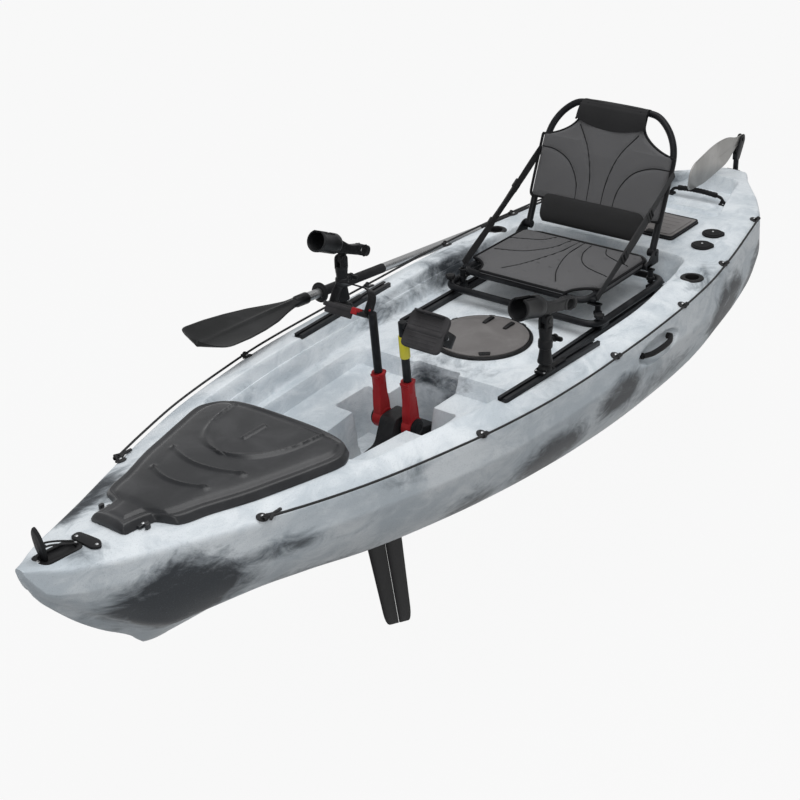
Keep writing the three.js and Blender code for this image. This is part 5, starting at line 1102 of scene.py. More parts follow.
bow_fit = Form()
pad_x, pad_reach, pocket_x = 1.39, 0.015, 1.462
behind, ahead = deck_height(pad_x - pad_reach), deck_height(pad_x + pad_reach)
bow_slope = -math.degrees(math.atan2(ahead - behind, 2 * pad_reach))
pad_outline = rounded([(-0.014, -0.044, 0.012), (0.014, -0.04, 0.01), (0.018, 0.032, 0.012),
    (0, 0.042, 0.01), (-0.018, 0.02, 0.012)])
bow_pad_lie = at(pad_x, 0.014, (behind + ahead) / 2 + 0.0006, bow_slope, "Y")
bow_fit.slab(pad_outline, -0.0016, 0.0042, bow_pad_lie, 0.0014)
pocket_ends = (1.42, 1.5)
pocket_climb = deck_height(pocket_ends[1]) - deck_height(pocket_ends[0])
pocket_slope = -math.degrees(math.atan2(pocket_climb, pocket_ends[1] - pocket_ends[0]))
insert_lie = at(pocket_x, 0, deck_height(pocket_x), pocket_slope, "Y")
bow_fit.frame(rectangle(-0.058, 0.056, -0.025, 0.025, 0.022),
    rectangle(-0.046, 0.044, -0.0165, 0.0165, 0.015), -0.004, 0.0022, insert_lie, 0.001)
bow_fit.slab(rectangle(-0.052, 0.05, -0.02, 0.02, 0.018), -0.0052, -0.0026, insert_lie, 0.0004)
finished("bow_pad", bow_fit, black_moulding, "hull")


# The pedal drive stands in the well on two feet: a black cast frame whose legs pass through the keel slot
# to the fin shaft. It has ribbed drums on its hips, and an axle across its head for the two cranks.
drive_casting = moulded("black_cast_drive", (0.01, 0.01, 0.011), (0.05, 0.05, 0.052), 0.36, 380, 0.0006, 0.4)
axle_x, axle_z, well_top, half = 0.328, 0.155, 0.0603, 0.025
aft, fore, leg_aft, leg_fore, leg_low, arch = 0.186, 0.526, 0.3435, 0.5055, -0.015, 0.032
side_view = rounded([(aft, well_top), (aft, 0.096, 0.01), (0.262, 0.112, 0.016), (0.29, 0.182, 0.014),
    (0.366, 0.182, 0.014), (0.396, 0.112, 0.016), (fore, 0.096, 0.01), (fore, leg_low, 0.005),
    (leg_fore, leg_low, 0.003), (leg_fore, arch, 0.008), (leg_aft, arch, 0.008), (leg_aft, leg_low, 0.003),
    (aft + half, leg_low, 0.012)])
form = Form().slab(side_view, -half, half, seen_from_side, 0.003, 3)
drive_feet = ((aft - 0.018, aft + 0.058), (fore - 0.074, fore + 0.022))
for low, high in drive_feet:
    form.slab(rectangle(low, high, -0.058, 0.058, 0.012), well_top, well_top + 0.012, Matrix(), 0.002, 3)
    for side in (1, -1):
        middle = (low + high) / 2
        gusset = rounded([(0.022, 0), (0.05, 0, 0.002), (0.022, 0.026, 0.002)])
        form.slab(gusset * [side, 1] + [0, well_top + 0.011], middle - 0.003, middle + 0.003, seen_from_bow,
            0.0008)
form.turned([(0.0075, -0.0325), (0.02, -0.0325), (0.021, -0.0315), (0.021, 0.0315), (0.02, 0.0325),
    (0.0075, 0.0325), (0.0075, -0.0325)], at(axle_x, 0, axle_z) @ seen_from_side, 40)
for side in (1, -1):
    panel = rounded([(aft + 0.014, well_top + 0.016, 0.006), (aft + 0.014, 0.088, 0.006),
        (0.256, 0.098, 0.006), (0.256, well_top + 0.016, 0.006)])
    form.slab(panel, side * half - 0.0012 * (side < 0), side * half + 0.0012 * (side > 0), seen_from_side,
        0.0005)
    for x in (0.306, 0.35):
        drum = [(0, -0.002)]
        for step in range(5):
            z = 0.0006 + step * 0.0013
            drum += [(0.0158, z), (0.0172, z + 0.0004), (0.0158, z + 0.0009)]
        drum += [(0.011, 0.0076), (0.0065, 0.0078), (0, 0.0078)]
        form.turned(drum, at(x, side * (half - 0.001), 0.119) @ mirrored(side) @ seen_from_side, 40)
finished("drive_frame", form, drive_casting, "hull", ("drive_spine",))
crank_inner, hub_width = 0.033, 0.028
cap_in = crank_inner + hub_width + 0.0003
form = Form().rod(0.007, -cap_in - 0.001, cap_in + 0.001, at(axle_x, 0, axle_z) @ seen_from_side, 32)
for side in (1, -1):
    outward = at(axle_x, 0, axle_z) @ mirrored(side) @ seen_from_side
    form.turned([(0, cap_in), (0.024, cap_in), (0.025, cap_in + 0.0012), (0.0248, cap_in + 0.005),
        (0.022, cap_in + 0.0076), (0.013, cap_in + 0.0088), (0.0118, cap_in + 0.0072), (0, cap_in + 0.007)],
        outward, 48)
finished("crank_axle_caps", form, drive_casting, "hull", ("crank_axle",))
steel = moulded("brushed_stainless", (0.5, 0.51, 0.52), (0.62, 0.63, 0.64), 0.3, 900, 0.0002, 0.4,
    metallic=1.0)
shaft_low, shaft_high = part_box("fin_shaft")
form = Form().rod(0.005, shaft_low.x, shaft_high.x, at(0, 0, -0.004) @ seen_from_bow, 32)
finished("fin_shaft_bar", form, steel, "hull", ("fin_shaft",))


# Each crank is a red moulded bracket on the axle with a black tube clamped in it. The port tube has a
# yellow sleeve, and a steel-riveted foot loop of thick black strap arches over each dark pedal.
red_moulding = moulded("deep_red_moulding", (0.33, 0.016, 0.02), (0.42, 0.05, 0.045), 0.34, 260, 0.0005, 0.5)
yellow_sleeve = moulded("yellow_sleeve_plastic", (0.66, 0.58, 0.035), (0.74, 0.68, 0.2), 0.38, 300, 0.0004,
    0.3)
tube_coat = moulded("black_powder_coat", (0.008, 0.0085, 0.01), (0.05, 0.052, 0.056), 0.3, 700, 0.0003, 0.35)
pedal_rubber = moulded("dark_grey_pedal_rubber", (0.03, 0.029, 0.031), (0.075, 0.073, 0.076), 0.6, 420,
    0.0006, 0.5)
strap_rubber = moulded("black_strap_rubber", (0.009, 0.009, 0.01), (0.045, 0.045, 0.047), 0.46, 420, 0.0005,
    0.4)
arm_length, arm_height, tube_radius, crank_lean, mid = 0.298, 0.136, 0.011, 5, crank_inner + hub_width / 2
pedal_long, pedal_wide, pedal_thick, pedal_skirt, loop_rise = 0.098, 0.118, 0.014, 0.022, 0.058
pedal_in = mid + tube_radius + 0.003
bracket_view = rounded([(-0.021, 0), (0.021, 0), (0.021, 0.044, 0.012), (0.015, 0.0748, 0.02),
    (0.0145, arm_height - 0.012, 0.004), (0.019, arm_height - 0.007, 0.002), (0.019, arm_height, 0.002),
    (-0.019, arm_height, 0.002), (-0.019, arm_height - 0.007, 0.002), (-0.0145, arm_height - 0.012, 0.004),
    (-0.015, 0.0748, 0.02), (-0.021, 0.044, 0.012)])
for hand, side in hands.items():
    arm = at(axle_x, 0, axle_z, crank_lean, "Y") @ mirrored(side)
    form = Form().slab(bracket_view, mid - 0.0128, mid + 0.0128, arm @ seen_from_side, 0.003, 3)
    form.turned([(0.0078, crank_inner), (0.0268, crank_inner), (0.028, crank_inner + 0.0012),
        (0.028, crank_inner + hub_width - 0.0012), (0.0268, crank_inner + hub_width),
        (0.0078, crank_inner + hub_width), (0.0078, crank_inner)], arm @ seen_from_side, 48)
    form.turned([(0.0113, arm_height - 0.03), (0.0166, arm_height - 0.03), (0.0172, arm_height - 0.012),
        (0.0182, arm_height - 0.002), (0.0176, arm_height), (0.0113, arm_height),
        (0.0113, arm_height - 0.03)], arm @ at(0, mid, 0), 36)
    for end in (-1, 1):
        form.slab(rounded([(end * 0.0185, 0.03), (end * 0.0155, 0.03), (end * 0.0118, 0.085),
            (end * 0.0145, 0.085)]), mid + 0.0122, mid + 0.0136, arm @ seen_from_side, 0.0004)
    finished("crank_arm_" + hand, form, red_moulding, hand + "_crank",
        ("crank_bracket_" + hand,))
    form = Form().rod(tube_radius, 0.06, arm_length + 0.01, arm @ at(0, mid, 0), 36, 0.0014)
    spindle = arm @ at(0, 0, arm_length) @ seen_from_side
    nut = pedal_in + pedal_wide
    form.rod(0.005, mid, nut + 0.005, spindle, 28)
    form.rod(0.0095, mid + 0.006, pedal_in - 0.0003, spindle, 32)
    form.turned([(0.006, nut + 0.001), (0.0082, nut + 0.001), (0.0082, nut + 0.004), (0.006, nut + 0.0048),
        (0, nut + 0.0048), (0, nut)], spindle, 6)
    finished("crank_bar_" + hand, form, tube_coat, hand + "_crank", ("crank_tube_" + hand,))
    if side > 0:
        low, high = arm_height + 0.07, arm_length - 0.03
        form = Form().turned([(0.0113, low), (0.013, low), (0.0135, low + 0.001), (0.0135, high - 0.001),
            (0.013, high), (0.0113, high), (0.0113, low)], arm @ at(0, mid, 0), 36)
        finished("crank_sleeve_port", form, yellow_sleeve, "port_crank",
            ("height_sleeve_port",))
    tilt = {"port": -128, "starboard": -30}[hand] - crank_lean
    foot = arm @ at(0, pedal_in + pedal_wide / 2, arm_length, tilt, "Y")
    form = Form()
    long_half, wide_half = pedal_long / 2, pedal_wide / 2
    outer = rounded([(-long_half, -wide_half, 0.018), (long_half, -wide_half, 0.018),
        (long_half + 0.0028, 0, 0.03), (long_half, wide_half, 0.018), (-long_half, wide_half, 0.018)])
    form.slab(outer, -pedal_thick / 2, pedal_thick / 2 - 0.002, foot, 0.0035, 4)
    for row in range(-4, 5):
        ridge = row * 0.0098
        form.slab(rectangle(ridge - 0.0021, ridge + 0.0021, -wide_half + 0.014, wide_half - 0.014, 0.002),
            pedal_thick / 2 - 0.003, pedal_thick / 2, foot, 0.0009)
        form.slab(rectangle(ridge - 0.0016, ridge + 0.0016, -wide_half + 0.016, wide_half - 0.016, 0.0015),
            -pedal_thick / 2 - 0.0007, -pedal_thick / 2 + 0.001, foot, 0.0006)
    form.rod(0.0095, 0.0062 - wide_half, wide_half - 0.0062, foot @ seen_from_side, 32)
    skirt = rounded([(long_half - 0.0075, 0.002), (long_half + 0.001, 0.002),
        (long_half - 0.001, -pedal_skirt, 0.004), (long_half - 0.0065, -pedal_skirt, 0.003)])
    form.slab(skirt, 0.016 - wide_half, wide_half - 0.016, foot @ seen_from_side, 0.0022, 3)
    finished("pedal_block_" + hand, form, pedal_rubber, hand + "_pedal",
        ("pedal_pad_" + hand,), 40)
    thick, wide = 0.004, 0.036
    arch_route = rounded([(-wide_half + thick / 2, -0.006),
        (-wide_half + thick / 2, loop_rise - thick / 2, 0.036),
        (wide_half - thick / 2, loop_rise - thick / 2, 0.036), (wide_half - thick / 2, -0.006)], False, 12)
    rings = []
    for i, (y, z) in enumerate(arch_route):
        before, after = arch_route[max(i - 1, 0)], arch_route[min(i + 1, len(arch_route) - 1)]
        run = (after - before) / np.hypot(*(after - before))
        out_y, out_z = -run[1], run[0]
        broad = wide / 2 * (1 - 0.16 * math.sin(math.pi * i / (len(arch_route) - 1)))
        ring = [(x * broad, t * thick / 2) for x, t in ((-1, -0.5), (-1, 0.5), (-0.95, 1), (0.95, 1),
            (1, 0.5), (1, -0.5), (0.95, -1), (-0.95, -1))]
        rings.append([(x, y + out_y * t, z + out_z * t) for x, t in ring])
    form = Form().rings(rings, foot @ at(0, 0, pedal_thick / 2 + 0.0003))
    finished("foot_loop_" + hand, form, strap_rubber, hand + "_pedal",
        ("pedal_strap_" + hand,), 50)
    form = Form()
    for end in (1, -1):
        rivet = foot @ at(0, end * (wide_half + 0.0002), 0.012) @ mirrored(end) @ seen_from_side
        form.turned([(0, -0.0012), (0.0036, -0.0012), (0.0036, 0), (0.003, 0.0009), (0.0014, 0.0013),
            (0, 0.0013)], rivet, 24)
    if side > 0:
        finished("loop_rivets_" + hand, form, steel, hand + "_pedal")
    else:
        cap = foot @ at(long_half - 0.012, -wide_half + 0.0105, pedal_thick / 2)
        form.slab(rectangle(-0.011, 0.012, -0.0095, 0.0095, 0.004), -0.008, 0.0022, cap, 0.0015, 3)
        form.slab(rectangle(0.0085, 0.0155, -0.0085, 0.0085, 0.003), -0.0155, 0.001, cap, 0.0015, 3)
        finished("pedal_end_cap", form, red_moulding, hand + "_pedal", (), 40)


# Two stiff black fins hang side by side from one shaft below the keel. Each is a tapering moulding, thick
# at its leading edge and thin behind, and they sweep against each other as the pedals swing.
fin_moulding = moulded("black_fin_moulding", (0.006, 0.006, 0.007), (0.025, 0.025, 0.027), 0.5, 260, 0.0007,
    0.4)
fin_gap, fin_root, root_fore, root_aft = 0.002, -0.017, leg_fore - 0.0025, leg_aft + 0.0025
tip_fore, tip_aft, tip_fore_z, tip_aft_z = root_fore - 0.098, root_aft - 0.0575, -0.446, -0.494
split, cut = (root_fore + root_aft) / 2, (root_fore - (root_fore + root_aft) / 2) / (root_fore - root_aft)
tip_split, tip_split_z = mix(tip_fore, tip_aft, cut), mix(tip_fore_z, tip_aft_z, cut)
fin_plans = {
    "fin_front": (root_fore, split + fin_gap / 2, tip_fore, tip_split + fin_gap / 2, tip_fore_z, tip_split_z),
    "fin_rear": (split - fin_gap / 2, root_aft, tip_split - fin_gap / 2, tip_aft, tip_split_z, tip_aft_z),
}
foil = [(0, 0.1), (0.012, 0.42), (0.04, 0.68), (0.1, 0.9), (0.22, 1), (0.4, 0.88), (0.6, 0.64), (0.8, 0.42),
    (0.94, 0.27), (1, 0.12)]
foil += [(along, -thick) for along, thick in foil[::-1]]
for name, (nose, tail, nose_tip, tail_tip, nose_z, tail_z) in fin_plans.items():
    rings = []
    for i in range(41):
        down = i / 40 if i < 36 else 0.9 + 0.1 * math.sin((i - 36) / 4 * math.pi / 2)
        down = min(down, 1 - 1e-9)
        tip = max(0, (down - 0.9) / 0.1)
        rounding = 1 - math.sqrt(1 - tip ** 2) if tip < 1 else 1
        front = np.array([mix(nose, nose_tip, down), mix(fin_root, nose_z, down)])
        back = np.array([mix(tail, tail_tip, down), mix(fin_root, tail_z, down)])
        chord = back - front
        if name == "fin_front":
            front = front + chord * 0.24 * rounding
        else:
            back = back - chord * 0.24 * rounding
        chord = back - front
        thin = mix(1, 0.55, down) * (1 - 0.3 * tip ** 3)
        rings.append([(front[0] + chord[0] * along, across * thin * mix(0.011, 0.006, along) / 2,
            front[1] + chord[1] * along) for along, across in foil])
    form = Form().rings(rings)
    form.turned([(0.0056, tail), (0.0098, tail), (0.0105, tail + 0.0008), (0.0105, nose - 0.0008),
        (0.0098, nose), (0.0056, nose), (0.0056, tail)], at(0, 0, -0.004) @ seen_from_bow, 40)
    for low, high, thick in ((nose - 0.018, nose - 0.001, 0.0046), (tail + 0.003, tail + 0.016, 0.0028)):
        form.slab(rectangle(low, high, -thick, thick, 0.002), fin_root - 0.004, -0.0112, Matrix(), 0.0006)
    rib = [(mix(nose, nose_tip, d) - 0.012 + 0.002 * d, 0, mix(fin_root, nose_z, d))
        for d in (0.02, 0.45, 0.88)]
    form.tube(flowing(rib, 24), [0.0048 - 0.0018 * i / 24 for i in range(25)], sides=16)
    finished(name + "_blade", form.mesh(name), fin_moulding, name, (name,), 30)


# The seat stands on the tracks: a lower hoop on feet, an upper hoop on posts, and an arched back that folds
# forward on two pins. All of it is bent aluminium tube, coated black.
hoop_corner, hoop_radius = 0.046, 0.01
frame_fore, frame_aft, frame_half, frame_z = -0.262, -0.618, 0.202, 0.325
lower_fore, lower_aft, lower_half, lower_z = -0.24, -0.628, 0.252, 0.273
track_top, strap_inner = 0.2493, 0.2222


def hoop_route(x0, x1, half, z, corner=hoop_corner):
    plan = rounded([(x0, -half, corner), (x1, -half, corner), (x1, half, corner), (x0, half, corner)], True,
        9)
    return [(x, y, z) for x, y in plan]


form = Form().tube(hoop_route(lower_aft, lower_fore, lower_half, lower_z), hoop_radius, sides=20, closed=True)
for x in (-0.292, -0.586):
    for side in (1, -1):
        y = side * track_y
        form.slab(rectangle(x - 0.022, x + 0.022, y - 0.015, y + 0.015, 0.005), track_top + 0.0003,
            lower_z - 0.002, Matrix(), 0.002, 3)
        form.rod(0.008, lower_z, frame_z - hoop_radius - 0.0003,
            at(x, side * (frame_half + lower_half) / 2, 0), 24)
        form.turned([(0.0082, 0.010), (0.0118, 0.010), (0.0122, 0.0112), (0.0122, 0.0178), (0.0112, 0.019),
            (0.0082, 0.019), (0.0082, 0.010)], at(x, side * (frame_half + lower_half) / 2, lower_z), 28)
        plate_low, plate_high = sorted((side * (frame_half - 0.005),
            side * ((frame_half + lower_half) / 2 + 0.01)))
        form.slab(rectangle(x - 0.01, x + 0.01, plate_low, plate_high, 0.004), frame_z - 0.0153,
            frame_z - 0.0103, Matrix(), 0.0012)
for side in (1, -1):
    form.slab(rectangle(-0.586, -0.292, side * track_y - 0.004, side * track_y + 0.004, 0.002),
        track_top + 0.0012, track_top + 0.0068, Matrix(), 0.0014)
finished("seat_base_frame", form, tube_coat, "seat", ("seat_lower_frame",))

pivot_x, pivot_z, eye_half, cheek = frame_aft, frame_z + 0.026, 0.0115, 0.2228
form = Form().tube(hoop_route(frame_aft, frame_fore, frame_half, frame_z), hoop_radius, sides=20, closed=True)
for side in (1, -1):
    turn = mirrored(side)
    lug = rounded([(pivot_x - 0.013, frame_z - 0.005, 0.003), (pivot_x + 0.0598, frame_z - 0.005, 0.003),
        (pivot_x + 0.0598, frame_z + 0.005, 0.003), (pivot_x + 0.013, pivot_z + 0.013, 0.012),
        (pivot_x - 0.013, pivot_z + 0.013, 0.012)])
    form.slab(lug, cheek, cheek + 0.0035, turn @ seen_from_side, 0.0008)
    form.rod(0.005, 0.1995, cheek + 0.0017, turn @ at(pivot_x, 0, pivot_z) @ seen_from_side, 24)
    form.turned([(0, cheek + 0.003), (0.0072, cheek + 0.003), (0.0072, cheek + 0.0056),
        (0.0058, cheek + 0.0066), (0, cheek + 0.0066)], turn @ at(pivot_x, 0, pivot_z) @ seen_from_side, 24)
    form.slab(rectangle(pivot_x + 0.023, pivot_x + 0.0552, frame_half, cheek + 0.0035, 0.002),
        frame_z - 0.005, frame_z + 0.005, turn, 0.001)
    form.slab(rectangle(-0.302, -0.282, frame_half, strap_inner - 0.0003, 0.003), frame_z - 0.005,
        frame_z + 0.005, turn, 0.001)
finished("seat_top_frame", form, tube_coat, "seat", ("seat_frame",))

back_lean, strap_reach = -21.7, 0.232
back_place = at(frame_aft, 0, pivot_z, back_lean, "Y")
arch_half, arch_top, shoulder_z, back_half = 0.098, 0.386, 0.28, 0.211
bow = [(0, back_half, 0), (0, back_half, 0.09), (0, back_half, shoulder_z * 0.7),
    (0, back_half * 0.99, shoulder_z), (0, back_half * 0.88, shoulder_z + 0.056),
    (0, back_half * 0.68, arch_top - 0.01), (0, arch_half, arch_top)]
route = flowing(bow + [(0, 0, arch_top + 0.002)] + [(x, -y, z) for x, y, z in bow[::-1]], 110)
form = Form().tube(route, hoop_radius, back_place, sides=20)
for side in (1, -1):
    place = back_place @ mirrored(side) @ seen_from_side
    low, high = back_half - eye_half, back_half + eye_half
    form.turned([(0.0058, low), (0.0112, low), (0.012, low + 0.0008), (0.012, high - 0.0008),
        (0.0112, high), (0.0058, high), (0.0058, low)], place, 36)
finished("seat_back_arch", form, tube_coat, "seat_back", ("back_frame",))

for hand, side in hands.items():
    low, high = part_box("seat_knob_" + hand)
    place = at((low.x + high.x) / 2, (low.y + high.y) / 2, low.z)
    tall = high.z - low.z
    lobes = [(0.0132 + 0.0014 * math.cos(5 * math.radians(a)), math.radians(a)) for a in range(0, 360, 6)]
    outline = np.array([(r * math.cos(a), r * math.sin(a)) for r, a in lobes])
    form = Form().slab(outline, 0.0055, tall - 0.001, place, 0.0022, 3)
    form.turned([(0, 0), (0.005, 0), (0.005, 0.0062), (0, 0.0062)], place, 24)
    form.turned([(0, tall - 0.004), (0.006, tall - 0.004), (0.006, tall - 0.0006), (0.0045, tall),
        (0, tall)], place, 24)
    finished("seat_clamp_knob_" + hand, form, black_moulding, "seat_knob_" + hand,
        ("seat_knob_" + hand,), 38)


# The seat's base and back are padded grey mesh over the tubes, bound in black, with sewn seams that fan out.
# The head of the back is wrapped in smooth black cloth and a black lumbar roll lies across its foot.
def cloth(name, light, dark, cell, fuzz):
    """Woven fabric whose threads cross along the panel's own length and width."""
    finish = Finish(name)
    uv = finish.node("TexCoord", {}, {}, "UV")
    bands = [finish.node("TexWave", {"wave_type": "BANDS", "bands_direction": axis, "wave_profile": "SIN"},
        {"Vector": uv, "Scale": cell, "Distortion": 0.25, "Detail": 1.0}, "Fac") for axis in ("X", "Y")]
    weave = bands[0].worked("MAXIMUM", bands[1])
    pores = bands[0] * bands[1]
    cloud = finish.noise(14, 4, 0.6, 0.4)
    lint = finish.noise(260, 2, 0.7)
    shade = finish.blend(weave.upto(0.25, 0.95), dark, light)
    shade = finish.blend(cloud.upto(0.35, 0.7) * 0.35, shade, tuple(v * 0.72 for v in light))
    shade = finish.blend(lint.upto(0.55, 0.8) * 0.25, shade, tuple(min(1, v * 1.6) for v in light))
    return finish.surface(shade, weave * -0.08 + (fuzz + 0.05), weave + pores * 0.5 + lint * 0.4, 0.0006)


mesh_cloth = cloth("grey_padded_mesh", (0.145, 0.145, 0.15), (0.05, 0.05, 0.053), 150, 0.86)
black_cloth = cloth("black_woven_cloth", (0.014, 0.014, 0.015), (0.006, 0.006, 0.007), 200, 0.78)
binding_tape = moulded("black_binding_tape", (0.008, 0.008, 0.009), (0.025, 0.025, 0.027), 0.7, 900, 0.0004,
    0.3)


def padded_panel(name, long_places, half_at, lift_at, place, columns=72, under=0.004):
    """A closed cushioned sheet: rows along its length, each as wide as half_at says, swollen by lift_at."""
    across = np.sin(np.linspace(-0.5, 0.5, columns) * math.pi)
    across = mix(np.linspace(-1, 1, columns), across, 0.55)
    rows = np.asarray(long_places, float)
    half = np.array([half_at(v) for v in rows])
    S, A = np.meshgrid(rows, across, indexing="ij")
    W = A * half[:, None]
    top = lift_at(S, W, half[:, None])
    rings = []
    for i in range(len(rows)):
        edge = np.clip((half[i] - np.abs(W[i])) / 0.006, 0, 1)
        low = np.minimum(-under * np.sqrt(np.clip(edge, 0.05, 1)), top[i] - 0.0012)
        over = [(S[i, j], W[i, j], top[i, j]) for j in range(columns)]
        rings.append(over + [(S[i, j], W[i, j], low[j]) for j in range(columns - 1, -1, -1)])
    form = Form().rings([[place(*p) for p in ring] for ring in rings])
    mesh = form.mesh(name)
    layer = mesh.uv_layers.new(name="weave")
    flat = [(s, w) for ring in rings for s, w, _ in ring]
    lookup = {tuple(round(v, 6) for v in p): spot for p, spot in zip(form.places, flat)}
    for loop in mesh.loops:
        v = mesh.vertices[loop.vertex_index].co
        layer.data[loop.index].uv = lookup.get(tuple(round(c, 6) for c in v), (0, 0))
    return mesh


def seam_dip(S, W, lines, depth=0.0026, width=0.0035):
    """How far sewn seams draw the cloth in; each line is a list of (along, across) points."""
    dip = np.zeros_like(S)
    for line in lines:
        points = np.array([tuple(p)[:2] for p in flowing([(*p, 0) for p in line], 30)])
        far = np.full(S.shape, 1.0)
        for a, b in zip(points[:-1], points[1:]):
            run = b - a
            t = np.clip(((S - a[0]) * run[0] + (W - a[1]) * run[1]) / max(run @ run, 1e-9), 0, 1)
            far = np.minimum(far, np.hypot(S - a[0] - t * run[0], W - a[1] - t * run[1]))
        dip = np.maximum(dip, depth * np.exp(-(far / width) ** 2)
            + depth * 0.35 * np.exp(-(far / (4 * width)) ** 2))
    return dip


def creases(S, W, size, seed):
    """Soft hand-made unevenness of the padding."""
    rng = np.random.default_rng(seed)
    total = np.zeros_like(S)
    for _ in range(9):
        wave = rng.uniform(18, 55, 2) * rng.choice([-1, 1], 2)
        total += np.sin(S * wave[0] + W * wave[1] + rng.uniform(0, 6)) / 9
    return total * size


pad_aft, pad_fore, pad_half = frame_aft + 0.026, frame_fore + 0.01, frame_half + 0.01
notch_radius = 0.082


def base_half(x):
    from_front, from_back = pad_fore + 0.006 - x, x - pad_aft
    half = pad_half
    if from_front < notch_radius:
        half = min(half, pad_half + 0.012 - math.sqrt(max(notch_radius ** 2 - from_front ** 2, 0)))
    if from_back < 0.03:
        half = min(half, pad_half - 0.03 + math.sqrt(max(0.03 ** 2 - (0.03 - from_back) ** 2, 0)))
    return half


above = 0.3389
base_seams = [[(-0.575, s * 0.035), (-0.5, s * 0.05), (-0.43, s * 0.1), (-0.4, s * 0.19)] for s in (1, -1)]
base_seams += [[(-0.575, s * 0.085), (-0.535, s * 0.11), (-0.51, s * 0.16), (-0.5, s * 0.2)] for s in (1, -1)]
base_seams += [[(-0.58, s * 0.008), (-0.47, s * 0.016), (-0.36, s * 0.05), (-0.29, s * 0.09)]
    for s in (1, -1)]


def base_lift(S, W, half):
    edge = np.minimum(half - np.abs(W), np.minimum(S - pad_aft, pad_fore - S))
    crown = 0.0105 * np.clip(edge / 0.02, 0, 1) ** 0.5 + 0.004 * np.clip(edge / 0.16, 0, 1)
    wrap = 0.011 * (1 - np.clip((half - np.abs(W)) / 0.014, 0, 1)) ** 2 * (np.abs(W) > pad_half - 0.02)
    seams = seam_dip(S, W, base_seams) * np.clip(edge / 0.02, 0, 1)
    uneven = creases(S, W, 0.0011, 5) * np.clip(edge / 0.03, 0, 1)
    return crown - seams + uneven - wrap


def on_base(s, w, lift):
    """A place on the base, from its place along and across and its height over the hoop."""
    return s, w, above + lift


rows = np.concatenate([pad_aft + np.array([0, 0.001, 0.003, 0.006, 0.01, 0.015]),
    np.linspace(pad_aft + 0.02, pad_fore - 0.1, 46), np.linspace(pad_fore - 0.096, pad_fore - 0.012, 34),
    pad_fore - np.array([0.009, 0.006, 0.003, 0.001, 0])])
pad = finished("seat_base_cushion", padded_panel("seat_base_cushion", rows, base_half, base_lift, on_base),
    mesh_cloth, "seat", ("seat_pad",), 60)


def binding(name, rows, half_at, place, body, radius=0.0042, lift=0.001):
    """A bound edge all round a panel."""
    loop = [Vector(place(s, half_at(s), lift)) for s in rows]
    loop += [Vector(place(s, -half_at(s), lift)) for s in rows[::-1]]
    kept = [p for i, p in enumerate(loop) if (p - loop[i - 1]).length > 0.0022]
    finished(name, Form().tube(kept, radius, sides=10, closed=True), binding_tape, body,
        (), 60)


binding("seat_base_binding", rows[2:-2], base_half, on_base, "seat")

back_low, back_high, back_wide, head_half, back_shoulder = 0.084, 0.392, 0.22, 0.106, 0.272


def back_half_at(z):
    if z < back_shoulder:
        return back_wide - 0.006 * max(0, 1 - (z - back_low) / 0.02) ** 2
    up = (z - back_shoulder) / (back_high - back_shoulder)
    scoop_in = min(1.0, up * 1.55)
    return mix(back_wide, head_half, math.sin(scoop_in * math.pi / 2) ** 0.62 if up > 0 else 0)


front = hoop_radius + 0.0039
back_seams = [[(0.084, s * 0.024), (0.17, s * 0.028), (0.25, s * 0.052), (0.318, s * 0.098)] for s in (1, -1)]
back_seams += [[(0.084, s * 0.062), (0.15, s * 0.07), (0.205, s * 0.105), (0.232, s * 0.16),
    (0.236, s * 0.215)] for s in (1, -1)]


def back_lift(S, W, half):
    edge = np.minimum(half - np.abs(W), np.minimum(S - back_low, back_high - S))
    crown = 0.0085 * np.clip(edge / 0.02, 0, 1) ** 0.5 + 0.0085 * np.clip(edge / 0.2, 0, 1)
    wrap = 0.012 * (1 - np.clip((half - np.abs(W)) / 0.016, 0, 1)) ** 2 * (np.abs(W) > back_wide - 0.03)
    seams = seam_dip(S, W, back_seams) * np.clip(edge / 0.02, 0, 1)
    uneven = creases(S, W, 0.0012, 8) * np.clip(edge / 0.03, 0, 1)
    return crown - seams + uneven - wrap


def on_back(s, w, lift):
    """A place on the back, from its height and place across and its lift off the arch."""
    return tuple(back_place @ Vector((lift + front, w, s)))


back_rows = np.concatenate([back_low + np.array([0, 0.001, 0.003, 0.006, 0.01, 0.015]),
    np.linspace(back_low + 0.02, back_shoulder, 46),
    np.linspace(back_shoulder + 0.002, back_high - 0.012, 40),
    back_high - np.array([0.009, 0.006, 0.003, 0.001, 0])])
pad = finished("seat_back_cushion", padded_panel("seat_back_cushion", back_rows, back_half_at, back_lift,
    on_back), mesh_cloth, "seat_back", ("back_pad",), 60)
binding("seat_back_binding", back_rows[2:-2], back_half_at, on_back, "seat_back")


def piping(name, lines, lift_at, half_at, place, body):
    """A thin black cord along every seam, a little proud of the cushion."""
    form = Form()
    for line in lines:
        points = np.array([tuple(p)[:2] for p in flowing([(*p, 0) for p in line], 34)])
        S, W = points[:, :1], points[:, 1:]
        half = np.array([[half_at(s)] for s in points[:, 0]])
        lift = lift_at(S, W, half)
        form.tube([Vector(place(s, w, up + 0.0011)) for (s, w), up in zip(points, lift[:, 0])], 0.0015,
            sides=8)
    finished(name, form, binding_tape, body, (), 60)


piping("seat_back_piping", back_seams, back_lift, back_half_at, on_back, "seat_back")
piping("seat_base_piping", base_seams, base_lift, base_half, on_base, "seat")


head_low = 0.336


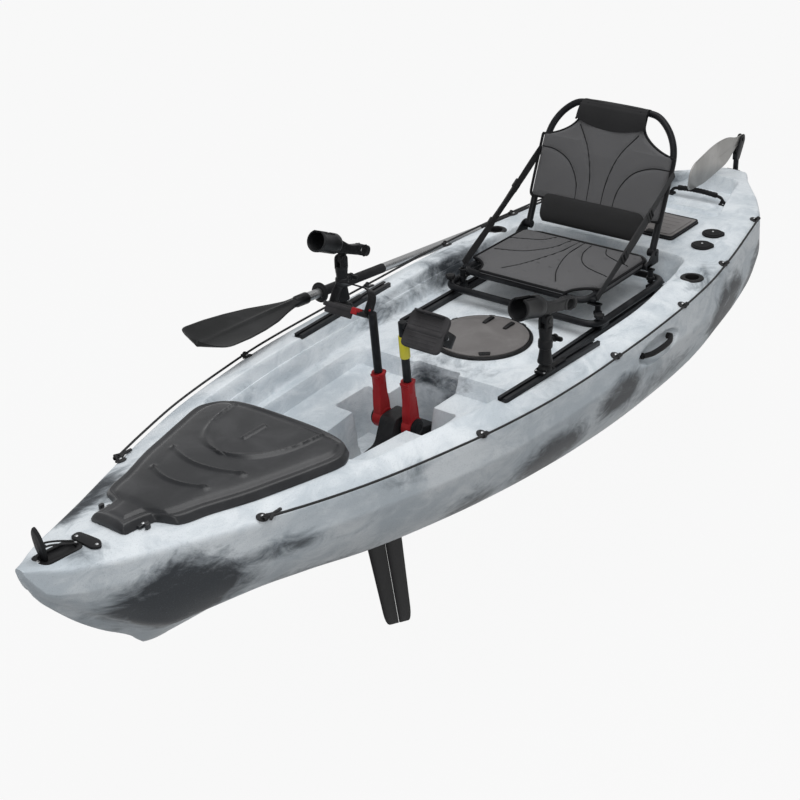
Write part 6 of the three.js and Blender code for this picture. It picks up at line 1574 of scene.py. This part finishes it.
def head_wrap():
    """Black cloth over the top of the arch; its lower edge dips in the middle."""
    columns, rings = 44, []
    across = np.linspace(-1, 1, columns)
    for share in np.linspace(0, 1, 30):
        ring = []
        for a in across:
            low = head_low - 0.022 * (1 - a * a)
            half = mix(0.116, 0.104, share)
            if share < 0.55:
                z = mix(low, arch_top - 0.004, share / 0.55)
                x = front + 0.0135 + 0.003 * math.sin(share / 0.55 * math.pi)
            else:
                turn = (share - 0.55) / 0.45 * math.pi * 0.86
                z, x = arch_top - 0.004 + 0.0145 * math.sin(turn), -0.0005 + 0.0245 * math.cos(turn)
            x += 0.0016 * math.sin(5 * a + 3 * share) * (1 - a * a)
            ring.append((x, half * a, z))
        rings.append(ring)
    outer = np.array(rings)
    inner = outer.copy()
    inner[:, :, 0] -= 0.003
    inner[:, :, 2] = np.where(outer[:, :, 2] > arch_top - 0.004, outer[:, :, 2] - 0.0025,
        outer[:, :, 2] + 0.0002)
    closed = [np.concatenate([o, i[::-1]]) for o, i in zip(outer, inner)]
    return Form().rings(closed, back_place)


finished("seat_head_wrap", head_wrap(), black_cloth, "seat_back", (), 60)
for hand, side in hands.items():
    line = [on_back(head_low - 0.004 + 0.02 * t, side * (0.1155 - 0.011 * t), 0.0125 - 0.002 * t)
        for t in np.linspace(0, 2.6, 12)]
    finished("head_wrap_edge_" + hand, Form().tube([Vector(p) for p in line], 0.003, sides=10),
        binding_tape, "seat_back", (), 60)

lumbar_low, lumbar_high, lumbar_half = 0.022, 0.088, 0.166
lumbar_rows = np.linspace(lumbar_low - 0.004, lumbar_high + 0.016, 34)


def lumbar_width(z):
    share = (z - lumbar_rows[0]) / (lumbar_rows[-1] - lumbar_rows[0])
    return lumbar_half + 0.006 - 0.014 * abs(2 * share - 1) ** 4


def lumbar_lift(S, W, half):
    share = (S - lumbar_rows[0]) / (lumbar_rows[-1] - lumbar_rows[0])
    round_ends = np.sqrt(np.clip(1 - np.abs(W / half) ** 9, 0, 1))
    bulge = np.sqrt(np.clip(1 - np.abs(2 * share - 1) ** 2.6, 0, 1)) * round_ends
    return 0.0035 + 0.0205 * bulge + creases(S, W, 0.0016, 3) * bulge


roll = finished("seat_lumbar_roll", padded_panel("seat_lumbar_roll", lumbar_rows, lumbar_width, lumbar_lift,
    on_back, 60, 0.003), black_cloth, "seat_back", (), 60)


# Flat webbing holds the back up on each side, from a loop on the arch to a loop on the seat's front tube,
# doubled through a moulded ladder buckle half way.
webbing = Finish("black_webbing")
threads = webbing.node("TexWave", {"wave_type": "BANDS", "bands_direction": "Z"},
    {"Vector": webbing.place, "Scale": 210.0, "Distortion": 0.4}, "Fac")
webbing.surface(webbing.blend(threads * 0.6, (0.007, 0.007, 0.008), (0.022, 0.022, 0.024)),
    threads * 0.1 + 0.62, threads, 0.0005)
lean = math.radians(back_lean)
strap_top = np.array([frame_aft + math.sin(lean) * strap_reach, pivot_z + math.cos(lean) * strap_reach])
strap_foot = np.array([-0.292, 0.33])
strap_run = strap_foot - strap_top
strap_long = float(np.hypot(*strap_run))
strap_ahead = strap_run / strap_long
strap_wide = np.array([-strap_ahead[1], strap_ahead[0]])
for hand, side in hands.items():
    form = Form()
    for start, end, out, width in ((0.0, 1.0, 0.0013, 0.0125), (0.34, 0.66, 0.0038, 0.0125)):
        rings = []
        for share in np.linspace(start, end, 40):
            middle = strap_top + strap_run * share + np.array([0, -0.005]) * math.sin(share * math.pi)
            twist = 0.0016 * math.sin(share * 9)
            rings.append([(middle[0] + u * width * strap_wide[0],
                side * (strap_inner + out + twist * u + t * 0.0012), middle[1] + u * width * strap_wide[1])
                for u, t in ((1, -1), (1, 1), (-1, 1), (-1, -1))])
        form.rings(rings)
    for share in (0.33, 0.66):
        middle = strap_top + strap_run * share + np.array([0, -0.005]) * math.sin(share * math.pi)
        lie = Matrix(((strap_ahead[0], strap_wide[0], 0, middle[0]),
            (0, 0, side, side * (strap_inner + 0.003)), (strap_ahead[1], strap_wide[1], 0, middle[1]),
            (0, 0, 0, 1)))
        form.frame(rectangle(-0.016, 0.016, -0.0165, 0.0165, 0.004),
            rectangle(-0.0105, 0.0105, -0.0128, 0.0128, 0.002), -0.002, 0.0035, lie, 0.0012, 72)
        form.slab(rectangle(-0.0025, 0.0025, -0.0135, 0.0135, 0.001), -0.0008, 0.0044, lie, 0.0008)
    band = finished("seat_webbing_" + hand, form, webbing.material, None,
        ("seat_strap_" + hand,), 40)
    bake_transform(band)


# A rod holder stands on each rail: a moulded foot clamped in the slot, a waisted post with a wing knob,
# and a head that tilts between two ears. The head is an open cup with a slot along its top and a ringed
# cradle behind it.
holder_black = moulded("black_holder_nylon", (0.009, 0.0095, 0.0105), (0.05, 0.051, 0.054), 0.38, 520,
    0.0004, 0.45)
post_low, post_tall, fork_height, foot_height = 0.0263, 0.104, 0.026, 0.02
ears_z, pivot_rise, cup_rise = post_low + post_tall, post_low + post_tall + fork_height / 2, 0.039
holder_x, holder_tilt, foot_places = {"port": 0.146, "starboard": 0.125}, {"port": 14, "starboard": 24}, {}
rail_fore, rail_aft = rail_line
for hand, side in hands.items():
    x = holder_x[hand]
    y = side * mix(rail_aft[1], rail_fore[1], (x - rail_aft[0]) / (rail_fore[0] - rail_aft[0]))
    foot = foot_places[hand] = at(x, y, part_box("rod_base_" + hand)[0].z, side * rail_turn)
    form = Form().slab(rectangle(-0.026, 0.026, -0.018, 0.018, 0.009), 0, 0.008, foot, 0.0022, 3)
    form.turned([(0, 0.0075), (0.0178, 0.0075), (0.0178, 0.0115), (0.0162, 0.0155), (0.0125, 0.0185),
        (0.0112, foot_height), (0.0112, foot_height + 0.0058), (0, foot_height + 0.0058)], foot, 40)
    for turn in (45, 135, 225, 315):
        form.slab(rounded([(0.009, 0.007), (0.0235, 0.007), (0.0235, 0.0088, 0.0008),
            (0.0118, 0.0176, 0.001), (0.009, 0.0176)]), -0.0016, 0.0016,
            foot @ at(0, 0, 0, turn) @ seen_from_side, 0.0005)
    form.slab(rounded([(-0.086, -0.0075, 0.005), (-0.012, -0.0075), (-0.012, 0.0075),
        (-0.086, 0.0075, 0.005)]), 0.001, 0.0075, foot, 0.0018, 3)
    form.slab(rectangle(-0.079, -0.034, -0.0042, 0.0042, 0.003), 0.0068, 0.0081, foot, 0.0006)
    finished("rod_holder_foot_" + hand, form, holder_black, "rod_holder_base_" + hand,
        ("rod_base_" + hand,))
    waist = [(0.0188, 0), (0.0196, 0.001), (0.0196, 0.006), (0.0186, 0.0085), (0.0178, 0.014),
        (0.0158, 0.027), (0.0146, 0.037), (0.0148, 0.0395), (0.0178, 0.0415), (0.0186, 0.044),
        (0.0186, 0.0595), (0.0178, 0.0625), (0.0152, 0.0645), (0.0154, 0.071), (0.0172, 0.084),
        (0.0176, 0.092), (0.0166, 0.098)]
    waist = [(wide, post_low + up) for wide, up in waist]
    form = Form().turned([(0, post_low), *waist, (0, post_low + 0.098)], foot, 44)
    knob = foot @ at(0, 0, post_low + post_tall / 2) @ seen_from_bow @ Matrix.Diagonal((1, 1, -1, 1))
    form.turned([(0, 0.01), (0.0088, 0.01), (0.0088, 0.0215), (0.0062, 0.0225), (0.0062, 0.036),
        (0.0098, 0.037), (0.0098, 0.0448), (0.0082, 0.0452), (0, 0.0452)], knob, 28)
    wing = rounded([(-0.0235, -0.0052, 0.005), (-0.009, -0.0064, 0.006), (0.009, -0.0064, 0.006),
        (0.0235, -0.0052, 0.005), (0.0235, 0.0062, 0.005), (0.009, 0.0064, 0.006), (-0.009, 0.0064, 0.006),
        (-0.0235, 0.0062, 0.005)])
    form.slab(wing, 0.0364, 0.0448, knob, 0.0024, 3)
    for ear in (1, -1):
        cheek_view = rounded([(-0.0145, ears_z - 0.014, 0.004), (0.0145, ears_z - 0.014, 0.004),
            (0.0145, ears_z + fork_height, 0.0135), (-0.0145, ears_z + fork_height, 0.0135)])
        form.slab(cheek_view, ear * 0.0095 - 0.0035, ear * 0.0095 + 0.0035, foot @ seen_from_side, 0.0016)
        pin = foot @ at(0, 0, pivot_rise) @ mirrored(ear) @ seen_from_side
        pin_end = [(0, 0.0115), (0.0088, 0.0115), (0.0088, 0.0142), (0.0074, 0.0156), (0, 0.0156)]
        form.turned(pin_end, pin, 6 if ear > 0 else 24)
    form.rod(0.004, -0.012, 0.012, foot @ at(0, 0, pivot_rise) @ seen_from_side, 24)
    finished("rod_holder_column_" + hand, form, holder_black, "rod_holder_post_" + hand,
        ("rod_post_" + hand,))

    top = foot @ at(0, 0, pivot_rise, -holder_tilt[hand], "Y")
    around = [(0.0118 * math.cos(math.radians(a)), 0.0118 * math.sin(math.radians(a)))
        for a in range(180, 361, 15)]
    tongue_view = np.array(around + [(0.015, 0.034), (-0.015, 0.034)])
    form = Form().slab(tongue_view, -0.0056, 0.0056, top @ seen_from_side, 0.0008)
    neck_view = rounded([(-0.066, 0.0185, 0.006), (-0.03, 0.0175, 0.02), (0.052, 0.0145, 0.004),
        (0.052, 0.0535, 0.004), (0.03, 0.0535, 0.02), (-0.024, 0.042, 0.03), (-0.066, 0.0485, 0.008)])
    form.slab(neck_view, -0.0112, 0.0112, top @ seen_from_side, 0.0045, 4)
    ring_view = rounded([(-0.118, 0.0185, 0.014), (-0.058, 0.0185, 0.014), (-0.058, 0.0505, 0.016),
        (-0.118, 0.0485, 0.014)])
    hole_turns = np.linspace(0, 2 * math.pi, 72, False)
    hole = np.array([(-0.088 + 0.015 * math.cos(a), 0.034 + 0.0138 * math.sin(a)) for a in hole_turns])
    form.frame(ring_view, hole, -0.012, 0.012, top @ seen_from_side, 0.0035)
    cup = top @ at(0, 0, cup_rise) @ seen_from_bow
    mouth = 0.132
    form.turned([(0, 0.04), (0.0215, 0.04), (0.0262, 0.0435), (0.0284, 0.05), (0.0284, 0.0702),
        (0.025, 0.0702), (0.025, 0.054), (0.022, 0.0485), (0, 0.048)], cup, 64)
    opening = math.asin(0.012 / 0.0287)
    rings = []
    for along, outer, inner in ((0.0695, 0.0284, 0.025), (mouth - 0.014, 0.0284, 0.025),
            (mouth - 0.011, 0.0296, 0.025), (mouth - 0.002, 0.03, 0.0252), (mouth - 0.0006, 0.0296, 0.0258),
            (mouth, 0.0286, 0.0266)):
        sweep = np.linspace(math.pi / 2 + opening, 5 * math.pi / 2 - opening, 60)
        wall = [(outer * math.cos(a), outer * math.sin(a), along) for a in sweep]
        rings.append(wall + [(inner * math.cos(a), inner * math.sin(a), along) for a in sweep[::-1]])
    form.rings(rings, cup)
    for edge in (1, -1):
        lip = [(edge * 0.0125, 0.0257, 0.0705), (edge * 0.0125, 0.0257, mouth - 0.001)]
        form.tube([cup @ Vector(p) for p in lip], 0.0019, sides=10)
    finished("rod_holder_cup_" + hand, form, holder_black, "rod_holder_head_" + hand,
        ("rod_head_" + hand,))


# The rudder hangs on a pin in a black bracket on the stern. Its fork holds the grey sheet blade on one bolt,
# and the blade is flipped forward, so it lies over the stern deck as it is stowed.
stern_face, rudder_x, blade_x, blade_z = -1.5603, -1.579, -1.604, 0.381
rudder_coat = moulded("black_rudder_coat", (0.01, 0.0105, 0.012), (0.06, 0.061, 0.064), 0.4, 600, 0.0003, 0.4)
form = Form().slab(rectangle(-0.026, 0.026, 0.2, 0.286, 0.006), stern_face - 0.005, stern_face,
    seen_from_bow, 0.001)
for z in (0.216, 0.27):
    lug = rounded([(stern_face - 0.002, -0.013), (stern_face - 0.002, 0.013),
        (rudder_x - 0.0125, 0.013, 0.013), (rudder_x - 0.0125, -0.013, 0.013)])
    form.slab(lug, z - 0.005, z + 0.005, Matrix(), 0.0012)
finished("rudder_hanger", form, rudder_coat, "hull", ("rudder_bracket",))
blade_back = blade_x - rudder_x
form = Form().rod(0.0048, 0.204, 0.282, at(rudder_x, 0, 0), 28)
form.turned([(0, 0.2753), (0.0084, 0.2753), (0.009, 0.2762), (0.009, 0.318), (0.0084, 0.322),
    (0.0084, 0.338), (0, 0.338)], at(rudder_x, 0, 0), 32)
form.turned([(0, 0.2005), (0.0078, 0.2005), (0.009, 0.2018), (0.009, 0.2107), (0, 0.2107)],
    at(rudder_x, 0, 0), 32)
cheek_view = rounded([(-0.009, 0.316, 0.005), (0.012, 0.316, 0.005), (0.013, 0.344, 0.008),
    (blade_back + 0.017, 0.389, 0.012), (blade_back + 0.006, 0.399, 0.01),
    (blade_back - 0.012, 0.397, 0.01), (blade_back - 0.017, 0.375, 0.01)])
for ear in (1, -1):
    form.slab(cheek_view, *sorted((ear * 0.0034, ear * 0.0084)), at(rudder_x, 0, 0) @ seen_from_side, 0.0012)
    bolt = at(blade_x, 0, blade_z) @ mirrored(ear) @ seen_from_side
    form.turned([(0, 0.0082), (0.0068, 0.0082), (0.0068, 0.0101), (0.0056, 0.0113), (0, 0.0113)], bolt, 6)
form.slab(rectangle(-0.009, 0.011, -0.0082, 0.0082, 0.003), 0.324, 0.338, at(rudder_x, 0, 0), 0.0012)
form.rod(0.0034, -0.0085, 0.0085, at(blade_x, 0, blade_z) @ seen_from_side, 20)
finished("rudder_fork", form, rudder_coat, "rudder_yoke", ("rudder_yoke",))
blade_sheet = moulded("grey_blade_sheet", (0.3, 0.295, 0.285), (0.5, 0.49, 0.48), 0.33, 500, 0.0003, 0.6,
    metallic=0.55)
long, broad = 0.378, 0.104
blade_view = rounded([(-0.012, -0.012, 0.01), (0.04, -0.014, 0.02), (0.104, -broad * 0.44, 0.03),
    (long * 0.72, -broad * 0.48, 0.04), (long, -broad * 0.3, 0.024), (long * 0.94, broad * 0.42, 0.04),
    (long * 0.5, broad * 0.56, 0.06), (0.096, broad * 0.44, 0.04), (0.034, 0.018, 0.03),
    (-0.012, 0.014, 0.01)], True, 10)
swing = at(blade_x, 0, blade_z, 6.5, "Y") @ seen_from_side
form = Form().slab(blade_view, -0.003, 0.003, swing, 0.0022, 4)
finished("rudder_sheet", form, blade_sheet, "rudder_blade", ("rudder_blade",), 50)
form = Form()
for face in (1, -1):
    rib = rounded([(0.0, -0.0075, 0.006), (0.06, -0.006, 0.003), (0.17, -0.0028, 0.002),
        (0.17, 0.0028, 0.002), (0.06, 0.006, 0.003), (0.0, 0.0075, 0.006)])
    form.slab(rib + [0.012, 0.0], *sorted((face * 0.0024, face * 0.0031)), swing, 0.0003)
finished("rudder_rib", form, blade_sheet, "rudder_blade", (), 50)


# The paddle lies along the starboard gunwale: a silver tube in two lengths, black grips, a drip ring at
# each throat and two moulded black blades, spooned and widest near their blunt ends, with a rib down
# the middle.
ring_x, paddle_ends = 0.121, (0.618, -1.606)
ring_place, paddle_end = Vector((ring_x, -0.4221, 0.3405)), Vector((-1.0588, -0.4518, 0.219))
along = (ring_place - paddle_end).normalized()
over = Vector((0, 0, 1)).cross(along).normalized()
lay = Matrix((along, over, along.cross(over))).transposed().to_4x4()
lay.translation = ring_place
blade_long, blade_wide = 0.44, 0.084
tip, tail = ((end - ring_x) / along.x for end in paddle_ends)
throat, rear = tip - blade_long, tail + blade_long
tube_silver = moulded("silver_paddle_tube", (0.46, 0.465, 0.47), (0.6, 0.605, 0.61), 0.28, 1200, 0.0001,
    0.4, metallic=0.9)
grip_fore, grip_aft, tube = -0.295, -0.81, lay @ seen_from_bow
form = Form()
for low, high in ((0.0, throat), (grip_aft, grip_fore)):
    form.rod(0.0135, low, high, tube, 36)
finished("paddle_silver_tube", form, tube_silver, "paddle", ("paddle_shaft",))
form = Form()
for low, high in ((grip_fore, -0.0035), (rear, grip_aft)):
    form.turned([(0.0132, low), (0.014, low + 0.001), (0.014, high - 0.001), (0.0132, high), (0.0132, low)],
        tube, 36)
finished("paddle_grips", form, grip_rubber, "paddle")
form = Form()
for place in (0, rear + throat):
    form.turned([(0.0142, place - 0.004), (0.02, place - 0.004), (0.0235, place - 0.0026),
        (0.028, place - 0.0036), (0.029, place - 0.002), (0.028, place), (0.024, place + 0.0004),
        (0.02, place + 0.004), (0.0142, place + 0.004), (0.0142, place - 0.004)], tube, 48)
finished("paddle_drip_rings", form, grip_rubber, "paddle")
blade_plastic = moulded("black_paddle_plastic", (0.007, 0.0075, 0.008), (0.03, 0.031, 0.033), 0.33, 240,
    0.0005, 0.5)
along_shares = [0, 0.07, 0.16, 0.28, 0.42, 0.58, 0.74, 0.88]
width_shares = [0.2, 0.2, 0.25, 0.44, 0.7, 0.88, 0.985, 1.0]
across_shares = np.sin(np.linspace(-math.pi / 2, math.pi / 2, 41))
for name, start, end, roll in (("fore", throat, tip, -4), ("aft", rear, tail, -16)):
    rings, run = [], end - start
    for share in np.concatenate([np.linspace(0, 0.88, 56),
            0.88 + 0.12 * np.sin(np.linspace(0.06, 1, 16) * math.pi / 2)]):
        half = blade_wide * float(np.interp(share, along_shares, width_shares))
        reach = max(0.0, (share - 0.88) / 0.12)
        half *= (1 - reach ** 2.6) ** 0.5 if reach < 1 else 0.02
        half = max(half, 0.003)
        ferrule = max(0.0, 1 - share / 0.2)
        thin = mix(0.0055, 0.0022, min(1, share * 1.4)) + ferrule * 0.006
        spoon = 0.014 * share ** 2
        face = []
        for side in (1, -1):
            line = []
            for a in across_shares:
                rib = math.exp(-(a * half / 0.0065) ** 2) * mix(0.0075, 0.001, min(1, share / 0.85))
                rib *= 1 if side > 0 else 0.7
                edge = math.sqrt(max(0, 1 - abs(a) ** 6))
                rolled = 0.0012 * math.exp(-((abs(a) - 0.93) / 0.04) ** 2) * min(1, share * 3)
                height = side * (thin * edge + rib * (1 - ferrule) + rolled * edge)
                height -= spoon * (1 - a * a) * 0.999
                line.append((start + run * share + math.copysign(0.0003, run), a * half, height))
            face.append(line)
        rings.append(face[0] + face[1][-2:0:-1])
    roll_place = lay @ Matrix.Rotation(math.radians(roll), 4, "X")
    form = Form().rings(rings, roll_place)
    collar = sorted((start, start + math.copysign(0.05, run)))
    form.turned([(0, collar[0]), (0.0162, collar[0]), (0.0168, collar[0] + 0.001),
        (0.0162, collar[1] - 0.008), (0.012, collar[1]), (0, collar[1])], roll_place @ seen_from_bow, 36)
    finished("paddle_blade_moulding_" + name, form, blade_plastic, "paddle",
        ("paddle_blade_" + name,), 45)


# Small stainless screws hold the fittings down: pan heads with a driver cross, all of one pattern, on the
# pad eyes, the bow fittings, handles, caps, drive feet, rudder hanger and rod holder feet.
def screw_pattern():
    tree = bpy.data.node_groups.new("pan_head_screws", "GeometryNodeTree")
    face = tree.interface
    face.new_socket("Places", in_out="INPUT", socket_type="NodeSocketGeometry")
    sizes = {}
    for label, value in (("Head radius", 0.0036), ("Head height", 0.0017), ("Cross width", 0.0009)):
        sizes[label] = face.new_socket(label, in_out="INPUT", socket_type="NodeSocketFloat")
        sizes[label].default_value = value
    face.new_socket("Finish", in_out="INPUT", socket_type="NodeSocketMaterial")
    face.new_socket("Screws", in_out="OUTPUT", socket_type="NodeSocketGeometry")

    def node(kind, settings=None, **inputs):
        made = tree.nodes.new(kind)
        for key, value in (settings or {}).items():
            setattr(made, key, value)
        for key, value in inputs.items():
            socket = made.inputs[int(key[1:])] if key[1:].isdigit() else made.inputs[key.replace("_", " ")]
            if isinstance(value, bpy.types.NodeSocket):
                tree.links.new(value, socket)
            else:
                socket.default_value = value
        return made.outputs

    given = tree.nodes.new("NodeGroupInput").outputs
    ball = node("GeometryNodeMeshUVSphere", Segments=24, Rings=12, Radius=given["Head radius"])[0]
    flatness = node("ShaderNodeMath", {"operation": "DIVIDE"}, _0=given["Head height"],
        _1=given["Head radius"])[0]
    squash = node("ShaderNodeCombineXYZ", X=1.0, Y=1.0, Z=flatness)[0]
    dome = node("GeometryNodeTransform", Geometry=ball, Scale=squash)[0]
    reach = node("ShaderNodeMath", {"operation": "MULTIPLY"}, _0=given["Head radius"], _1=1.1)[0]
    depth = node("ShaderNodeMath", {"operation": "MULTIPLY"}, _0=given["Head height"], _1=1.2)[0]
    bars = [node("GeometryNodeMeshCube", Size=node("ShaderNodeCombineXYZ", X=x, Y=y, Z=depth)[0])[0]
        for x, y in ((reach, given["Cross width"]), (given["Cross width"], reach))]
    lift = node("ShaderNodeCombineXYZ", Z=given["Head height"])[0]
    cross = tree.nodes.new("GeometryNodeJoinGeometry")
    for bar in bars:
        tree.links.new(node("GeometryNodeTransform", Geometry=bar, Translation=lift)[0], cross.inputs[0])
    cut = tree.nodes.new("GeometryNodeMeshBoolean")
    cut.operation = "DIFFERENCE"
    tree.links.new(dome, cut.inputs[0])
    tree.links.new(cross.outputs[0], cut.inputs[1])
    facing = node("GeometryNodeInputNamedAttribute", {"data_type": "FLOAT_VECTOR"}, Name="facing")[0]
    turn = node("FunctionNodeAlignRotationToVector", {"axis": "Z"}, Vector=facing)[0]
    laid = node("GeometryNodeInstanceOnPoints", Points=given["Places"], Instance=cut.outputs[0],
        Rotation=turn)[0]
    real = node("GeometryNodeRealizeInstances", Geometry=laid)[0]
    done = node("GeometryNodeSetMaterial", Geometry=real, Material=given["Finish"])[0]
    tree.links.new(done, tree.nodes.new("NodeGroupOutput").inputs[0])
    return tree, sizes


screw_tree, screw_sizes = screw_pattern()


def screwed(name, body, places, radius=0.0036):
    """Lays screw heads at (place, facing) pairs and makes them one plain mesh on a body."""
    mesh = bpy.data.meshes.new(name + "_places")
    mesh.from_pydata([tuple(place) for place, _ in places], [], [])
    facing = mesh.attributes.new("facing", "FLOAT_VECTOR", "POINT")
    facing.data.foreach_set("vector", [value for _, way in places for value in way])
    holder = bpy.data.objects.new(name + "_places", mesh)
    scene.collection.objects.link(holder)
    modifier = holder.modifiers.new("screws", "NODES")
    modifier.node_group = screw_tree
    modifier[screw_sizes["Head radius"].identifier] = radius
    modifier[screw_sizes["Head height"].identifier] = radius * 0.48
    modifier[screw_sizes["Cross width"].identifier] = radius * 0.26
    modifier[screw_tree.interface.items_tree["Finish"].identifier] = steel
    view = bpy.context.evaluated_depsgraph_get()
    plain_mesh = bpy.data.meshes.new_from_object(holder.evaluated_get(view))
    holder.modifiers.remove(modifier)
    bpy.data.objects.remove(holder)
    plain_mesh.name = name
    return finished(name, plain_mesh, steel, body, (), 30)


skyward, sternward = (0, 0, 1), (-1, 0, 0)
for hand in hands:
    screwed("eye_screws_" + hand, "hull", eye_heads[hand], 0.0046)
bow_spots = [(bow_pad_lie, 0.004, -0.03, 0.0042), (bow_pad_lie, 0.001, 0.028, 0.0042),
    (insert_lie, -0.0515, -0.001, 0.0022), (insert_lie, 0.05, 0.001, 0.0022)]
screwed("bow_screws", "hull", [(lie @ Vector(spot), lie.to_3x3() @ Vector(skyward))
    for lie, *spot in bow_spots], 0.0042)
neck_x, neck_y = cover_fore - neck_back, neck_pads[0][0]
neck_top = deck_height(neck_x, neck_y) + 0.0092
screwed("cover_neck_screws", "front_hatch_cover", [((neck_x, side * neck_y, neck_top), skyward)
    for side in (1, -1)], 0.0042)
feet = [(low + shift, side * 0.051, well_top + 0.012) for low, _ in drive_feet for shift in (0.016, 0.06)
    for side in (1, -1)]
screwed("drive_foot_screws", "hull", [(place, skyward) for place in feet], 0.0052)
screwed("stern_handle_screws", "hull", [((stern_x + x, side * 0.099, pivot - 0.001), skyward)
    for x in (-0.011, 0.011) for side in (1, -1)], 0.003)
screwed("rudder_hanger_screws", "hull", [((stern_face - 0.005, side * 0.018, z), sternward)
    for z in (0.212, 0.243, 0.274) for side in (1, -1)], 0.0038)
for hand, side in hands.items():
    rail_z, track_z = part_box("gear_rail_" + hand)[0].z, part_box("seat_track_" + hand)[0].z
    in_rail = [(*(rail_aft + (rail_fore - rail_aft) * share) * [1, side], rail_z + 0.003)
        for share in (0.06, 0.94)]
    in_track = [(mix(track_aft, track_fore, share), side * track_y, track_z + 0.003)
        for share in (0.03, 0.97)]
    screwed("rail_screws_" + hand, "hull", [(place, skyward) for place in in_rail + in_track], 0.003)
    spots = [(foot_places[hand] @ Vector((0.0212, end * 0.0125, 0.008)), skyward) for end in (1, -1)]
    screwed("foot_screws_" + hand, "rod_holder_base_" + hand, spots, 0.0034)
    for end, (x, y) in zip(("fore", "aft"), cap_places):
        node = f"rod_holder_cap_{hand}_{end}"
        screwed(f"cap_stud_{hand}_{end}", node, [((x, side * y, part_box(node)[1].z - 0.0004), skyward)],
            0.0034)


low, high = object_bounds()
